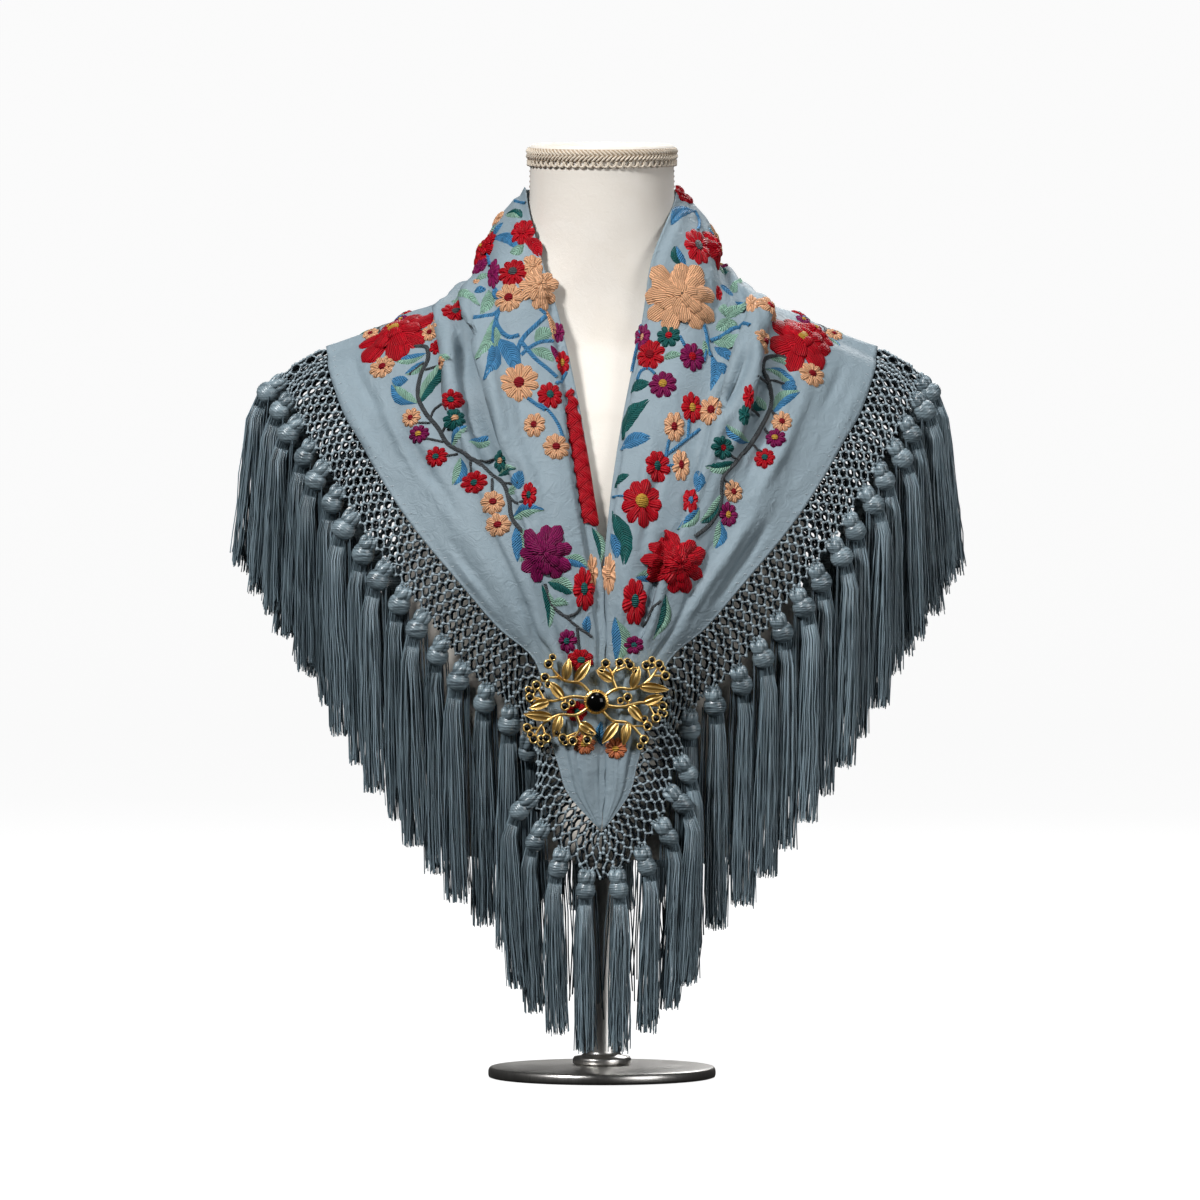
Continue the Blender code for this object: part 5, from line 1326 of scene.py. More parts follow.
class Embroidery:
    """All needlework of the shawl: the front after the photograph, the back in sprays of the same kinds."""

    band_pitch = 7.5  # pixels between two pads
    band_width = 16.0
    band_slants = (0.78, -0.78)  # of the pads, in radians
    band_height = 2.4 * MM
    pad_height = 2.2 * MM
    pad_squash = 0.62
    stem_height = 1.25 * MM
    spray_stem_width = 3.2 * MM
    spray_stem_height = 0.8 * MM
    least_facing = 0.62  # a flower is drawn out no further than one that faces the camera this much

    def __init__(self, cloth: ShawlCloth, materials: Sequence[bpy.types.Material]) -> None:
        self.cloth = cloth
        self.canvas = Canvas(cloth)
        self.materials = materials

    def front(self) -> bpy.types.Object:
        """The flowers, leaves and stems that the photograph shows."""
        work = Needlework(self.canvas)
        for stem in FRONT_STEMS:
            work.ribbon(self.canvas.points_at(stem.line), stem.width * PIXEL, self.stem_height, stem.silk)
        for leaf in FRONT_LEAVES:
            self.front_leaf(work, leaf)
        for number, flower in enumerate(FRONT_FLOWERS):
            patch = self.canvas.patch_at(flower.x, flower.y, max(flower.width, flower.height))
            if patch is not None:
                self.flower(work, patch, flower, number)
        self.inner_band(work)
        return work.builder.build("embroidery_front", self.materials)

    def flower(self, work: Needlework, patch: Patch, flower: Flower, number: int) -> None:
        """One flower of the front, drawn out where the cloth turns away from the camera."""
        right, up, _ = VIEW.axes()
        wide = flower.width * PIXEL / max(abs(patch.right @ right), self.least_facing)
        tall = flower.height * PIXEL / max(abs(patch.up @ up), self.least_facing)
        squash = tall / wide
        turn = 0.35 * number + 0.2
        if flower.kind == "poppy":
            work.poppy(patch, wide, flower.silk, flower.eye, turn, squash)
        elif flower.kind == "peony":
            work.peony(patch, wide, flower.silk, turn, squash)
        else:
            work.daisy(patch, wide, flower.petals, flower.silk, flower.eye, turn, squash)

    def front_leaf(self, work: Needlework, leaf: Leaf) -> None:
        """One leaf of the front, from its root to its tip."""
        ends = self.canvas.points_at((leaf.root, leaf.tip))
        middle = ((leaf.root[0] + leaf.tip[0]) / 2, (leaf.root[1] + leaf.tip[1]) / 2)
        patch = self.canvas.patch_at(*middle, leaf.width)
        if patch is None or len(ends) < 2:
            return
        x, y = (ends[1] - ends[0]) @ patch.right, (ends[1] - ends[0]) @ patch.up
        work.leaf(patch, math.atan2(y, x), math.hypot(x, y) * 1.04, leaf.width * PIXEL * 1.05, leaf.left,
                  leaf.right)

    def inner_band(self, work: Needlework) -> None:
        """Satin pads laid to and fro, as in a plait, over a padded ribbon on the left front's inner band."""
        line = np.array(BAND_LINE, float)
        run = run_of(line)
        points = self.canvas.points_at(line)
        work.ribbon(points[::-1], self.band_width * PIXEL, self.band_height, R, taper=True)
        for number, distance in enumerate(np.arange(5.0, run[-1] - 2, self.band_pitch)):
            x, y = along_line(line, distance)
            slant = self.band_slants[number % 2]
            patch = self.canvas.patch_at(x + math.copysign(1.5, -slant), y, 3)
            if patch is None:
                continue
            c, d = math.cos(slant), math.sin(slant)
            turned = patch._replace(right=patch.right * c + patch.up * d, up=patch.up * c - patch.right * d)
            reach = self.band_width * min(1.0, 0.6 + distance / 60) / 2
            work.dome(turned, reach * 1.05 * PIXEL, self.pad_height, R, base=1.0 * MM, squash=self.pad_squash)

    def back(self) -> bpy.types.Object:
        """Sprays over the back and the shoulders, which the photograph doesn't show."""
        work = Needlework(self.canvas)
        for place in SPRAY_PLACES:
            self.spray(work, place)
        return work.builder.build("embroidery_back", self.materials)

    def spray(self, work: Needlework, place: SprayPlace) -> None:
        """One spray at its place."""
        point, out = self.cloth.at(place.t, place.share)
        side, _ = self.cloth.at(place.t + 0.05, place.share)
        home = self.canvas.framed(point, out, unit(side - point))
        c, d = math.cos(place.turn), math.sin(place.turn)
        flip = -1.0 if place.mirrored else 1.0

        def spot(x: float, y: float) -> Point:
            x, y = flip * x * MM * place.scale, y * MM * place.scale
            return home.centre + home.right * (x * c - y * d) + home.up * (x * d + y * c)

        stem, parts = SPRAYS[place.design]
        knots = np.array([spot(*knot) for knot in stem])
        work.ribbon(knots, self.spray_stem_width, self.spray_stem_height, G)
        for number, part in enumerate(parts):
            centre, normal = self.canvas.near(spot(part.x, part.y))
            patch = self.canvas.framed(centre, unit(normal + out * 0.3), home.right)
            size = part.size * MM * place.scale
            turn = (math.pi - part.turn if place.mirrored else part.turn) + place.turn
            if part.kind == "leaf":
                work.leaf(patch, turn, size, size * 0.42, part.silk, part.other)
            elif part.kind == "poppy":
                work.poppy(patch, size, part.silk, part.other, number + place.t)
            elif part.kind == "peony":
                work.peony(patch, size, part.silk, number + place.t)
            else:
                work.daisy(patch, size, 8, part.silk, part.other, number + place.t)


# ---------------------------------------------------------------- geometry node trees
class Tree:
    """A geometry node tree with short calls to add nodes and join sockets."""

    def __init__(self, name: str, inputs: Sequence[tuple[str, str]]) -> None:
        self.tree = bpy.data.node_groups.new(name, "GeometryNodeTree")
        self.tree.interface.new_socket("Geometry", in_out="INPUT", socket_type="NodeSocketGeometry")
        for label, kind in inputs:
            self.tree.interface.new_socket(label, in_out="INPUT", socket_type=kind)
        self.tree.interface.new_socket("Geometry", in_out="OUTPUT", socket_type="NodeSocketGeometry")
        self.start = self.tree.nodes.new("NodeGroupInput")
        self.end = self.tree.nodes.new("NodeGroupOutput")

    def add(self, kind: str, joins: dict, **settings) -> bpy.types.Node:
        """A node with settings, whose named inputs are joined to sockets or set to values."""
        node = self.tree.nodes.new(kind)
        for key, value in settings.items():
            setattr(node, key, value)
        for label, value in joins.items():
            if isinstance(value, bpy.types.NodeSocket):
                self.tree.links.new(value, node.inputs[label])
            else:
                node.inputs[label].default_value = value
        return node

    def attribute(self, name: str, kind: str) -> bpy.types.NodeSocket:
        """A named value of the points."""
        node = self.add("GeometryNodeInputNamedAttribute", {"Name": name}, data_type=kind)
        return node.outputs["Attribute"]

    def close(self, geometry: bpy.types.NodeSocket) -> bpy.types.NodeTree:
        """Ends the tree: real geometry with its material."""
        real = self.add("GeometryNodeRealizeInstances", {"Geometry": geometry})
        dressed = self.add("GeometryNodeSetMaterial", {
            "Geometry": real.outputs["Geometry"], "Material": self.start.outputs["Material"],
        })
        self.tree.links.new(dressed.outputs["Geometry"], self.end.inputs["Geometry"])
        return self.tree


def strand_tree() -> bpy.types.NodeTree:
    """Turns bare lines into round strands of their own radius."""
    tree = Tree("strands", (("Sides", "NodeSocketInt"), ("Material", "NodeSocketMaterial")))
    curve = tree.add("GeometryNodeMeshToCurve", {"Mesh": tree.start.outputs["Geometry"]})
    sized = tree.add("GeometryNodeSetCurveRadius", {
        "Curve": curve.outputs["Curve"], "Radius": tree.attribute("radius", "FLOAT"),
    })
    ring = tree.add("GeometryNodeCurvePrimitiveCircle", {
        "Resolution": tree.start.outputs["Sides"], "Radius": 1.0,
    }, mode="RADIUS")
    tube = tree.add("GeometryNodeCurveToMesh", {
        "Curve": sized.outputs["Curve"], "Profile Curve": ring.outputs["Curve"], "Fill Caps": True,
    })
    if "Scale" in tube.inputs:
        tree.tree.links.new(tree.attribute("radius", "FLOAT"), tube.inputs["Scale"])
    return tree.close(tube.outputs["Mesh"])


def bead_tree() -> bpy.types.NodeTree:
    """Puts a small knot of its own size on each point."""
    tree = Tree("beads", (("Material", "NodeSocketMaterial"),))
    bead = tree.add("GeometryNodeMeshIcoSphere", {"Radius": 1.0, "Subdivisions": 1})
    copies = tree.add("GeometryNodeInstanceOnPoints", {
        "Points": tree.start.outputs["Geometry"], "Instance": bead.outputs["Mesh"],
        "Scale": tree.attribute("size", "FLOAT_VECTOR"),
    })
    turn = tree.add("FunctionNodeAlignRotationToVector", {
        "Vector": tree.attribute("axis", "FLOAT_VECTOR"),
    }, axis="Z")
    tree.tree.links.new(turn.outputs["Rotation"], copies.inputs["Rotation"])
    return tree.close(copies.outputs["Instances"])


def copy_tree() -> bpy.types.NodeTree:
    """Puts a copy of a shape on each point, along the point's axis and at its size."""
    tree = Tree("copies", (("Shape", "NodeSocketObject"), ("Material", "NodeSocketMaterial")))
    shape = tree.add("GeometryNodeObjectInfo", {"Object": tree.start.outputs["Shape"]},
                     transform_space="ORIGINAL")
    turn = tree.add("FunctionNodeAlignRotationToVector", {
        "Vector": tree.attribute("axis", "FLOAT_VECTOR"),
    }, axis="Z")
    copies = tree.add("GeometryNodeInstanceOnPoints", {
        "Points": tree.start.outputs["Geometry"], "Instance": shape.outputs["Geometry"],
        "Rotation": turn.outputs["Rotation"], "Scale": tree.attribute("size", "FLOAT_VECTOR"),
    })
    return tree.close(copies.outputs["Instances"])


STRANDS = strand_tree()
BEADS = bead_tree()
COPIES = copy_tree()


def grown(name: str, mesh: bpy.types.Mesh, tree: bpy.types.NodeTree, values: dict) -> bpy.types.Object:
    """The plain mesh that a tree makes of a mesh of lines or points.

    Args:
        name: the new object's name.
        mesh: the lines or points, which are used up.
        tree: the node tree.
        values: the tree's named inputs.

    Returns:
        An object without modifiers.
    """
    seed = link(name + "_seed", mesh)
    modifier = seed.modifiers.new("grow", "NODES")
    modifier.node_group = tree
    for socket in tree.interface.items_tree:
        if socket.in_out == "INPUT" and socket.name in values:
            modifier[socket.identifier] = values[socket.name]
    bpy.context.view_layer.update()
    graph = bpy.context.evaluated_depsgraph_get()
    solid = bpy.data.meshes.new_from_object(seed.evaluated_get(graph), preserve_all_data_layers=True,
                                            depsgraph=graph)
    solid.name = name
    bpy.data.objects.remove(seed)
    bpy.data.meshes.remove(mesh)
    if not solid.materials:
        solid.materials.append(values["Material"])
    solid.shade_smooth()
    return link(name, solid)


# ---------------------------------------------------------------- the net
class Stretch(NamedTuple):
    """A stretch of net and fringe: its name, its table, where it starts and ends, and its tassels' span."""

    name: str
    table: dict
    start: float
    end: float
    fringe_start: float
    fringe_end: float
    spacing: float
    skirt: float


USUAL_SKIRT = 8.4 * MM
STRETCHES = (
    Stretch("left_tail", LEFT_TAIL_NET_SECTIONS, -TIP, -TAIL_NET_START, -TIP, -PIN - 1.79, 0.0215, 0.0070),
    Stretch("left_front", NET_SECTIONS, -PIN, -RIDGE, -PIN, -RIDGE, 0.0235, 0.0082),
    Stretch("back", NET_SECTIONS, -RIDGE, RIDGE, -RIDGE, RIDGE, 0.0235, 0.0084),
    Stretch("right_front", NET_SECTIONS, RIDGE, PIN, RIDGE, PIN - 0.5, 0.0235, 0.0082),
    Stretch("right_tail", RIGHT_TAIL_NET_SECTIONS, TAIL_NET_START, TIP, TAIL_NET_START, TIP, 0.0215, 0.0070),
)
TIP_NET_GAP = 1.6 * MM
TIP_NET_INSET = 0.7 * MM


class NetSurface:
    """The middle surface of a stretch of net, read at a distance along it and a share across it."""

    samples_per_section = 7

    def __init__(self, drape: Drape, stretch: Stretch) -> None:
        count = max(8, int(abs(stretch.end - stretch.start) * self.samples_per_section))
        self.positions = np.linspace(stretch.start, stretch.end, count)
        rows = np.array([drape.net_row(t, stretch.table) for t in self.positions])
        if "tail" in stretch.name:
            tip_row = 0 if stretch.start < 0 else -1
            side = -1 if stretch.start < 0 else 1
            tip = drape.row(side * TIP, np.array([0.0]))[0]
            drops = TIP_NET_GAP + stretch.table["tail_tip"][0] * np.linspace(0, 1, rows.shape[1])
            rows[tip_row] = [(side * TIP_NET_INSET, tip[1], tip[2] - drop) for drop in drops]
            inner = tip_row + (1 if side < 0 else -1)
            rows[inner] = (rows[inner] + rows[tip_row]) / 2
        self.rows = rows
        self.normals = grid_normals(rows)
        middle = rows[:, rows.shape[1] // 2]
        self.run = (run_of(middle) + run_of(rows[:, -1])) / 2
        self.length = self.run[-1]

    def read(self, values: np.ndarray, distance: np.ndarray, share: np.ndarray) -> np.ndarray:
        """Values of the rows at distances along the net and shares across it."""
        distance, share = np.broadcast_arrays(distance, share)
        row = np.interp(distance, self.run, np.arange(len(self.run)))
        column = np.clip(share, 0, 1) * (values.shape[1] - 1)
        r = np.minimum(row.astype(int), len(values) - 2)
        c = np.minimum(column.astype(int), values.shape[1] - 2)
        f, g = (row - r)[..., None], (column - c)[..., None]
        return ((values[r, c] * (1 - g) + values[r, c + 1] * g) * (1 - f)
                + (values[r + 1, c] * (1 - g) + values[r + 1, c + 1] * g) * f)

    def point(self, distance: np.ndarray, share: np.ndarray) -> np.ndarray:
        """Points of the net's middle surface."""
        return self.read(self.rows, distance, share)

    def normal(self, distance: np.ndarray, share: np.ndarray) -> np.ndarray:
        """Unit normals of the net's middle surface."""
        return unit(self.read(self.normals, distance, share))


@dataclass
class KnottedNet:
    """A hand-knotted net: double knots in offset rows, with slack threads between them."""

    surface: NetSurface
    name: str
    cell: float = 7.9 * MM
    row_pitch: float = 6.1 * MM
    rows: int = field(init=False)
    knot_reach: float = 0.21  # from a mesh's middle to its knots, as a share of a row
    thread_radius: float = 0.66 * MM
    knot_radius: float = 1.34 * MM
    sag: float = 0.35 * MM
    jitter: float = 0.072 * MM
    doubled: float = 1.15  # the thickness of the two threads between a mesh's knots, to one
    edge_inset: float = 0.6 * MM
    # the threads' tone stays below this share of the silk's range, so that the knots' painted highlight stands
    # out
    thread_shade: float = 0.70
    shade_net_gap: float = 1.9 * MM  # from the net down to the darker one under it, a painted shade behind the net's holes
    shade_net_radius: float = 1.02 * MM
    shade_net_share: float = 1.5  # its meshes to one of the net's
    seed: int = 5

    def __post_init__(self) -> None:
        widths = np.linalg.norm(np.diff(self.surface.rows, axis=1), axis=-1).sum(axis=1)
        self.rows = max(4, round(float(np.median(widths)) / self.row_pitch))
        LOG.info("%s: %d rows of knots", self.name, self.rows)

    def meshes(self, random: np.random.Generator, count: int, shift: float, behind: float) -> dict:
        """The upper and the lower knot of every mesh, by its row and number."""
        pitch = self.surface.length / count
        ends = {}
        for row in range(self.rows + 1):
            for k in range(count + (row % 2 == 0)):
                distance = np.clip((k + shift + 0.5 * (row % 2)) * pitch, self.edge_inset,
                                   self.surface.length - self.edge_inset)
                shares = np.array([(row + way * self.knot_reach) / self.rows for way in (-1, 1)])
                wander = random.normal(0, self.jitter, 3)
                ends[row, k] = [self.surface.point(distance, share) + wander
                                - self.surface.normal(distance, share) * behind for share in shares]
        return ends

    def painted_shade_net(self, random: np.random.Generator, count: int) -> tuple[list, list, list]:
        """The threads of the darker net, a painted shade behind the net's holes: lines, radii and shades."""
        ends = self.meshes(random, round(count * self.shade_net_share), 0.5, self.shade_net_gap)
        lines = []
        for (row, k), (upper, lower) in ends.items():
            lines.append(np.array([upper, lower]))
            for next_k in ((k - 1, k) if row % 2 == 0 else (k, k + 1)):
                below = ends.get((row + 1, next_k))
                if below is not None:
                    lines.append(np.array([lower, below[0]]))
        return lines, [self.shade_net_radius] * len(lines), [0.0] * len(lines)

    def build(self, material: bpy.types.Material, dark: bpy.types.Material) -> bpy.types.Object:
        """The net's threads and knots, and the darker net of painted shade under them, as one piece."""
        random = np.random.default_rng(self.seed)
        count = max(4, round(self.surface.length / self.cell))
        ends = self.meshes(random, count, 0.0, 0.0)
        lines, radii, shades, knots, axes = [], [], [], [], []
        for (row, k), (upper, lower) in ends.items():
            if row:
                lines.append(np.array([upper, (upper + lower) / 2, lower]))
                radii.append(self.thread_radius * self.doubled)
                shades.append(random.random() * self.thread_shade)
                knots.append(upper)
                axes.append(lower - upper)
            if row < self.rows:
                knots.append(lower)
                axes.append(lower - upper)
            for next_k in ((k - 1, k) if row % 2 == 0 else (k, k + 1)):
                below = ends.get((row + 1, next_k))
                if below is not None:
                    normal = self.surface.normal(0.0, 0.5)
                    bow = random.uniform(-1, 1) * self.sag * normal + np.array([0, 0, -0.35 * self.sag])
                    lines.append(np.array([lower, (lower + below[0]) / 2 + bow, below[0]]))
                    radii.append(self.thread_radius)
                    shades.append(random.random() * self.thread_shade)
        threads = grown(self.name + "_threads", line_mesh("threads", lines, radii, shades), STRANDS,
                        {"Sides": 4, "Material": material})
        sizes = self.knot_radius * (1 + random.normal(0, 0.07, len(knots)))
        size = np.stack([sizes, sizes, sizes * 1.2], axis=-1)
        # the knots take the top of the silk's tone range, above the threads': a painted highlight on the knots
        seeds = attribute_mesh("knots", np.array(knots), np.zeros((0, 2)), {
            "size": size, "axis": np.array(axes), "shade": 1 - random.random(len(knots)) * 0.3,
        })
        beads = grown(self.name + "_knots", seeds, BEADS, {"Material": material})
        # the darker net under the net: dark, nearly matt threads that stand for the shade behind the net's
        # holes
        under = grown(self.name + "_under", line_mesh("under", *self.painted_shade_net(random, count)), STRANDS,
                      {"Sides": 3, "Material": dark})
        return joined(self.name, [threads, beads, under])


# ---------------------------------------------------------------- the tassels
# Each loop over a head: its two ends' places to the side, its rise and its thickness, as shares.
HEAD_LOOPS = ((-1.2, -0.7, 0.3, 1.0), (1.2, 0.8, 0.3, 0.95), (-0.5, 0.5, 1.0, 1.12))
HEAD_TIES = (-3.1, -1.1, 1.1, 3.1)  # the threads that tie a head to the net: mm to the side


@dataclass
class Fringe:
    """The tassels of a stretch: looped knots, a wound head and a skirt of loose silk that hangs plumb."""

    surface: NetSurface
    stretch: Stretch
    name: str
    strands: int = 84
    strand_radius: float = 0.48 * MM
    strand_points: int = 7
    drop: float = 3.4 * MM
    head_height: float = 15.0 * MM
    head_radius: float = 8.3 * MM
    loop_radius: float = 2.7 * MM
    head_pull: float = 0.80  # how far a head leans the net's way
    hidden_strands: int = 14  # dark-toned loose strands that hang behind each head: painted shade on the next tassels' dark side
    hidden_reach: float = 7.5 * MM
    overlap: float = 3.2 * MM  # of a head's loops over the net's last row
    waver: float = 0.55 * MM
    uneven: float = 11.0 * MM
    stagger_share: float = 0.45
    clearance: float = 2.0 * MM
    floor: float = 22.0 * MM
    locks: int = 5  # into which a skirt's strands gather
    golden_angle: float = 2.39996
    cord_inset: float = 1.0 * MM
    seed: int = 11

    def edge(self) -> tuple[np.ndarray, np.ndarray, np.ndarray]:
        """The net's last line within the fringe's span: points, positions and outward directions."""
        positions = self.surface.positions
        low, high = sorted((self.stretch.fringe_start, self.stretch.fringe_end))
        inside = (positions >= low - 0.03) & (positions <= high + 0.03)
        rows = self.surface.rows[inside]
        return rows[:, -1], positions[inside], unit(rows[:, -1] - rows[:, -2])

    def places(self) -> list[tuple]:
        """For each tassel its net point, net direction, the top and foot of its plumb line and its length."""
        line, positions, outward = self.edge()
        run = run_of(line)
        count = round(run[-1] / self.stretch.spacing)
        spacing = run[-1] / count
        places = []
        for number in range(count):
            distance = (number + 0.5) * spacing
            t = np.interp(distance, run, positions)
            length, lean = read_sections(TASSEL_SECTIONS, t)
            out = unit(np.array([np.interp(distance, run, outward[:, k]) for k in range(3)]))
            root = along_line(line, distance) + out * self.cord_inset
            ahead = along_line(line, distance + spacing / 2) - along_line(line, distance - spacing / 2)
            level = math.hypot(ahead[0], ahead[1])
            apart = 2 * self.stretch.skirt + self.clearance
            stagger = math.sqrt(max(apart ** 2 - level ** 2, 0)) / 2 + 0.6 * MM
            side = np.array([-ahead[1], ahead[0], 0.0]) / max(level, MM) * stagger * (1 if number % 2 else -1)
            hang = np.array([math.copysign(lean, t), 0.0, -1.0])
            length = min(length, root[2] - self.floor)
            places.append((root, out, side, hang, length))
        return places

    def build(self, thread: bpy.types.Material, wound: bpy.types.Material,
              head_shape: bpy.types.Object) -> bpy.types.Object:
        """All tassels of the stretch as one piece."""
        random = np.random.default_rng(self.seed)
        lines, radii, shades = [], [], []
        loops, loop_radii, loop_shades = [], [], []
        tops, axes, sizes = [], [], []
        for number, (root, out, side, hang, length) in enumerate(self.places()):
            side = side * self.stagger_share
            way = unit(hang * (1 - self.head_pull) + out * self.head_pull)
            bottom = root + side + way * (self.drop + self.head_height)
            start = root - out * self.overlap
            root = root + (way - hang * way.dot(hang)) * self.head_height
            axis = unit(bottom - start)
            span = np.linalg.norm(bottom - start)
            head_height = self.head_height * random.uniform(0.95, 1.05)
            head_top = bottom - axis * head_height
            tops.append(head_top)
            axes.append(axis)
            radius = self.head_radius * self.stretch.skirt / USUAL_SKIRT * random.uniform(0.97, 1.04)
            sizes.append((radius, radius, head_height))
            self.add_loops(random, start, head_top, axis, span, loops, loop_radii, loop_shades)
            self.add_skirt(random, number, bottom, axis, side, root, hang, length, radius, lines, radii,
                           shades)
            self.add_hidden(random, bottom, hang, length - self.head_height, lines, radii, shades)
        made = [
            grown(self.name + "_silk", line_mesh("silk", lines, radii, shades), STRANDS,
                  {"Sides": 3, "Material": thread}),
            grown(self.name + "_loops", line_mesh("loops", loops, loop_radii, loop_shades), STRANDS,
                  {"Sides": 7, "Material": wound}),
            grown(self.name + "_heads", attribute_mesh("heads", np.array(tops), np.zeros((0, 2)), {
                "axis": np.array(axes), "size": np.array(sizes), "shade": random.random(len(tops)),
            }), COPIES, {"Shape": head_shape, "Material": wound}),
        ]
        LOG.info("%s: %d tassels of %d strands", self.name, len(tops), self.strands)
        return joined(self.name, made)

    def add_loops(self, random: np.random.Generator, start: Point, head_top: Point, axis: Point, span: float,
                  loops: list, radii: list, shades: list) -> None:
        """Fat loops over the head, and the threads that tie them to the net."""
        side = unit(np.cross(axis, [0.0, -1.0, 0.25]))
        front = np.cross(side, axis)
        share = np.linspace(0, 1, 8)
        bow = np.sin(math.pi * share)
        foot = head_top + axis * 4.5 * MM
        for first, last, rise, size in HEAD_LOOPS:
            middle = start + (foot - start) * share[:, None]
            spread = side * (first + (last - first) * share[:, None]) * 3.6 * MM
            out = front * (0.6 + 2.4 * rise) * MM * (0.45 + 0.55 * bow)[:, None]
            loops.append(middle + spread + out + front * 1.6 * MM * share[:, None])
            radii.append(self.loop_radius * size * np.maximum(bow, 0.0) ** 0.4 * 0.98 + 0.25 * MM)
            shades.append(random.uniform(0.0, 1.0))
        for shift in HEAD_TIES:
            end = start - axis * 1.5 * MM + side * shift * 1.3 * MM
            loops.append(np.array([start + axis * 2 * MM + side * shift * 0.6 * MM,
                                   start + side * shift * MM + front * 0.6 * MM, end]))
            radii.append(0.8 * MM)
            shades.append(random.random())

    def add_hidden(self, random: np.random.Generator, start: Point, hang: Point, length: float, lines: list,
                   radii: list, shades: list) -> None:
        """Loose strands behind a head, which fill the space between the skirts; their tone is kept near the
        silk's darkest, as painted shade.
        """
        inward = unit(np.array([-start[0], -start[1] + 0.02, 0.0]))
        along = np.array([-inward[1], inward[0], 0.0])
        for k in range(self.hidden_strands):
            shift = (k / (self.hidden_strands - 1) - 0.5) * self.stretch.spacing
            top = start + along * shift * 0.7 + inward * random.uniform(4.0, 6.5) * MM - hang * 6 * MM
            foot = top + along * shift * 0.4 + hang * length * random.uniform(0.62, 0.88)
            foot += inward * random.uniform(0.0, 0.6) * self.hidden_reach
            share = np.linspace(0, 1, 4)[:, None]
            lines.append(top + (foot - top) * share + random.normal(0, self.waver, (4, 3)))
            radii.append(self.strand_radius * 1.2)
            # a dark tone only: painted shade between the skirts
            shades.append(random.random() * 0.15)

    def add_skirt(self, random: np.random.Generator, number: int, bottom: Point, axis: Point, side: Point,
                  root: Point, hang: Point, length: float, head: float, lines: list, radii: list,
                  shades: list) -> None:
        """Loose strands from inside the head: out over its rim, then plumb, in a few locks."""
        foot = root + side + hang * length
        plumb = foot - bottom
        drop = max(-plumb[2], 10 * MM)
        first = unit(np.cross(axis, [0.0, 1.0, 0.2]))
        second = np.cross(axis, first)
        locks = random.uniform(0, 2 * math.pi, self.locks)
        skirt = self.stretch.skirt * 1.08
        share = np.linspace(0, 1, self.strand_points) ** 1.15
        for k in range(self.strands):
            ring = math.sqrt((k + 0.5) / self.strands)
            angle = k * self.golden_angle + number
            lock = locks[np.abs(np.angle(np.exp(1j * (locks - angle)))).argmin()]
            pull = 0.22 * np.angle(np.exp(1j * (lock - angle)))
            near = head * 0.62 * (0.25 + 0.75 * ring)
            far = skirt * (0.12 + 0.88 * ring) * random.uniform(0.92, 1.14)
            spread = near + (far - near) * (1 - (1 - np.clip(share / 0.8, 0, 1)) ** 1.8)
            bearing = angle + pull * share
            level = np.stack([np.cos(bearing), np.sin(bearing), np.zeros_like(bearing)], axis=-1)
            tilted = np.cos(angle) * first + np.sin(angle) * second
            blend = np.clip(share * drop / (12 * MM), 0, 1)[:, None]
            radial = tilted * (1 - blend) + level * blend
            reach = share * drop
            early = np.clip(reach / (14 * MM), 0, 1)
            swing = axis * 14 * MM * (early - early ** 2 / 2)[:, None]
            drift = plumb - np.array([0, 0, plumb[2]]) - axis * np.array([1, 1, 0]) * 7 * MM
            middle = bottom - axis * 2.5 * MM + swing * np.array([1, 1, 0]) + drift * (share ** 1.3)[:, None]
            middle[:, 2] = bottom[2] - axis[2] * 2.5 * MM - reach
            wave = random.normal(0, self.waver, (self.strand_points, 3)) * np.clip(share * 3, 0, 1)[:, None]
            line = middle + radial * spread[:, None] + wave
            line[-1, 2] += (random.random() ** 1.6 * self.uneven - 1.5 * MM)
            line[-1, 2] = max(line[-1, 2], self.floor - 1.0 * MM)
            lines.append(line)
            radii.append(self.strand_radius * np.linspace(1.0, 0.85, self.strand_points)
                         * random.uniform(0.85, 1.15))
            shades.append(random.random())


def wound_head() -> bpy.types.Object:
    """The shape of a tassel's head, one high and one wide: a barrel of wound thread with rounded ends."""
    turns_of_thread, sides = 8, 18
    share = np.linspace(0, 1, turns_of_thread * 3 + 1)
    body = (1 - np.abs(2 * share * 0.97 - 1) ** 2.2) ** 0.48
    radius = np.maximum(body, 0.36) * (1 + 0.028 * np.cos(2 * math.pi * turns_of_thread * share))
    profile = np.concatenate([[[0.02, 0.0]], np.stack([radius, share], axis=-1), [[0.02, 1.0]]])
    builder = MeshBuilder()
    lathe(builder, np.zeros(3), np.array([0.0, 0.0, 1.0]), profile, sides, 0)
    shape = builder.build("wound_head", [])
    shape.hide_render = True
    return shape


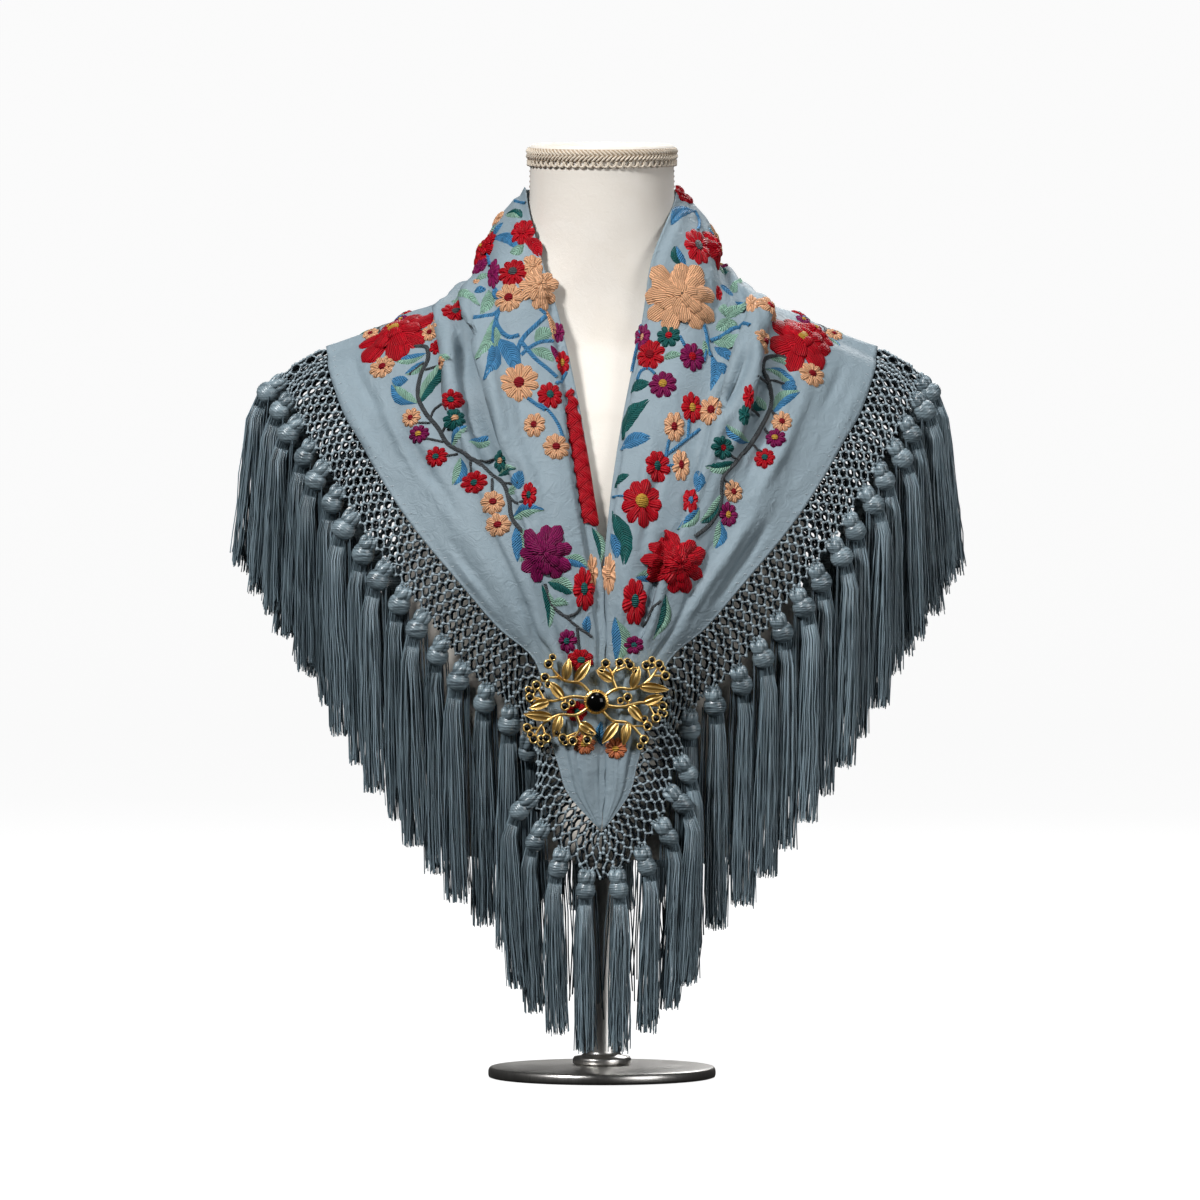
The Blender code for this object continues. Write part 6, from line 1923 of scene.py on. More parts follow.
# ---------------------------------------------------------------- shaders
class Shader:
    """A material's or a shader group's node tree with short calls."""

    def __init__(self, tree: bpy.types.NodeTree) -> None:
        self.tree = tree

    def add(self, kind: str, joins: dict | None = None, **settings) -> bpy.types.Node:
        """A node with settings, whose inputs, by name or number, are joined or set."""
        node = self.tree.nodes.new(kind)
        for key, value in settings.items():
            setattr(node, key, value)
        for label, value in (joins or {}).items():
            self.put(node.inputs[label], value)
        return node

    def put(self, socket: bpy.types.NodeSocket, value) -> None:
        """Joins a socket to another one or sets it."""
        if isinstance(value, bpy.types.NodeSocket):
            self.tree.links.new(value, socket)
        else:
            socket.default_value = value

    def math(self, operation: str, a, b=0.0) -> bpy.types.NodeSocket:
        """A sum, product or the like of two values."""
        return self.add("ShaderNodeMath", {0: a, 1: b}, operation=operation).outputs[0]

    def noise(self, scale: float, vector=None, detail: float = 3.0, distortion: float = 0.0):
        """Noise between 0 and 1, in cycles per metre."""
        joins = {"Scale": scale, "Detail": detail, "Distortion": distortion}
        joins["Vector"] = self.place() if vector is None else vector
        return self.add("ShaderNodeTexNoise", joins).outputs["Fac"]

    def place(self) -> bpy.types.NodeSocket:
        """Object coordinates in metres."""
        return self.add("ShaderNodeTexCoord").outputs["Object"]

    def uv(self) -> bpy.types.NodeSocket:
        """UV coordinates in metres."""
        return self.add("ShaderNodeUVMap", uv_map="UVMap").outputs["UV"]

    def part(self, vector, axis: str) -> bpy.types.NodeSocket:
        """One coordinate of a vector."""
        return self.add("ShaderNodeSeparateXYZ", {0: vector}).outputs[axis]

    def ramp(self, factor, low: float, high: float) -> bpy.types.NodeSocket:
        """A value mapped from 0..1 to low..high."""
        return self.add("ShaderNodeMapRange", {"Value": factor, "To Min": low, "To Max": high}).outputs[0]

    def blend(self, factor, first, second) -> bpy.types.NodeSocket:
        """A colour between two, each a socket or three numbers."""
        node = self.add("ShaderNodeMix", {0: factor}, data_type="RGBA")
        for number, colour in ((6, first), (7, second)):
            self.put(node.inputs[number], (*colour, 1.0) if isinstance(colour, tuple) else colour)
        return node.outputs[2]

    def bump(self, height, distance: float, strength: float = 1.0, normal=None) -> bpy.types.NodeSocket:
        """A normal from a height between 0 and 1."""
        joins = {"Height": height, "Distance": distance, "Strength": strength}
        if normal is not None:
            joins["Normal"] = normal
        return self.add("ShaderNodeBump", joins).outputs["Normal"]


def group(name: str, inputs: Sequence[tuple[str, float]], outputs: Sequence[str]) -> tuple:
    """An empty shader group, its start and its end."""
    tree = bpy.data.node_groups.new(name, "ShaderNodeTree")
    for label, value in inputs:
        tree.interface.new_socket(label, in_out="INPUT", socket_type="NodeSocketFloat").default_value = value
    for label in outputs:
        tree.interface.new_socket(label, in_out="OUTPUT", socket_type="NodeSocketFloat")
    return Shader(tree), tree.nodes.new("NodeGroupInput"), tree.nodes.new("NodeGroupOutput")


def thread_group() -> bpy.types.NodeTree:
    """Parallel threads across the first UV axis: their height, and a shade that differs thread by thread."""
    shader, start, end = group("threads", (("Pitch", 0.6 * MM), ("Waver", 0.5)), ("Height", "Shade"))
    uv = shader.uv()
    waver = shader.math("MULTIPLY", shader.noise(120.0, uv, 2.0), start.outputs["Waver"])
    position = shader.math("ADD", shader.math("DIVIDE", shader.part(uv, "X"), start.outputs["Pitch"]), waver)
    wave = shader.math("SINE", shader.math("MULTIPLY", position, 2 * math.pi))
    shader.put(end.inputs["Height"], shader.math("ADD", shader.math("MULTIPLY", wave, 0.5), 0.5))
    line = shader.math("FLOOR", position)
    shade = shader.add("ShaderNodeTexWhiteNoise", {"W": line}, noise_dimensions="1D").outputs["Value"]
    shader.put(end.inputs["Shade"], shade)
    return shader.tree


def crepe_group() -> bpy.types.NodeTree:
    """Crepe: a fine pebbled weave, faint wrinkles and a soft swell, as heights, and a slow change of shade."""
    shader, start, end = group("crepe", (("Grain", 1100.0), ("Wrinkle", 95.0)),
                               ("Grain", "Wrinkle", "Swell", "Shade"))
    place = shader.place()
    shader.put(end.inputs["Swell"], shader.noise(34.0, place, 2.0, 0.9))
    grain = shader.add("ShaderNodeTexVoronoi", {"Vector": place, "Scale": start.outputs["Grain"]})
    shader.put(end.inputs["Grain"], grain.outputs["Distance"])
    wrinkle = shader.add("ShaderNodeTexNoise", {
        "Vector": place, "Scale": start.outputs["Wrinkle"], "Detail": 4.0, "Distortion": 1.6,
    })
    crest = shader.math("ABSOLUTE", shader.math("SUBTRACT", wrinkle.outputs["Fac"], 0.5))
    shader.put(end.inputs["Wrinkle"], shader.math("MULTIPLY", crest, 3.0))
    shader.put(end.inputs["Shade"], shader.noise(14.0, place, 3.0, 0.4))
    return shader.tree


def weave_group() -> bpy.types.NodeTree:
    """A plain weave of cotton yarns, as a height."""
    shader, start, end = group("weave", (("Pitch", 0.55 * MM),), ("Height", "Slub"))
    place = shader.place()
    waves = []
    for axis in ("X", "Z"):
        position = shader.math("DIVIDE", shader.part(place, axis), start.outputs["Pitch"])
        waves.append(shader.math("ABSOLUTE", shader.math("SINE", shader.math("MULTIPLY", position, math.pi))))
    shader.put(end.inputs["Height"], shader.math("MAXIMUM", *waves))
    shader.put(end.inputs["Slub"], shader.noise(420.0, place, 3.0))
    return shader.tree


def wear_group() -> bpy.types.NodeTree:
    """A mask of handling marks: small spots and rubs in patches."""
    shader, start, end = group("wear", (("Spots", 260.0), ("Patches", 22.0)), ("Mask",))
    place = shader.place()
    spots = shader.add("ShaderNodeTexNoise", {
        "Vector": place, "Scale": start.outputs["Spots"], "Detail": 5.0,
    })
    patches = shader.add("ShaderNodeTexNoise", {"Vector": place, "Scale": start.outputs["Patches"]})
    shader.put(end.inputs["Mask"], shader.math("MULTIPLY", spots.outputs["Fac"], patches.outputs["Fac"]))
    return shader.tree


THREADS = thread_group()
CREPE = crepe_group()
WEAVE = weave_group()
WEAR = wear_group()


class Finish:
    """What every finish shares: a material with a principled shader."""

    def start(self, name: str) -> tuple[bpy.types.Material, Shader, bpy.types.Node]:
        """A new material, its tree and its shader node."""
        material = bpy.data.materials.new(name)
        material.use_nodes = True
        shader = Shader(material.node_tree)
        return material, shader, material.node_tree.nodes["Principled BSDF"]

    def grouped(self, shader: Shader, tree: bpy.types.NodeTree, values: dict) -> bpy.types.Node:
        """A shader group's node with its inputs set."""
        node = shader.tree.nodes.new("ShaderNodeGroup")
        node.node_tree = tree
        for label, value in values.items():
            node.inputs[label].default_value = value
        return node


@dataclass(frozen=True)
class CrepeFinish(Finish):
    """Grey-blue silk crepe, matt with a soft bloom."""

    light: tuple = (0.290, 0.365, 0.412)
    dark: tuple = (0.205, 0.270, 0.312)
    roughness: float = 0.60

    def build(self) -> bpy.types.Material:
        """The cloth's material."""
        material, shader, surface = self.start("silk_crepe")
        crepe = self.grouped(shader, CREPE, {})
        # the wrinkles' height also lightens their crests and darkens their troughs in the colour: painted
        # shade; the Shade output is a slow random tone
        tone = shader.math("ADD", shader.math("MULTIPLY", crepe.outputs["Shade"], 0.75),
                           shader.math("MULTIPLY", crepe.outputs["Wrinkle"], 0.25))
        shader.put(surface.inputs["Base Color"], shader.blend(tone, self.dark, self.light))
        shader.put(surface.inputs["Roughness"], self.roughness)
        shader.put(surface.inputs["Specular IOR Level"], 0.35)
        fine = shader.bump(crepe.outputs["Grain"], 0.10 * MM, 0.5)
        puckered = shader.bump(crepe.outputs["Wrinkle"], 0.7 * MM, 0.6, fine)
        shader.put(surface.inputs["Normal"], shader.bump(crepe.outputs["Swell"], 3.2 * MM, 0.6, puckered))
        return material


@dataclass(frozen=True)
class SatinFinish(Finish):
    """Raised satin stitch in one colour of silk."""

    name: str
    colour: tuple
    roughness: float = 0.50
    pitch: float = 1.40 * MM
    depth: float = 0.80 * MM
    groove_shade_share: float = 0.30  # the colour between two threads, as a share of theirs: painted shade in the grooves

    def build(self) -> bpy.types.Material:
        """The thread's material."""
        material, shader, surface = self.start("satin_" + self.name)
        threads = self.grouped(shader, THREADS, {"Pitch": self.pitch, "Waver": 0.6})
        deep = tuple(channel * self.groove_shade_share for channel in self.colour)
        # darker where the threads' height is low: painted shade in the grooves; each thread's own Shade is a
        # random tone
        tone = shader.math("ADD", shader.math("MULTIPLY", threads.outputs["Height"], 0.55),
                           shader.math("MULTIPLY", threads.outputs["Shade"], 0.45))
        colour = shader.blend(shader.ramp(tone, 0.20, 1.1), deep, self.colour)
        shader.put(surface.inputs["Base Color"], colour)
        shader.put(surface.inputs["Roughness"], self.roughness)
        shader.put(surface.inputs["Specular IOR Level"], 0.22)
        shader.put(surface.inputs["Normal"], shader.bump(threads.outputs["Height"], self.depth, 1.0))
        return material


@dataclass(frozen=True)
class SilkCordFinish(Finish):
    """Loose or knotted silk thread whose strands differ a little from each other."""

    name: str
    dark: tuple
    light: tuple
    roughness: float = 0.42
    gloss: float = 0.6
    ply: float = 700.0

    def build(self) -> bpy.types.Material:
        """The strand's material."""
        material, shader, surface = self.start(self.name)
        shade = shader.add("ShaderNodeAttribute", attribute_name="shade").outputs["Fac"]
        patches = shader.noise(60.0, None, 2.0)
        tone = shader.math("ADD", shader.math("MULTIPLY", shade, 0.7), shader.math("MULTIPLY", patches, 0.3))
        shader.put(surface.inputs["Base Color"], shader.blend(tone, self.dark, self.light))
        shader.put(surface.inputs["Roughness"], self.roughness)
        shader.put(surface.inputs["Specular IOR Level"], self.gloss)
        shader.put(surface.inputs["Normal"], shader.bump(shader.noise(self.ply, None, 2.0), 0.15 * MM, 0.5))
        return material


@dataclass(frozen=True)
class WoundFinish(Finish):
    """Silk wound tightly in level turns."""

    dark: tuple = (0.024, 0.038, 0.048)
    light: tuple = (0.300, 0.390, 0.440)

    def build(self) -> bpy.types.Material:
        """The tassel heads' material."""
        material, shader, surface = self.start("wound_silk")
        place = shader.place()
        stretched = shader.add("ShaderNodeMapping", {"Vector": place, "Scale": (0.06, 0.06, 1.0)})
        turns = shader.noise(1300.0, stretched.outputs["Vector"], 2.0)
        lines = shader.add("ShaderNodeMapRange", {
            "Value": turns, "From Min": 0.36, "From Max": 0.62,
        }).outputs[0]
        shade = shader.add("ShaderNodeAttribute", attribute_name="shade").outputs["Fac"]
        tone = shader.math("ADD", shader.math("MULTIPLY", lines, 0.70), shader.math("MULTIPLY", shade, 0.35))
        shader.put(surface.inputs["Base Color"], shader.blend(tone, self.dark, self.light))
        shader.put(surface.inputs["Roughness"], 0.32)
        shader.put(surface.inputs["Specular IOR Level"], 0.8)
        shader.put(surface.inputs["Normal"], shader.bump(turns, 0.30 * MM, 0.6))
        return material


@dataclass(frozen=True)
class GiltFinish(Finish):
    """Polished gilt metal, darker and duller in patches where it was handled."""

    bright: tuple = (1.000, 0.690, 0.250)
    dull: tuple = (0.700, 0.400, 0.100)

    def build(self) -> bpy.types.Material:
        """The brooch's metal."""
        material, shader, surface = self.start("gilt")
        wear = self.grouped(shader, WEAR, {"Spots": 900.0, "Patches": 120.0})
        mask = shader.ramp(wear.outputs["Mask"], -0.5, 1.9)
        shader.put(surface.inputs["Base Color"], shader.blend(mask, self.bright, self.dull))
        shader.put(surface.inputs["Metallic"], 1.0)
        shader.put(surface.inputs["Roughness"], shader.ramp(wear.outputs["Mask"], 0.26, 0.48))
        shader.put(surface.inputs["Normal"], shader.bump(wear.outputs["Mask"], 0.12 * MM, 0.5))
        return material


@dataclass(frozen=True)
class GlassFinish(Finish):
    """Opaque black glass with a clear polish."""

    black: tuple = (0.001, 0.001, 0.001)
    smoky: tuple = (0.003, 0.003, 0.003)

    def build(self) -> bpy.types.Material:
        """The stones' material."""
        material, shader, surface = self.start("black_glass")
        smoke = shader.noise(300.0, None, 2.0)
        shader.put(surface.inputs["Base Color"], shader.blend(smoke, self.black, self.smoky))
        shader.put(surface.inputs["Roughness"], shader.ramp(smoke, 0.03, 0.08))
        shader.put(surface.inputs["Specular IOR Level"], 0.28)
        return material


@dataclass(frozen=True)
class LinenFinish(Finish):
    """Cream cotton cloth of the form's cover, finely woven, a little creased and toned with age."""

    pale: tuple = (0.880, 0.830, 0.760)
    toned: tuple = (0.800, 0.735, 0.650)

    def build(self) -> bpy.types.Material:
        """The cover's material."""
        material, shader, surface = self.start("form_linen")
        weave = self.grouped(shader, WEAVE, {"Pitch": 0.62 * MM})
        age = shader.noise(24.0, None, 4.0, 0.8)
        tint = shader.ramp(age, -0.6, 1.0)
        shader.put(surface.inputs["Base Color"], shader.blend(tint, self.pale, self.toned))
        shader.put(surface.inputs["Roughness"], 0.86)
        shader.put(surface.inputs["Sheen Weight"], 0.2)
        fine = shader.bump(weave.outputs["Height"], 0.12 * MM, 0.6)
        creased = shader.bump(shader.noise(150.0, None, 4.0, 1.8), 0.35 * MM, 0.6, fine)
        shader.put(surface.inputs["Normal"], creased)
        return material


@dataclass(frozen=True)
class BraidFinish(Finish):
    """Mercerised cotton gimp."""

    name: str = "gimp_braid"
    pale: tuple = (0.880, 0.810, 0.700)
    deep: tuple = (0.560, 0.440, 0.310)

    def build(self) -> bpy.types.Material:
        """The trimming's material."""
        material, shader, surface = self.start(self.name)
        tone = shader.noise(1100.0, None, 3.0)
        shader.put(surface.inputs["Base Color"], shader.blend(tone, self.deep, self.pale))
        shader.put(surface.inputs["Roughness"], 0.6)
        shader.put(surface.inputs["Sheen Weight"], 0.3)
        shader.put(surface.inputs["Normal"], shader.bump(tone, 0.2 * MM, 0.6))
        return material


@dataclass(frozen=True)
class StandFinish(Finish):
    """Satin nickel, finely brushed, with rubbed patches."""

    dull: tuple = (0.50, 0.49, 0.47)
    bright: tuple = (0.74, 0.72, 0.69)

    def build(self) -> bpy.types.Material:
        """The stand's metal."""
        material, shader, surface = self.start("brushed_nickel")
        place = shader.place()
        brushed = shader.add("ShaderNodeMapping", {"Vector": place, "Scale": (1.0, 1.0, 0.04)})
        lines = shader.noise(900.0, brushed.outputs["Vector"], 3.0)
        wear = self.grouped(shader, WEAR, {"Spots": 200.0, "Patches": 30.0})
        shader.put(surface.inputs["Base Color"], shader.blend(lines, self.dull, self.bright))
        shader.put(surface.inputs["Metallic"], 1.0)
        shader.put(surface.inputs["Roughness"], shader.ramp(wear.outputs["Mask"], 0.26, 0.52))
        shader.put(surface.inputs["Normal"], shader.bump(lines, 0.05 * MM, 0.5))
        return material


@dataclass(frozen=True)
class FloorFinish(Finish):
    """A plain pale floor that glows a little, so that it shows white under soft light."""

    low: tuple = (0.14, 0.14, 0.14)
    high: tuple = (0.15, 0.15, 0.15)
    glow: float = 0.94

    def build(self) -> bpy.types.Material:
        """The floor's material."""
        material, shader, surface = self.start("pale_floor")
        patches = shader.noise(3.0, None, 2.0)
        shader.put(surface.inputs["Base Color"], shader.blend(patches, self.low, self.high))
        shader.put(surface.inputs["Roughness"], 0.9)
        shader.put(surface.inputs["Emission Color"], (1.0, 1.0, 1.0, 1.0))
        shader.put(surface.inputs["Emission Strength"], self.glow)
        return material


SILK_COLOURS = {
    Silk.RED: (0.600, 0.002, 0.014), Silk.MAGENTA: (0.270, 0.006, 0.100), Silk.PEACH: (1.000, 0.540, 0.300),
    Silk.TEAL: (0.012, 0.140, 0.132), Silk.MINT: (0.340, 0.590, 0.460), Silk.BLUE: (0.078, 0.300, 0.580),
    Silk.GREY: (0.095, 0.105, 0.112), Silk.GARNET: (0.330, 0.004, 0.014), Silk.YELLOW: (0.740, 0.420, 0.060),
    Silk.CORAL: (0.850, 0.270, 0.115),
}


# ---------------------------------------------------------------- the dress form
class Ring(NamedTuple):
    """One ring of the form: how far it reaches to each way, how square it is, and its tilt in degrees."""

    z: float
    half_width: float
    front: float
    back: float
    squareness: float
    tilt: float


FORM_RINGS = tuple(Ring(*row) for row in (
    (0.160, 0.098, 0.074, 0.068, 2.2, 0.0), (0.166, 0.110, 0.083, 0.075, 2.2, 0.0),
    (0.215, 0.115, 0.092, 0.080, 2.2, 0.0), (0.270, 0.127, 0.109, 0.088, 2.2, 0.0),
    (0.320, 0.138, 0.123, 0.094, 2.25, 0.0), (0.355, 0.143, 0.126, 0.098, 2.3, 0.0),
    (0.400, 0.146, 0.118, 0.101, 2.4, 0.0), (0.445, 0.150, 0.103, 0.102, 2.5, 0.0),
    (0.480, 0.160, 0.085, 0.098, 2.5, 0.0), (0.503, 0.172, 0.070, 0.089, 2.4, 0.0),
    (0.518, 0.1747, 0.060, 0.078, 2.35, 0.0), (0.529, 0.162, 0.054, 0.070, 2.25, 0.0),
    (0.540, 0.142, 0.051, 0.065, 2.15, 0.0), (0.552, 0.114, 0.049, 0.061, 2.1, 0.0),
    (0.564, 0.090, 0.048, 0.058, 2.0, 0.0), (0.578, 0.0705, 0.048, 0.055, 2.0, 0.8),
    (0.596, 0.0585, 0.048, 0.052, 2.0, 1.8), (0.620, 0.0535, 0.0485, 0.0512, 2.0, 2.9),
    (0.645, 0.0523, 0.0488, 0.051, 2.0, 3.7), (0.6700, 0.0522, 0.049, 0.051, 2.0, 4.1),
))


@dataclass
class DressForm:
    """The stuffed form: a smooth cream cover with stitched side seams, a rolled neck rim and a gimp braid."""

    sides: int = 112
    ring_samples: int = 96
    inset: float = 0.5 * MM
    neck_top: float = 0.672
    neck_tilt: float = 4.1
    neck_half_width: float = 52.2 * MM
    neck_front: float = 49.0 * MM
    neck_back: float = 51.0 * MM
    rim_radius: float = 4.2 * MM
    cap_inset: float = 9.0 * MM
    cap_depth: float = 7.5 * MM
    braid_top: float = 3.0 * MM
    braid_foot: float = 14.0 * MM
    braid_stitches: int = 100
    braid_loops: int = 60
    braid_thread: float = 0.85 * MM
    seam_pitch: float = 3.7 * MM

    def ring(self, z: float, half_width: float, front: float, back: float, squareness: float,
             tilt: float) -> np.ndarray:
        """The points of one ring."""
        turns = np.linspace(0, 2 * math.pi, self.sides, endpoint=False)
        c, s = np.cos(turns), np.sin(turns)
        x = half_width * np.sign(c) * np.abs(c) ** (2 / squareness)
        y = np.where(s > 0, back, front) * np.sign(s) * np.abs(s) ** (2 / squareness)
        return np.stack([x, y, z + y * math.tan(math.radians(tilt))], axis=-1)

    def neck_ring(self, below: float, out: float) -> np.ndarray:
        """A ring of the neck at a depth below its top, moved outwards."""
        return self.ring(self.neck_top - below, self.neck_half_width + out, self.neck_front + out,
                         self.neck_back + out, 2.0, self.neck_tilt)

    def cover(self, material: bpy.types.Material) -> bpy.types.Object:
        """The cloth cover from the underside to the recess in the neck's top."""
        table = np.array(FORM_RINGS)
        heights = np.linspace(table[0, 0], table[-1, 0], self.ring_samples)
        values = smooth_through(table[:, 0], table[:, 1:], heights)
        rings = [self.ring(z, row[0] - self.inset, row[1] - self.inset, row[2] - self.inset, row[3], row[4])
                 for z, row in zip(heights, values)]
        foot = [rings[0] * [k, k, 1] for k in (0.02, 0.5, 0.96)]
        roll = []
        for turn in np.linspace(0.15, math.pi - 0.1, 8):
            out = -self.rim_radius + self.rim_radius * math.cos(turn)
            roll.append(self.neck_ring(self.rim_radius * (1 - math.sin(turn)) + 0.2 * MM, out + 0.4 * MM))
        cap = [self.neck_ring(self.cap_depth * k, -self.cap_inset - 1.4 * MM * k) for k in (0.5, 0.85, 1.0)]
        middle = [self.neck_ring(self.cap_depth - 0.6 * MM * (1 - k), -self.cap_inset - 2 * MM - reach)
                  for k, reach in ((0.8, 8 * MM), (0.4, 20 * MM), (0.1, 34 * MM), (0.0, 40.5 * MM))]
        grid = np.array([*foot, *rings, *roll, *cap, *middle])
        builder = MeshBuilder()
        turns = np.linspace(0, 2 * math.pi, self.sides, endpoint=False)
        uvs = np.stack(np.broadcast_arrays(turns[None] * 0.12, grid[..., 2]), axis=-1)
        builder.add_grid(grid, uvs, 0, closed=True)
        return builder.build("form_cover", [material])

    def seams(self, material: bpy.types.Material) -> bpy.types.Object:
        """Small stitches down the two side seams of the neck and over the shoulders."""
        points, axes = [], []
        table = np.array(FORM_RINGS)
        for side in (-1, 1):
            heights = np.linspace(self.neck_top - self.braid_foot - 2 * MM, 0.531, 160)
            values = smooth_through(table[:, 0], table[:, 1:], heights)
            line = np.stack([side * (values[:, 0] - self.inset + 0.15 * MM), np.zeros(160), heights], axis=-1)
            run = run_of(line)
            for distance in np.arange(0, run[-1], self.seam_pitch):
                for shift in (-0.7 * MM, 0.7 * MM):
                    place = along_line(line, distance)
                    place[1] = shift - 1.2 * MM
                    points.append(place)
                    axes.append(along_line(line, distance + MM) - along_line(line, distance - MM))
        size = np.tile([0.35 * MM, 0.35 * MM, 0.95 * MM], (len(points), 1))
        mesh = attribute_mesh("seams", np.array(points), np.zeros((0, 2)),
                              {"size": size, "axis": np.array(axes), "shade": np.zeros(len(points))})
        return grown("form_seams", mesh, BEADS, {"Material": material})

    def braid(self, material: bpy.types.Material) -> bpy.types.Object:
        """The gimp: a band in darker brown, painted shade between the stitches, two rows of slanted stitches
        that meet in a point, and loops along its foot.
        """
        builder = MeshBuilder()
        profile = ((self.braid_foot - 3 * MM, 0.35), (self.braid_foot - 3 * MM, 1.0), (self.braid_top, 1.0),
                   (self.braid_top - 0.5 * MM, 0.35))
        # the band's dark brown stands for the shade between the stitches
        painted_shade_ground = BraidFinish("gimp_ground", (0.520, 0.400, 0.280), (0.340, 0.240, 0.150)).build()
        grid = np.array([self.neck_ring(depth, out * MM) for depth, out in profile])
        uvs = np.zeros((*grid.shape[:2], 2))
        uvs[..., 1] = grid[..., 2]
        builder.add_grid(grid, uvs, 0, closed=True)
        band = builder.build("braid_band", [painted_shade_ground])
        outline = self.neck_ring(0.0, 1.0 * MM)
        outline = np.concatenate([outline, outline[:1]])
        run = run_of(outline)
        lines, radii, shades = [], [], []

        def at(distance: float, depth: float, out: float) -> Point:
            place = along_line(outline, distance % run[-1])
            outward = unit(place * [1, 1, 0])
            return place + outward * out - np.array([0, 0, depth])

        top, foot = self.braid_top, self.braid_foot - 3 * MM
        middle = (self.braid_top + self.braid_foot - 3 * MM) / 2
        pitch = run[-1] / self.braid_stitches
        for k in range(self.braid_stitches):
            for a, b in ((top, middle), (foot, middle)):
                start, end = k * pitch, (k + 1.5) * pitch
                lines.append(np.array([at(start, a, -0.2 * MM), at((start + end) / 2, (a + b) / 2, 0.9 * MM),
                                       at(end, b, 0.1 * MM)]))
                radii.append(np.array([0.6, 0.86, 0.7]) * MM)
                shades.append((k % 3) / 2)
        pitch = run[-1] / self.braid_loops
        for k in range(self.braid_loops):
            turns = np.linspace(-0.5, math.pi + 0.5, 9)
            lines.append(np.array([at((k + 0.5) * pitch + math.cos(turn) * pitch * 0.44,
                                      foot - 0.6 * MM + (0.9 + math.sin(turn)) * 2.5 * MM, 0.1 * MM)
                                   for turn in turns]))
            radii.append(self.braid_thread)
            shades.append(0.8)
        stitches = grown("braid_stitches", line_mesh("stitches", lines, radii, shades), STRANDS,
                         {"Sides": 6, "Material": material})
        return joined("form_gimp", [band, stitches])


@dataclass
class Stand:
    """The low round stand: a turned base and a pole with a collar at each end."""

    base_radius: float = 82 * MM
    base_height: float = 9 * MM
    pole_radius: float = 13 * MM
    collar_radius: float = 21 * MM
    collar_height: float = 8 * MM
    gap: float = 0.3 * MM
    form_foot: float = 0.160
    sides: int = 96

    def build(self, material: bpy.types.Material) -> tuple[bpy.types.Object, bpy.types.Object]:
        """The base and the pole."""
        up = np.array([0.0, 0.0, 1.0])
        r, h = self.base_radius, self.base_height
        profile = [(0.0005, 0.0), (r - 2 * MM, 0.0), (r - 0.5 * MM, 0.5 * MM), (r, 2 * MM), (r, h * 0.45)]
        profile += [(r - 2.2 * MM + 2.2 * MM * math.cos(a), h * 0.45 + (h * 0.4) * math.sin(a))
                    for a in np.linspace(0.3, math.pi / 2, 5)]
        profile += [(r * 0.8, h * 0.9), (r * 0.35, h), (0.0005, h)]
        base = MeshBuilder()
        lathe(base, np.zeros(3), up, profile, self.sides, 0)
        foot, top = h + self.gap, self.form_foot - self.gap
        c, p, k = self.collar_radius, self.pole_radius, self.collar_height
        lower = [(0.0005, foot), (c - MM, foot), (c, foot + MM), (c, foot + k * 0.5),
                 (c - MM, foot + k * 0.7), (p + 2 * MM, foot + k * 0.8), (p + 0.4 * MM, foot + k),
                 (p, foot + k + 2 * MM)]
        upper = [(radius, top + foot - z) for radius, z in lower[::-1]]
        pole = MeshBuilder()
        lathe(pole, np.zeros(3), up, [*lower, *upper], self.sides, 0)
        return base.build("stand_foot", [material]), pole.build("stand_rod", [material])


# ---------------------------------------------------------------- the brooch
# Half of the brooch, in shares of its half sizes, as in the part's own source: a generic spray.
BRANCHES = (
    ((0.05, 0.05), (0.28, 0.30), (0.52, 0.30), (0.74, 0.50), (0.88, 0.82)),
    ((0.05, -0.06), (0.34, -0.12), (0.62, -0.02), (0.88, -0.10)),
    ((0.04, -0.12), (0.22, -0.42), (0.46, -0.50), (0.66, -0.84)),
    ((0.28, 0.30), (0.23, 0.60), (0.33, 0.88)),
)
LEAVES = (
    ((0.50, 0.30), (0.60, 0.82)), ((0.60, 0.36), (1.02, 0.28)), ((0.46, -0.08), (0.66, -0.46)),
    ((0.30, -0.46), (0.08, -0.96)), ((0.44, -0.49), (0.38, -1.00)), ((0.24, 0.48), (0.00, 0.74)),
    ((0.66, -0.02), (0.94, 0.14)),
)
BERRIES = (
    ((0.86, 0.76), (0.88, 0.86)), ((0.76, 0.54), (0.70, 0.84)), ((0.80, 0.60), (0.97, 0.60)),
    ((0.82, -0.06), (0.93, -0.10)), ((0.72, -0.03), (0.84, -0.38)), ((0.64, -0.80), (0.67, -0.87)),
    ((0.52, -0.56), (0.72, -0.56)), ((0.32, 0.84), (0.33, 0.90)), ((0.24, 0.62), (0.13, 0.88)),
    ((0.27, 0.70), (0.47, 0.84)), ((0.44, -0.10), (0.44, 0.10)),
)


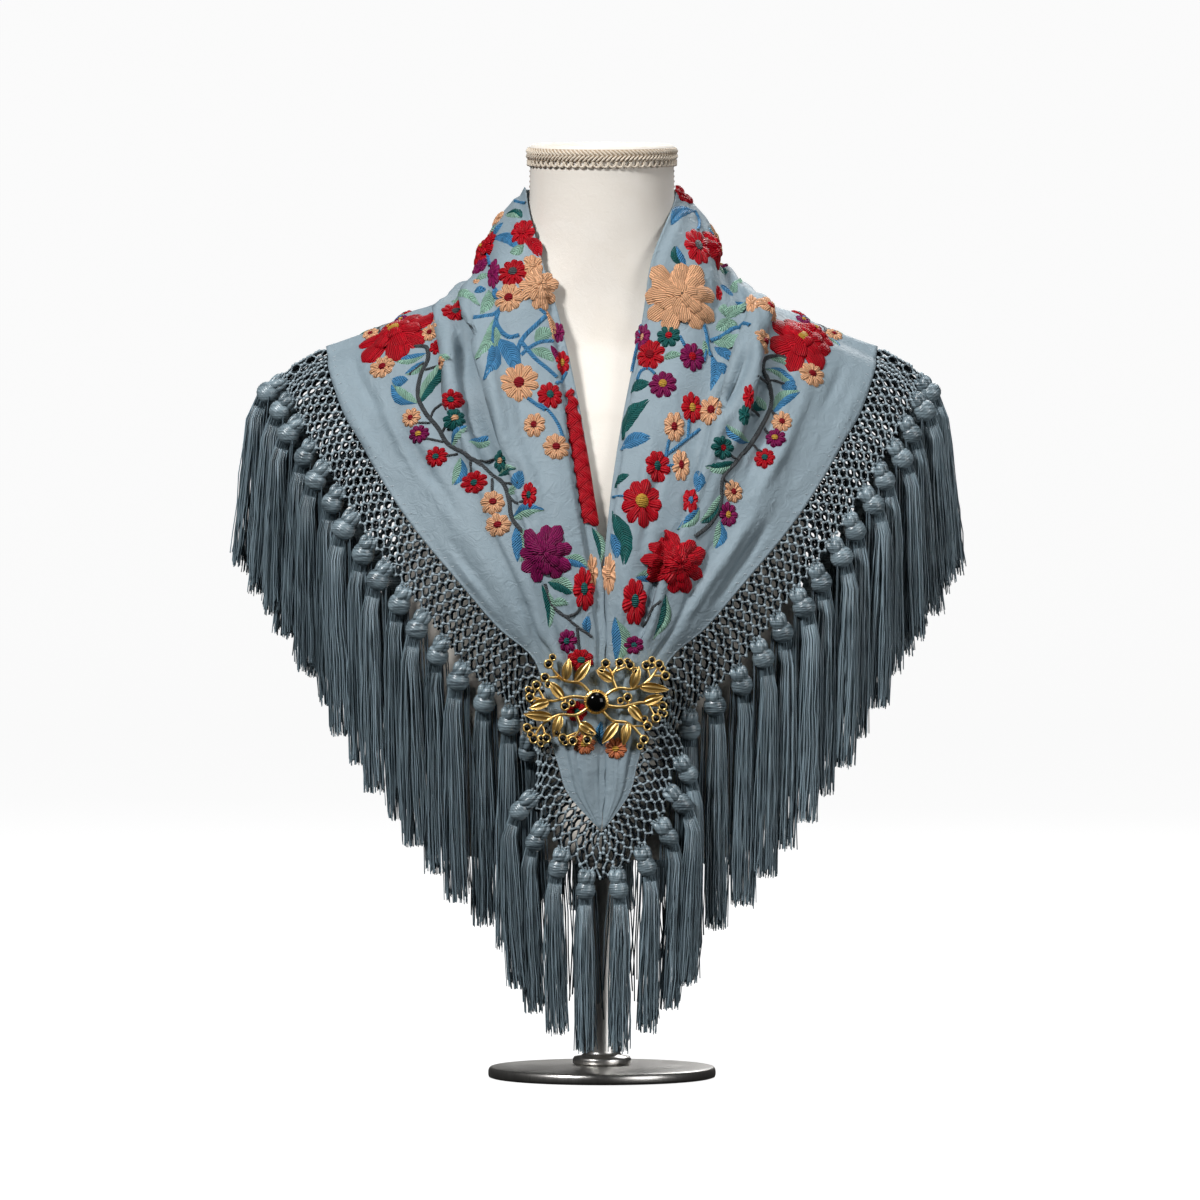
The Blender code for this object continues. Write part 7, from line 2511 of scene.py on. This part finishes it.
@dataclass
class Brooch:
    """Openwork sprays of cupped leaves and black berries round one large stone."""

    centre: tuple = (-0.004, -0.1535, 0.275)
    half_width: float = 50 * MM
    half_height: float = 30.5 * MM
    depth: float = 3.6 * MM
    stem_radius: float = 1.15 * MM
    leaf_width: float = 7.4 * MM
    cup_radius: float = 3.45 * MM
    bezel_radius: float = 8.8 * MM
    bezel_depth: float = 4.7 * MM
    stone_radius: float = 6.9 * MM
    stone_height: float = 5.0 * MM
    small_berry: float = 2.7 * MM

    def point(self, across: float, up: float) -> Point:
        """A point of the brooch's middle plane."""
        return np.array(self.centre) + np.array([across * self.half_width, 0.0, up * self.half_height])

    def build(self, gilt: bpy.types.Material, glass: bpy.types.Material) -> tuple:
        """The metal and the stones."""
        metal, stones = MeshBuilder(), MeshBuilder()
        lines, radii = [], []
        for turn in (1, -1):
            for route in BRANCHES:
                lines.append(self.route(np.array(route) * turn, 26))
                radii.append(np.linspace(self.stem_radius * 1.15, self.stem_radius * 0.75, 26))
            for root, tip in BERRIES:
                lines.append(self.route(np.array([root, tip]) * turn, 5))
                radii.append(np.full(5, 0.8 * MM))
            for root, tip in LEAVES:
                self.leaf(metal, self.point(*(np.array(root) * turn)), self.point(*(np.array(tip) * turn)))
            for number, (root, tip) in enumerate(BERRIES):
                place, foot = np.array(tip) * turn, np.array(root) * turn
                self.cup(metal, stones, self.point(*place), self.cup_radius, self.depth)
                beside = self.point(*place) + self.beside(place, foot) * (-1 if number % 2 else 1)
                self.cup(metal, stones, beside, self.small_berry, self.depth * 0.8)
        self.bezel(metal, stones)
        stems = grown("brooch_stems", line_mesh("stems", lines, radii, np.full(len(lines), 0.5)), STRANDS,
                      {"Sides": 10, "Material": gilt})
        frame_piece = joined("brooch_metal", [metal.build("brooch_plates", [gilt]), stems])
        return frame_piece, stones.build("brooch_stones", [glass])

    def route(self, shares: np.ndarray, count: int) -> np.ndarray:
        """A smooth line through points given as shares, gently arched to the front."""
        knots = np.array([self.point(*share) for share in shares])
        line = smooth_through(np.arange(len(knots)), knots, np.linspace(0, len(knots) - 1, count))
        line[:, 1] -= 0.35 * MM * np.sin(np.linspace(0, math.pi, count))
        return line

    def beside(self, place: np.ndarray, foot: np.ndarray) -> Point:
        """The step from a berry to the small one that grows against it."""
        way = (place - foot) * [self.half_width, self.half_height]
        way = way / max(np.linalg.norm(way), 1e-9)
        reach = self.cup_radius + self.small_berry - 0.7 * MM
        inward = -way * 0.45
        step = np.array([-way[1], way[0]]) + inward
        step = step / np.linalg.norm(step) * reach
        return np.array([step[0], 0.0, step[1]])

    def leaf(self, metal: MeshBuilder, root: Point, tip: Point) -> None:
        """A pointed leaf with a raised rim, a hollow on each side and a raised midrib."""
        s = np.linspace(0, 1, 13)[:, None]
        w = np.linspace(-1, 1, 9)[None, :]
        outline = np.maximum(np.sin(math.pi * s ** 0.8) ** 0.75, 0.06)
        side = unit(np.cross(tip - root, [0.0, 1.0, 0.0]))
        arch = 0.9 * MM * np.sin(math.pi * s)
        relief = 0.75 * np.abs(w) ** 2 + 0.55 * np.exp(-(w / 0.16) ** 2) - 0.35 * np.abs(np.sin(math.pi * w))
        front_y = -(self.depth * 0.16 + arch + relief * 2.6 * MM * outline)
        back_y = -(arch - 0.55 * MM) + 0 * w
        grids = []
        for y in (front_y, back_y):
            grid = root + (tip - root) * s[..., None] + side * (w * outline * self.leaf_width / 2)[..., None]
            grid = grid + np.array([0.0, 1.0, 0.0]) * y[..., None]
            grids.append(grid)
        wrapped = np.concatenate([grids[0], grids[1][:, ::-1]], axis=1)
        uvs = np.zeros((*wrapped.shape[:2], 2))
        metal.add_grid(wrapped, uvs, 0, closed=True)
        facing = np.cross(grids[0][6, 5] - grids[0][6, 4], grids[0][7, 4] - grids[0][6, 4])[1]
        if facing > 0:
            metal.faces[-1] = metal.faces[-1][:, ::-1]

    def cup(self, metal: MeshBuilder, stones: MeshBuilder, place: Point, radius: float, depth: float) -> None:
        """A rimmed cup with a black berry."""
        front = np.array([0.0, -1.0, 0.0])
        back = place - front * depth * 0.42
        rim = radius * 0.27
        profile = [(0.0003, 0.0), (radius * 0.80, 0.0), (radius * 0.98, depth * 0.3), (radius, depth * 0.72),
                   (radius - rim * 0.5, depth * 0.82), (radius - rim * 1.3, depth * 0.78),
                   (radius - rim * 1.6, depth * 0.62), (0.0003, depth * 0.60)]
        lathe(metal, back, front, profile, 20, 0)
        dome = radius - rim * 1.4
        turns = np.radians([0, 22, 45, 66, 84, 89.5])
        berry = [(0.0003, depth * 0.60)] + [(dome * math.cos(a), depth * 0.64 + dome * 0.72 * math.sin(a))
                                            for a in turns]
        lathe(stones, back, front, berry, 18, 0)

    def bezel(self, metal: MeshBuilder, stones: MeshBuilder) -> None:
        """The middle setting, with a ring of grains, and its stone."""
        front = np.array([0.0, -1.0, 0.0])
        back = self.point(0, 0) - front * self.bezel_depth * 0.45
        r, d = self.bezel_radius, self.bezel_depth
        profile = [(0.0003, 0.0), (r * 0.84, 0.0), (r * 0.97, d * 0.35), (r, d * 0.7),
                   (r - 0.5 * MM, d * 0.88), (r - 1.2 * MM, d * 0.86), (r - 1.5 * MM, d * 1.02),
                   (r - 1.9 * MM, d * 1.06), (r - 2.2 * MM, d * 0.98), (0.0003, d * 0.96)]
        lathe(metal, back, front, profile, 48, 0)
        for turn in np.linspace(0, 2 * math.pi, 30, endpoint=False):
            spot = back + np.array([math.cos(turn), 0.0, math.sin(turn)]) * (r - 0.75 * MM)
            grain = [(0.0002, d * 0.78), (0.62 * MM, d * 0.86), (0.45 * MM, d * 0.97), (0.0002, d * 1.01)]
            lathe(metal, spot, front, grain, 8, 0)
        turns = np.radians([0, 12, 26, 40, 54, 68, 80, 89.5])
        height = self.stone_height * 0.86
        stone = [(0.0003, d * 0.97)]
        stone += [(self.stone_radius * math.cos(a), d * 0.99 + height * math.sin(a)) for a in turns]
        lathe(stones, back, front, stone, 40, 0)


# ---------------------------------------------------------------- putting it together
HEM_TICK_PITCH = 8.6 * MM
HEM_TICK_PAIR = 1.3 * MM


def hem_ticks(cloth: ShawlCloth, material: bpy.types.Material) -> bpy.types.Object:
    """Pairs of small stitches along the hem, where the net's threads pass through the cloth."""
    edge = cloth.grid[:, -1]
    run = run_of(edge)
    points, axes = [], []
    for distance in np.arange(HEM_TICK_PITCH, run[-1] - HEM_TICK_PITCH, HEM_TICK_PITCH):
        t = np.interp(distance, run, cloth.positions)
        width = run_of(cloth.grid[int(np.abs(cloth.positions - t).argmin())])[-1]
        if width < 0.02:
            continue
        for reach in (1.2 * MM, 5.0 * MM):
            if reach > width * 0.3:
                continue
            place, out = cloth.at(t, 1 - reach / width)
            inner, _ = cloth.at(t, 1 - (reach + MM) / width)
            for shift in ((0.0,) if reach < 2 * MM else (0.0, HEM_TICK_PAIR)):
                way = unit(inner - place)
                points.append(place + way * shift + out * 0.12 * MM)
                axes.append(way)
    size = np.tile([0.30 * MM, 0.30 * MM, 0.75 * MM], (len(points), 1))
    mesh = attribute_mesh("ticks", np.array(points), np.zeros((0, 2)),
                          {"size": size, "axis": np.array(axes), "shade": np.ones(len(points))})
    return grown("hem_stitches", mesh, BEADS, {"Material": material})


class Studio:
    """Plain pale floor that sweeps up all round into a wall, soft light from large lamps, and the camera."""

    lamps = (
        ("key", (-2.1, -2.6, 2.8), 0.8, 150.0), ("fill", (2.6, -2.6, 1.2), 1.8, 46.0),
        ("top", (0.3, -0.6, 3.2), 1.0, 26.0), ("back", (0.8, 2.6, 2.4), 1.6, 66.0),
    )
    aim = (0.0, 0.0, 0.36)
    sky_low = 0.22
    sky_high = 0.86
    sky_foot = -0.60
    sky_top = 0.75
    floor_radius = 7.6
    sweep = 1.6
    wall = 4.6

    def build(self, material: bpy.types.Material) -> None:
        """Floor, wall, lamps, world and camera."""
        turns = np.linspace(0, math.pi / 2, 16)
        profile = [(0.01, 0.0), (1.5, 0.0), (4.0, 0.0), (self.floor_radius - 0.1, 0.0)]
        profile += [(self.floor_radius + self.sweep * math.sin(a), self.sweep * (1 - math.cos(a)))
                    for a in turns]
        profile.append((self.floor_radius + self.sweep, self.wall))
        builder = MeshBuilder()
        lathe(builder, np.zeros(3), np.array([0.0, 0.0, 1.0]), np.array(profile)[::-1], 96, 0)
        backdrop = builder.build("backdrop", [material])
        backdrop.visible_diffuse = False
        backdrop.visible_glossy = False
        for name, place, side, power in self.lamps:
            data = bpy.data.lights.new(name, "AREA")
            data.energy = power
            data.size = side
            lamp = bpy.data.objects.new(name, data)
            bpy.context.scene.collection.objects.link(lamp)
            lamp.location = place
            lamp.rotation_euler = (Vector(self.aim) - Vector(place)).to_track_quat("-Z", "Y").to_euler()
        world = bpy.data.worlds.new("soft_white")
        world.use_nodes = True
        shader = Shader(world.node_tree)
        way = shader.add("ShaderNodeTexCoord").outputs["Generated"]
        lit = shader.add("ShaderNodeMapRange", {
            "Value": shader.part(way, "Z"), "From Min": self.sky_foot, "From Max": self.sky_top,
            "To Min": self.sky_low, "To Max": self.sky_high,
        })
        shader.put(world.node_tree.nodes["Background"].inputs["Strength"], lit.outputs[0])
        bpy.context.scene.world = world
        bpy.context.scene.view_settings.view_transform = "Standard"
        VIEW.place_camera()


def dress_shawl(form: BVHTree) -> None:
    """The cloth with its embroidery, net and fringe, kept off the form."""
    drape = Drape()
    cloth = ShawlCloth(drape, form)
    silks = [SatinFinish(silk.name.lower(), SILK_COLOURS[silk]).build() for silk in Silk]
    net_silk = SilkCordFinish("knotted_silk", (0.020, 0.031, 0.039), (0.420, 0.520, 0.575), 0.38).build()
    # a very dark, nearly matt silk for the net of painted shade under each net
    dark_silk = SilkCordFinish("dark_silk", (0.008, 0.012, 0.015), (0.060, 0.082, 0.098), 0.75, 0.15).build()
    loose_silk = SilkCordFinish("loose_silk", (0.016, 0.030, 0.040), (0.330, 0.440, 0.505), 0.34).build()
    hem_silk = SilkCordFinish("hem_silk", (0.36, 0.43, 0.47), (0.50, 0.57, 0.61), 0.5).build()
    wound = WoundFinish().build()
    shawl = cloth.build(CrepeFinish().build())
    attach(shawl, BODY)
    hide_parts("shawl_left_tail", "shawl_left_front", "shawl_back", "shawl_right_front",
                "shawl_right_tail")
    LOG.info("cloth of %.3f square metres", cloth.flat_area)
    needlework = Embroidery(cloth, silks)
    pieces = [needlework.front(), needlework.back(), hem_ticks(cloth, hem_silk)]
    for piece in pieces:
        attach(piece, BODY)
        LOG.info("%s: %d faces", piece.name, len(piece.data.polygons))
    head = wound_head()
    for stretch in STRETCHES:
        surface = NetSurface(drape, stretch)
        net = KnottedNet(surface, "netting_" + stretch.name).build(net_silk, dark_silk)
        fringe = Fringe(surface, stretch, "tassels_" + stretch.name).build(loose_silk, wound, head)
        for piece, node, slot in ((net, "net_", NET_SLOT), (fringe, "fringe_", TASSEL_SLOT)):
            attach(piece, BODY)
            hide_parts(node + stretch.name)
            pieces.append(piece)
            LOG.info("%s: %d faces", piece.name, len(piece.data.polygons))
    bpy.data.objects.remove(head)


def dress_form() -> BVHTree:
    """The form, its trimming and its stand; returns the cover's faces, for what lies over it."""
    form = DressForm()
    seam_thread = BraidFinish("seam_thread", (0.30, 0.22, 0.15), (0.16, 0.11, 0.07)).build()
    foot, rod = Stand().build(StandFinish().build())
    parts = (
        (form.cover(LinenFinish().build()), ("form_torso",), LINEN_SLOT),
        (form.seams(seam_thread), (), LINEN_SLOT),
        (form.braid(BraidFinish().build()), ("form_neck_braid",), BRAID_SLOT),
        (foot, ("stand_base",), STAND_SLOT),
        (rod, ("stand_pole",), STAND_SLOT),
    )
    for piece, nodes, slot in parts:
        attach(piece, BODY)
        if nodes:
            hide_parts(*nodes)
        LOG.info("%s: %d faces", piece.name, len(piece.data.polygons))
    cover = parts[0][0].data
    return BVHTree.FromPolygons([vertex.co.copy() for vertex in cover.vertices],
                                [tuple(face.vertices) for face in cover.polygons])


def dress_brooch() -> None:
    """The brooch that pins the two fronts."""
    metal, stones = Brooch().build(GiltFinish().build(), GlassFinish().build())
    for piece, node, slot in ((metal, "brooch_frame", GOLD_SLOT), (stones, "brooch_stone", ONYX_SLOT)):
        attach(piece, BODY)
        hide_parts(node)
        LOG.info("%s: %d faces", piece.name, len(piece.data.polygons))


def main() -> None:
    logging.basicConfig(level=logging.INFO, format="%(name)s %(message)s")
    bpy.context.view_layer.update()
    dress_shawl(dress_form())
    dress_brooch()
    Studio().build(FloorFinish().build())


if __name__ == "__main__":
    main()
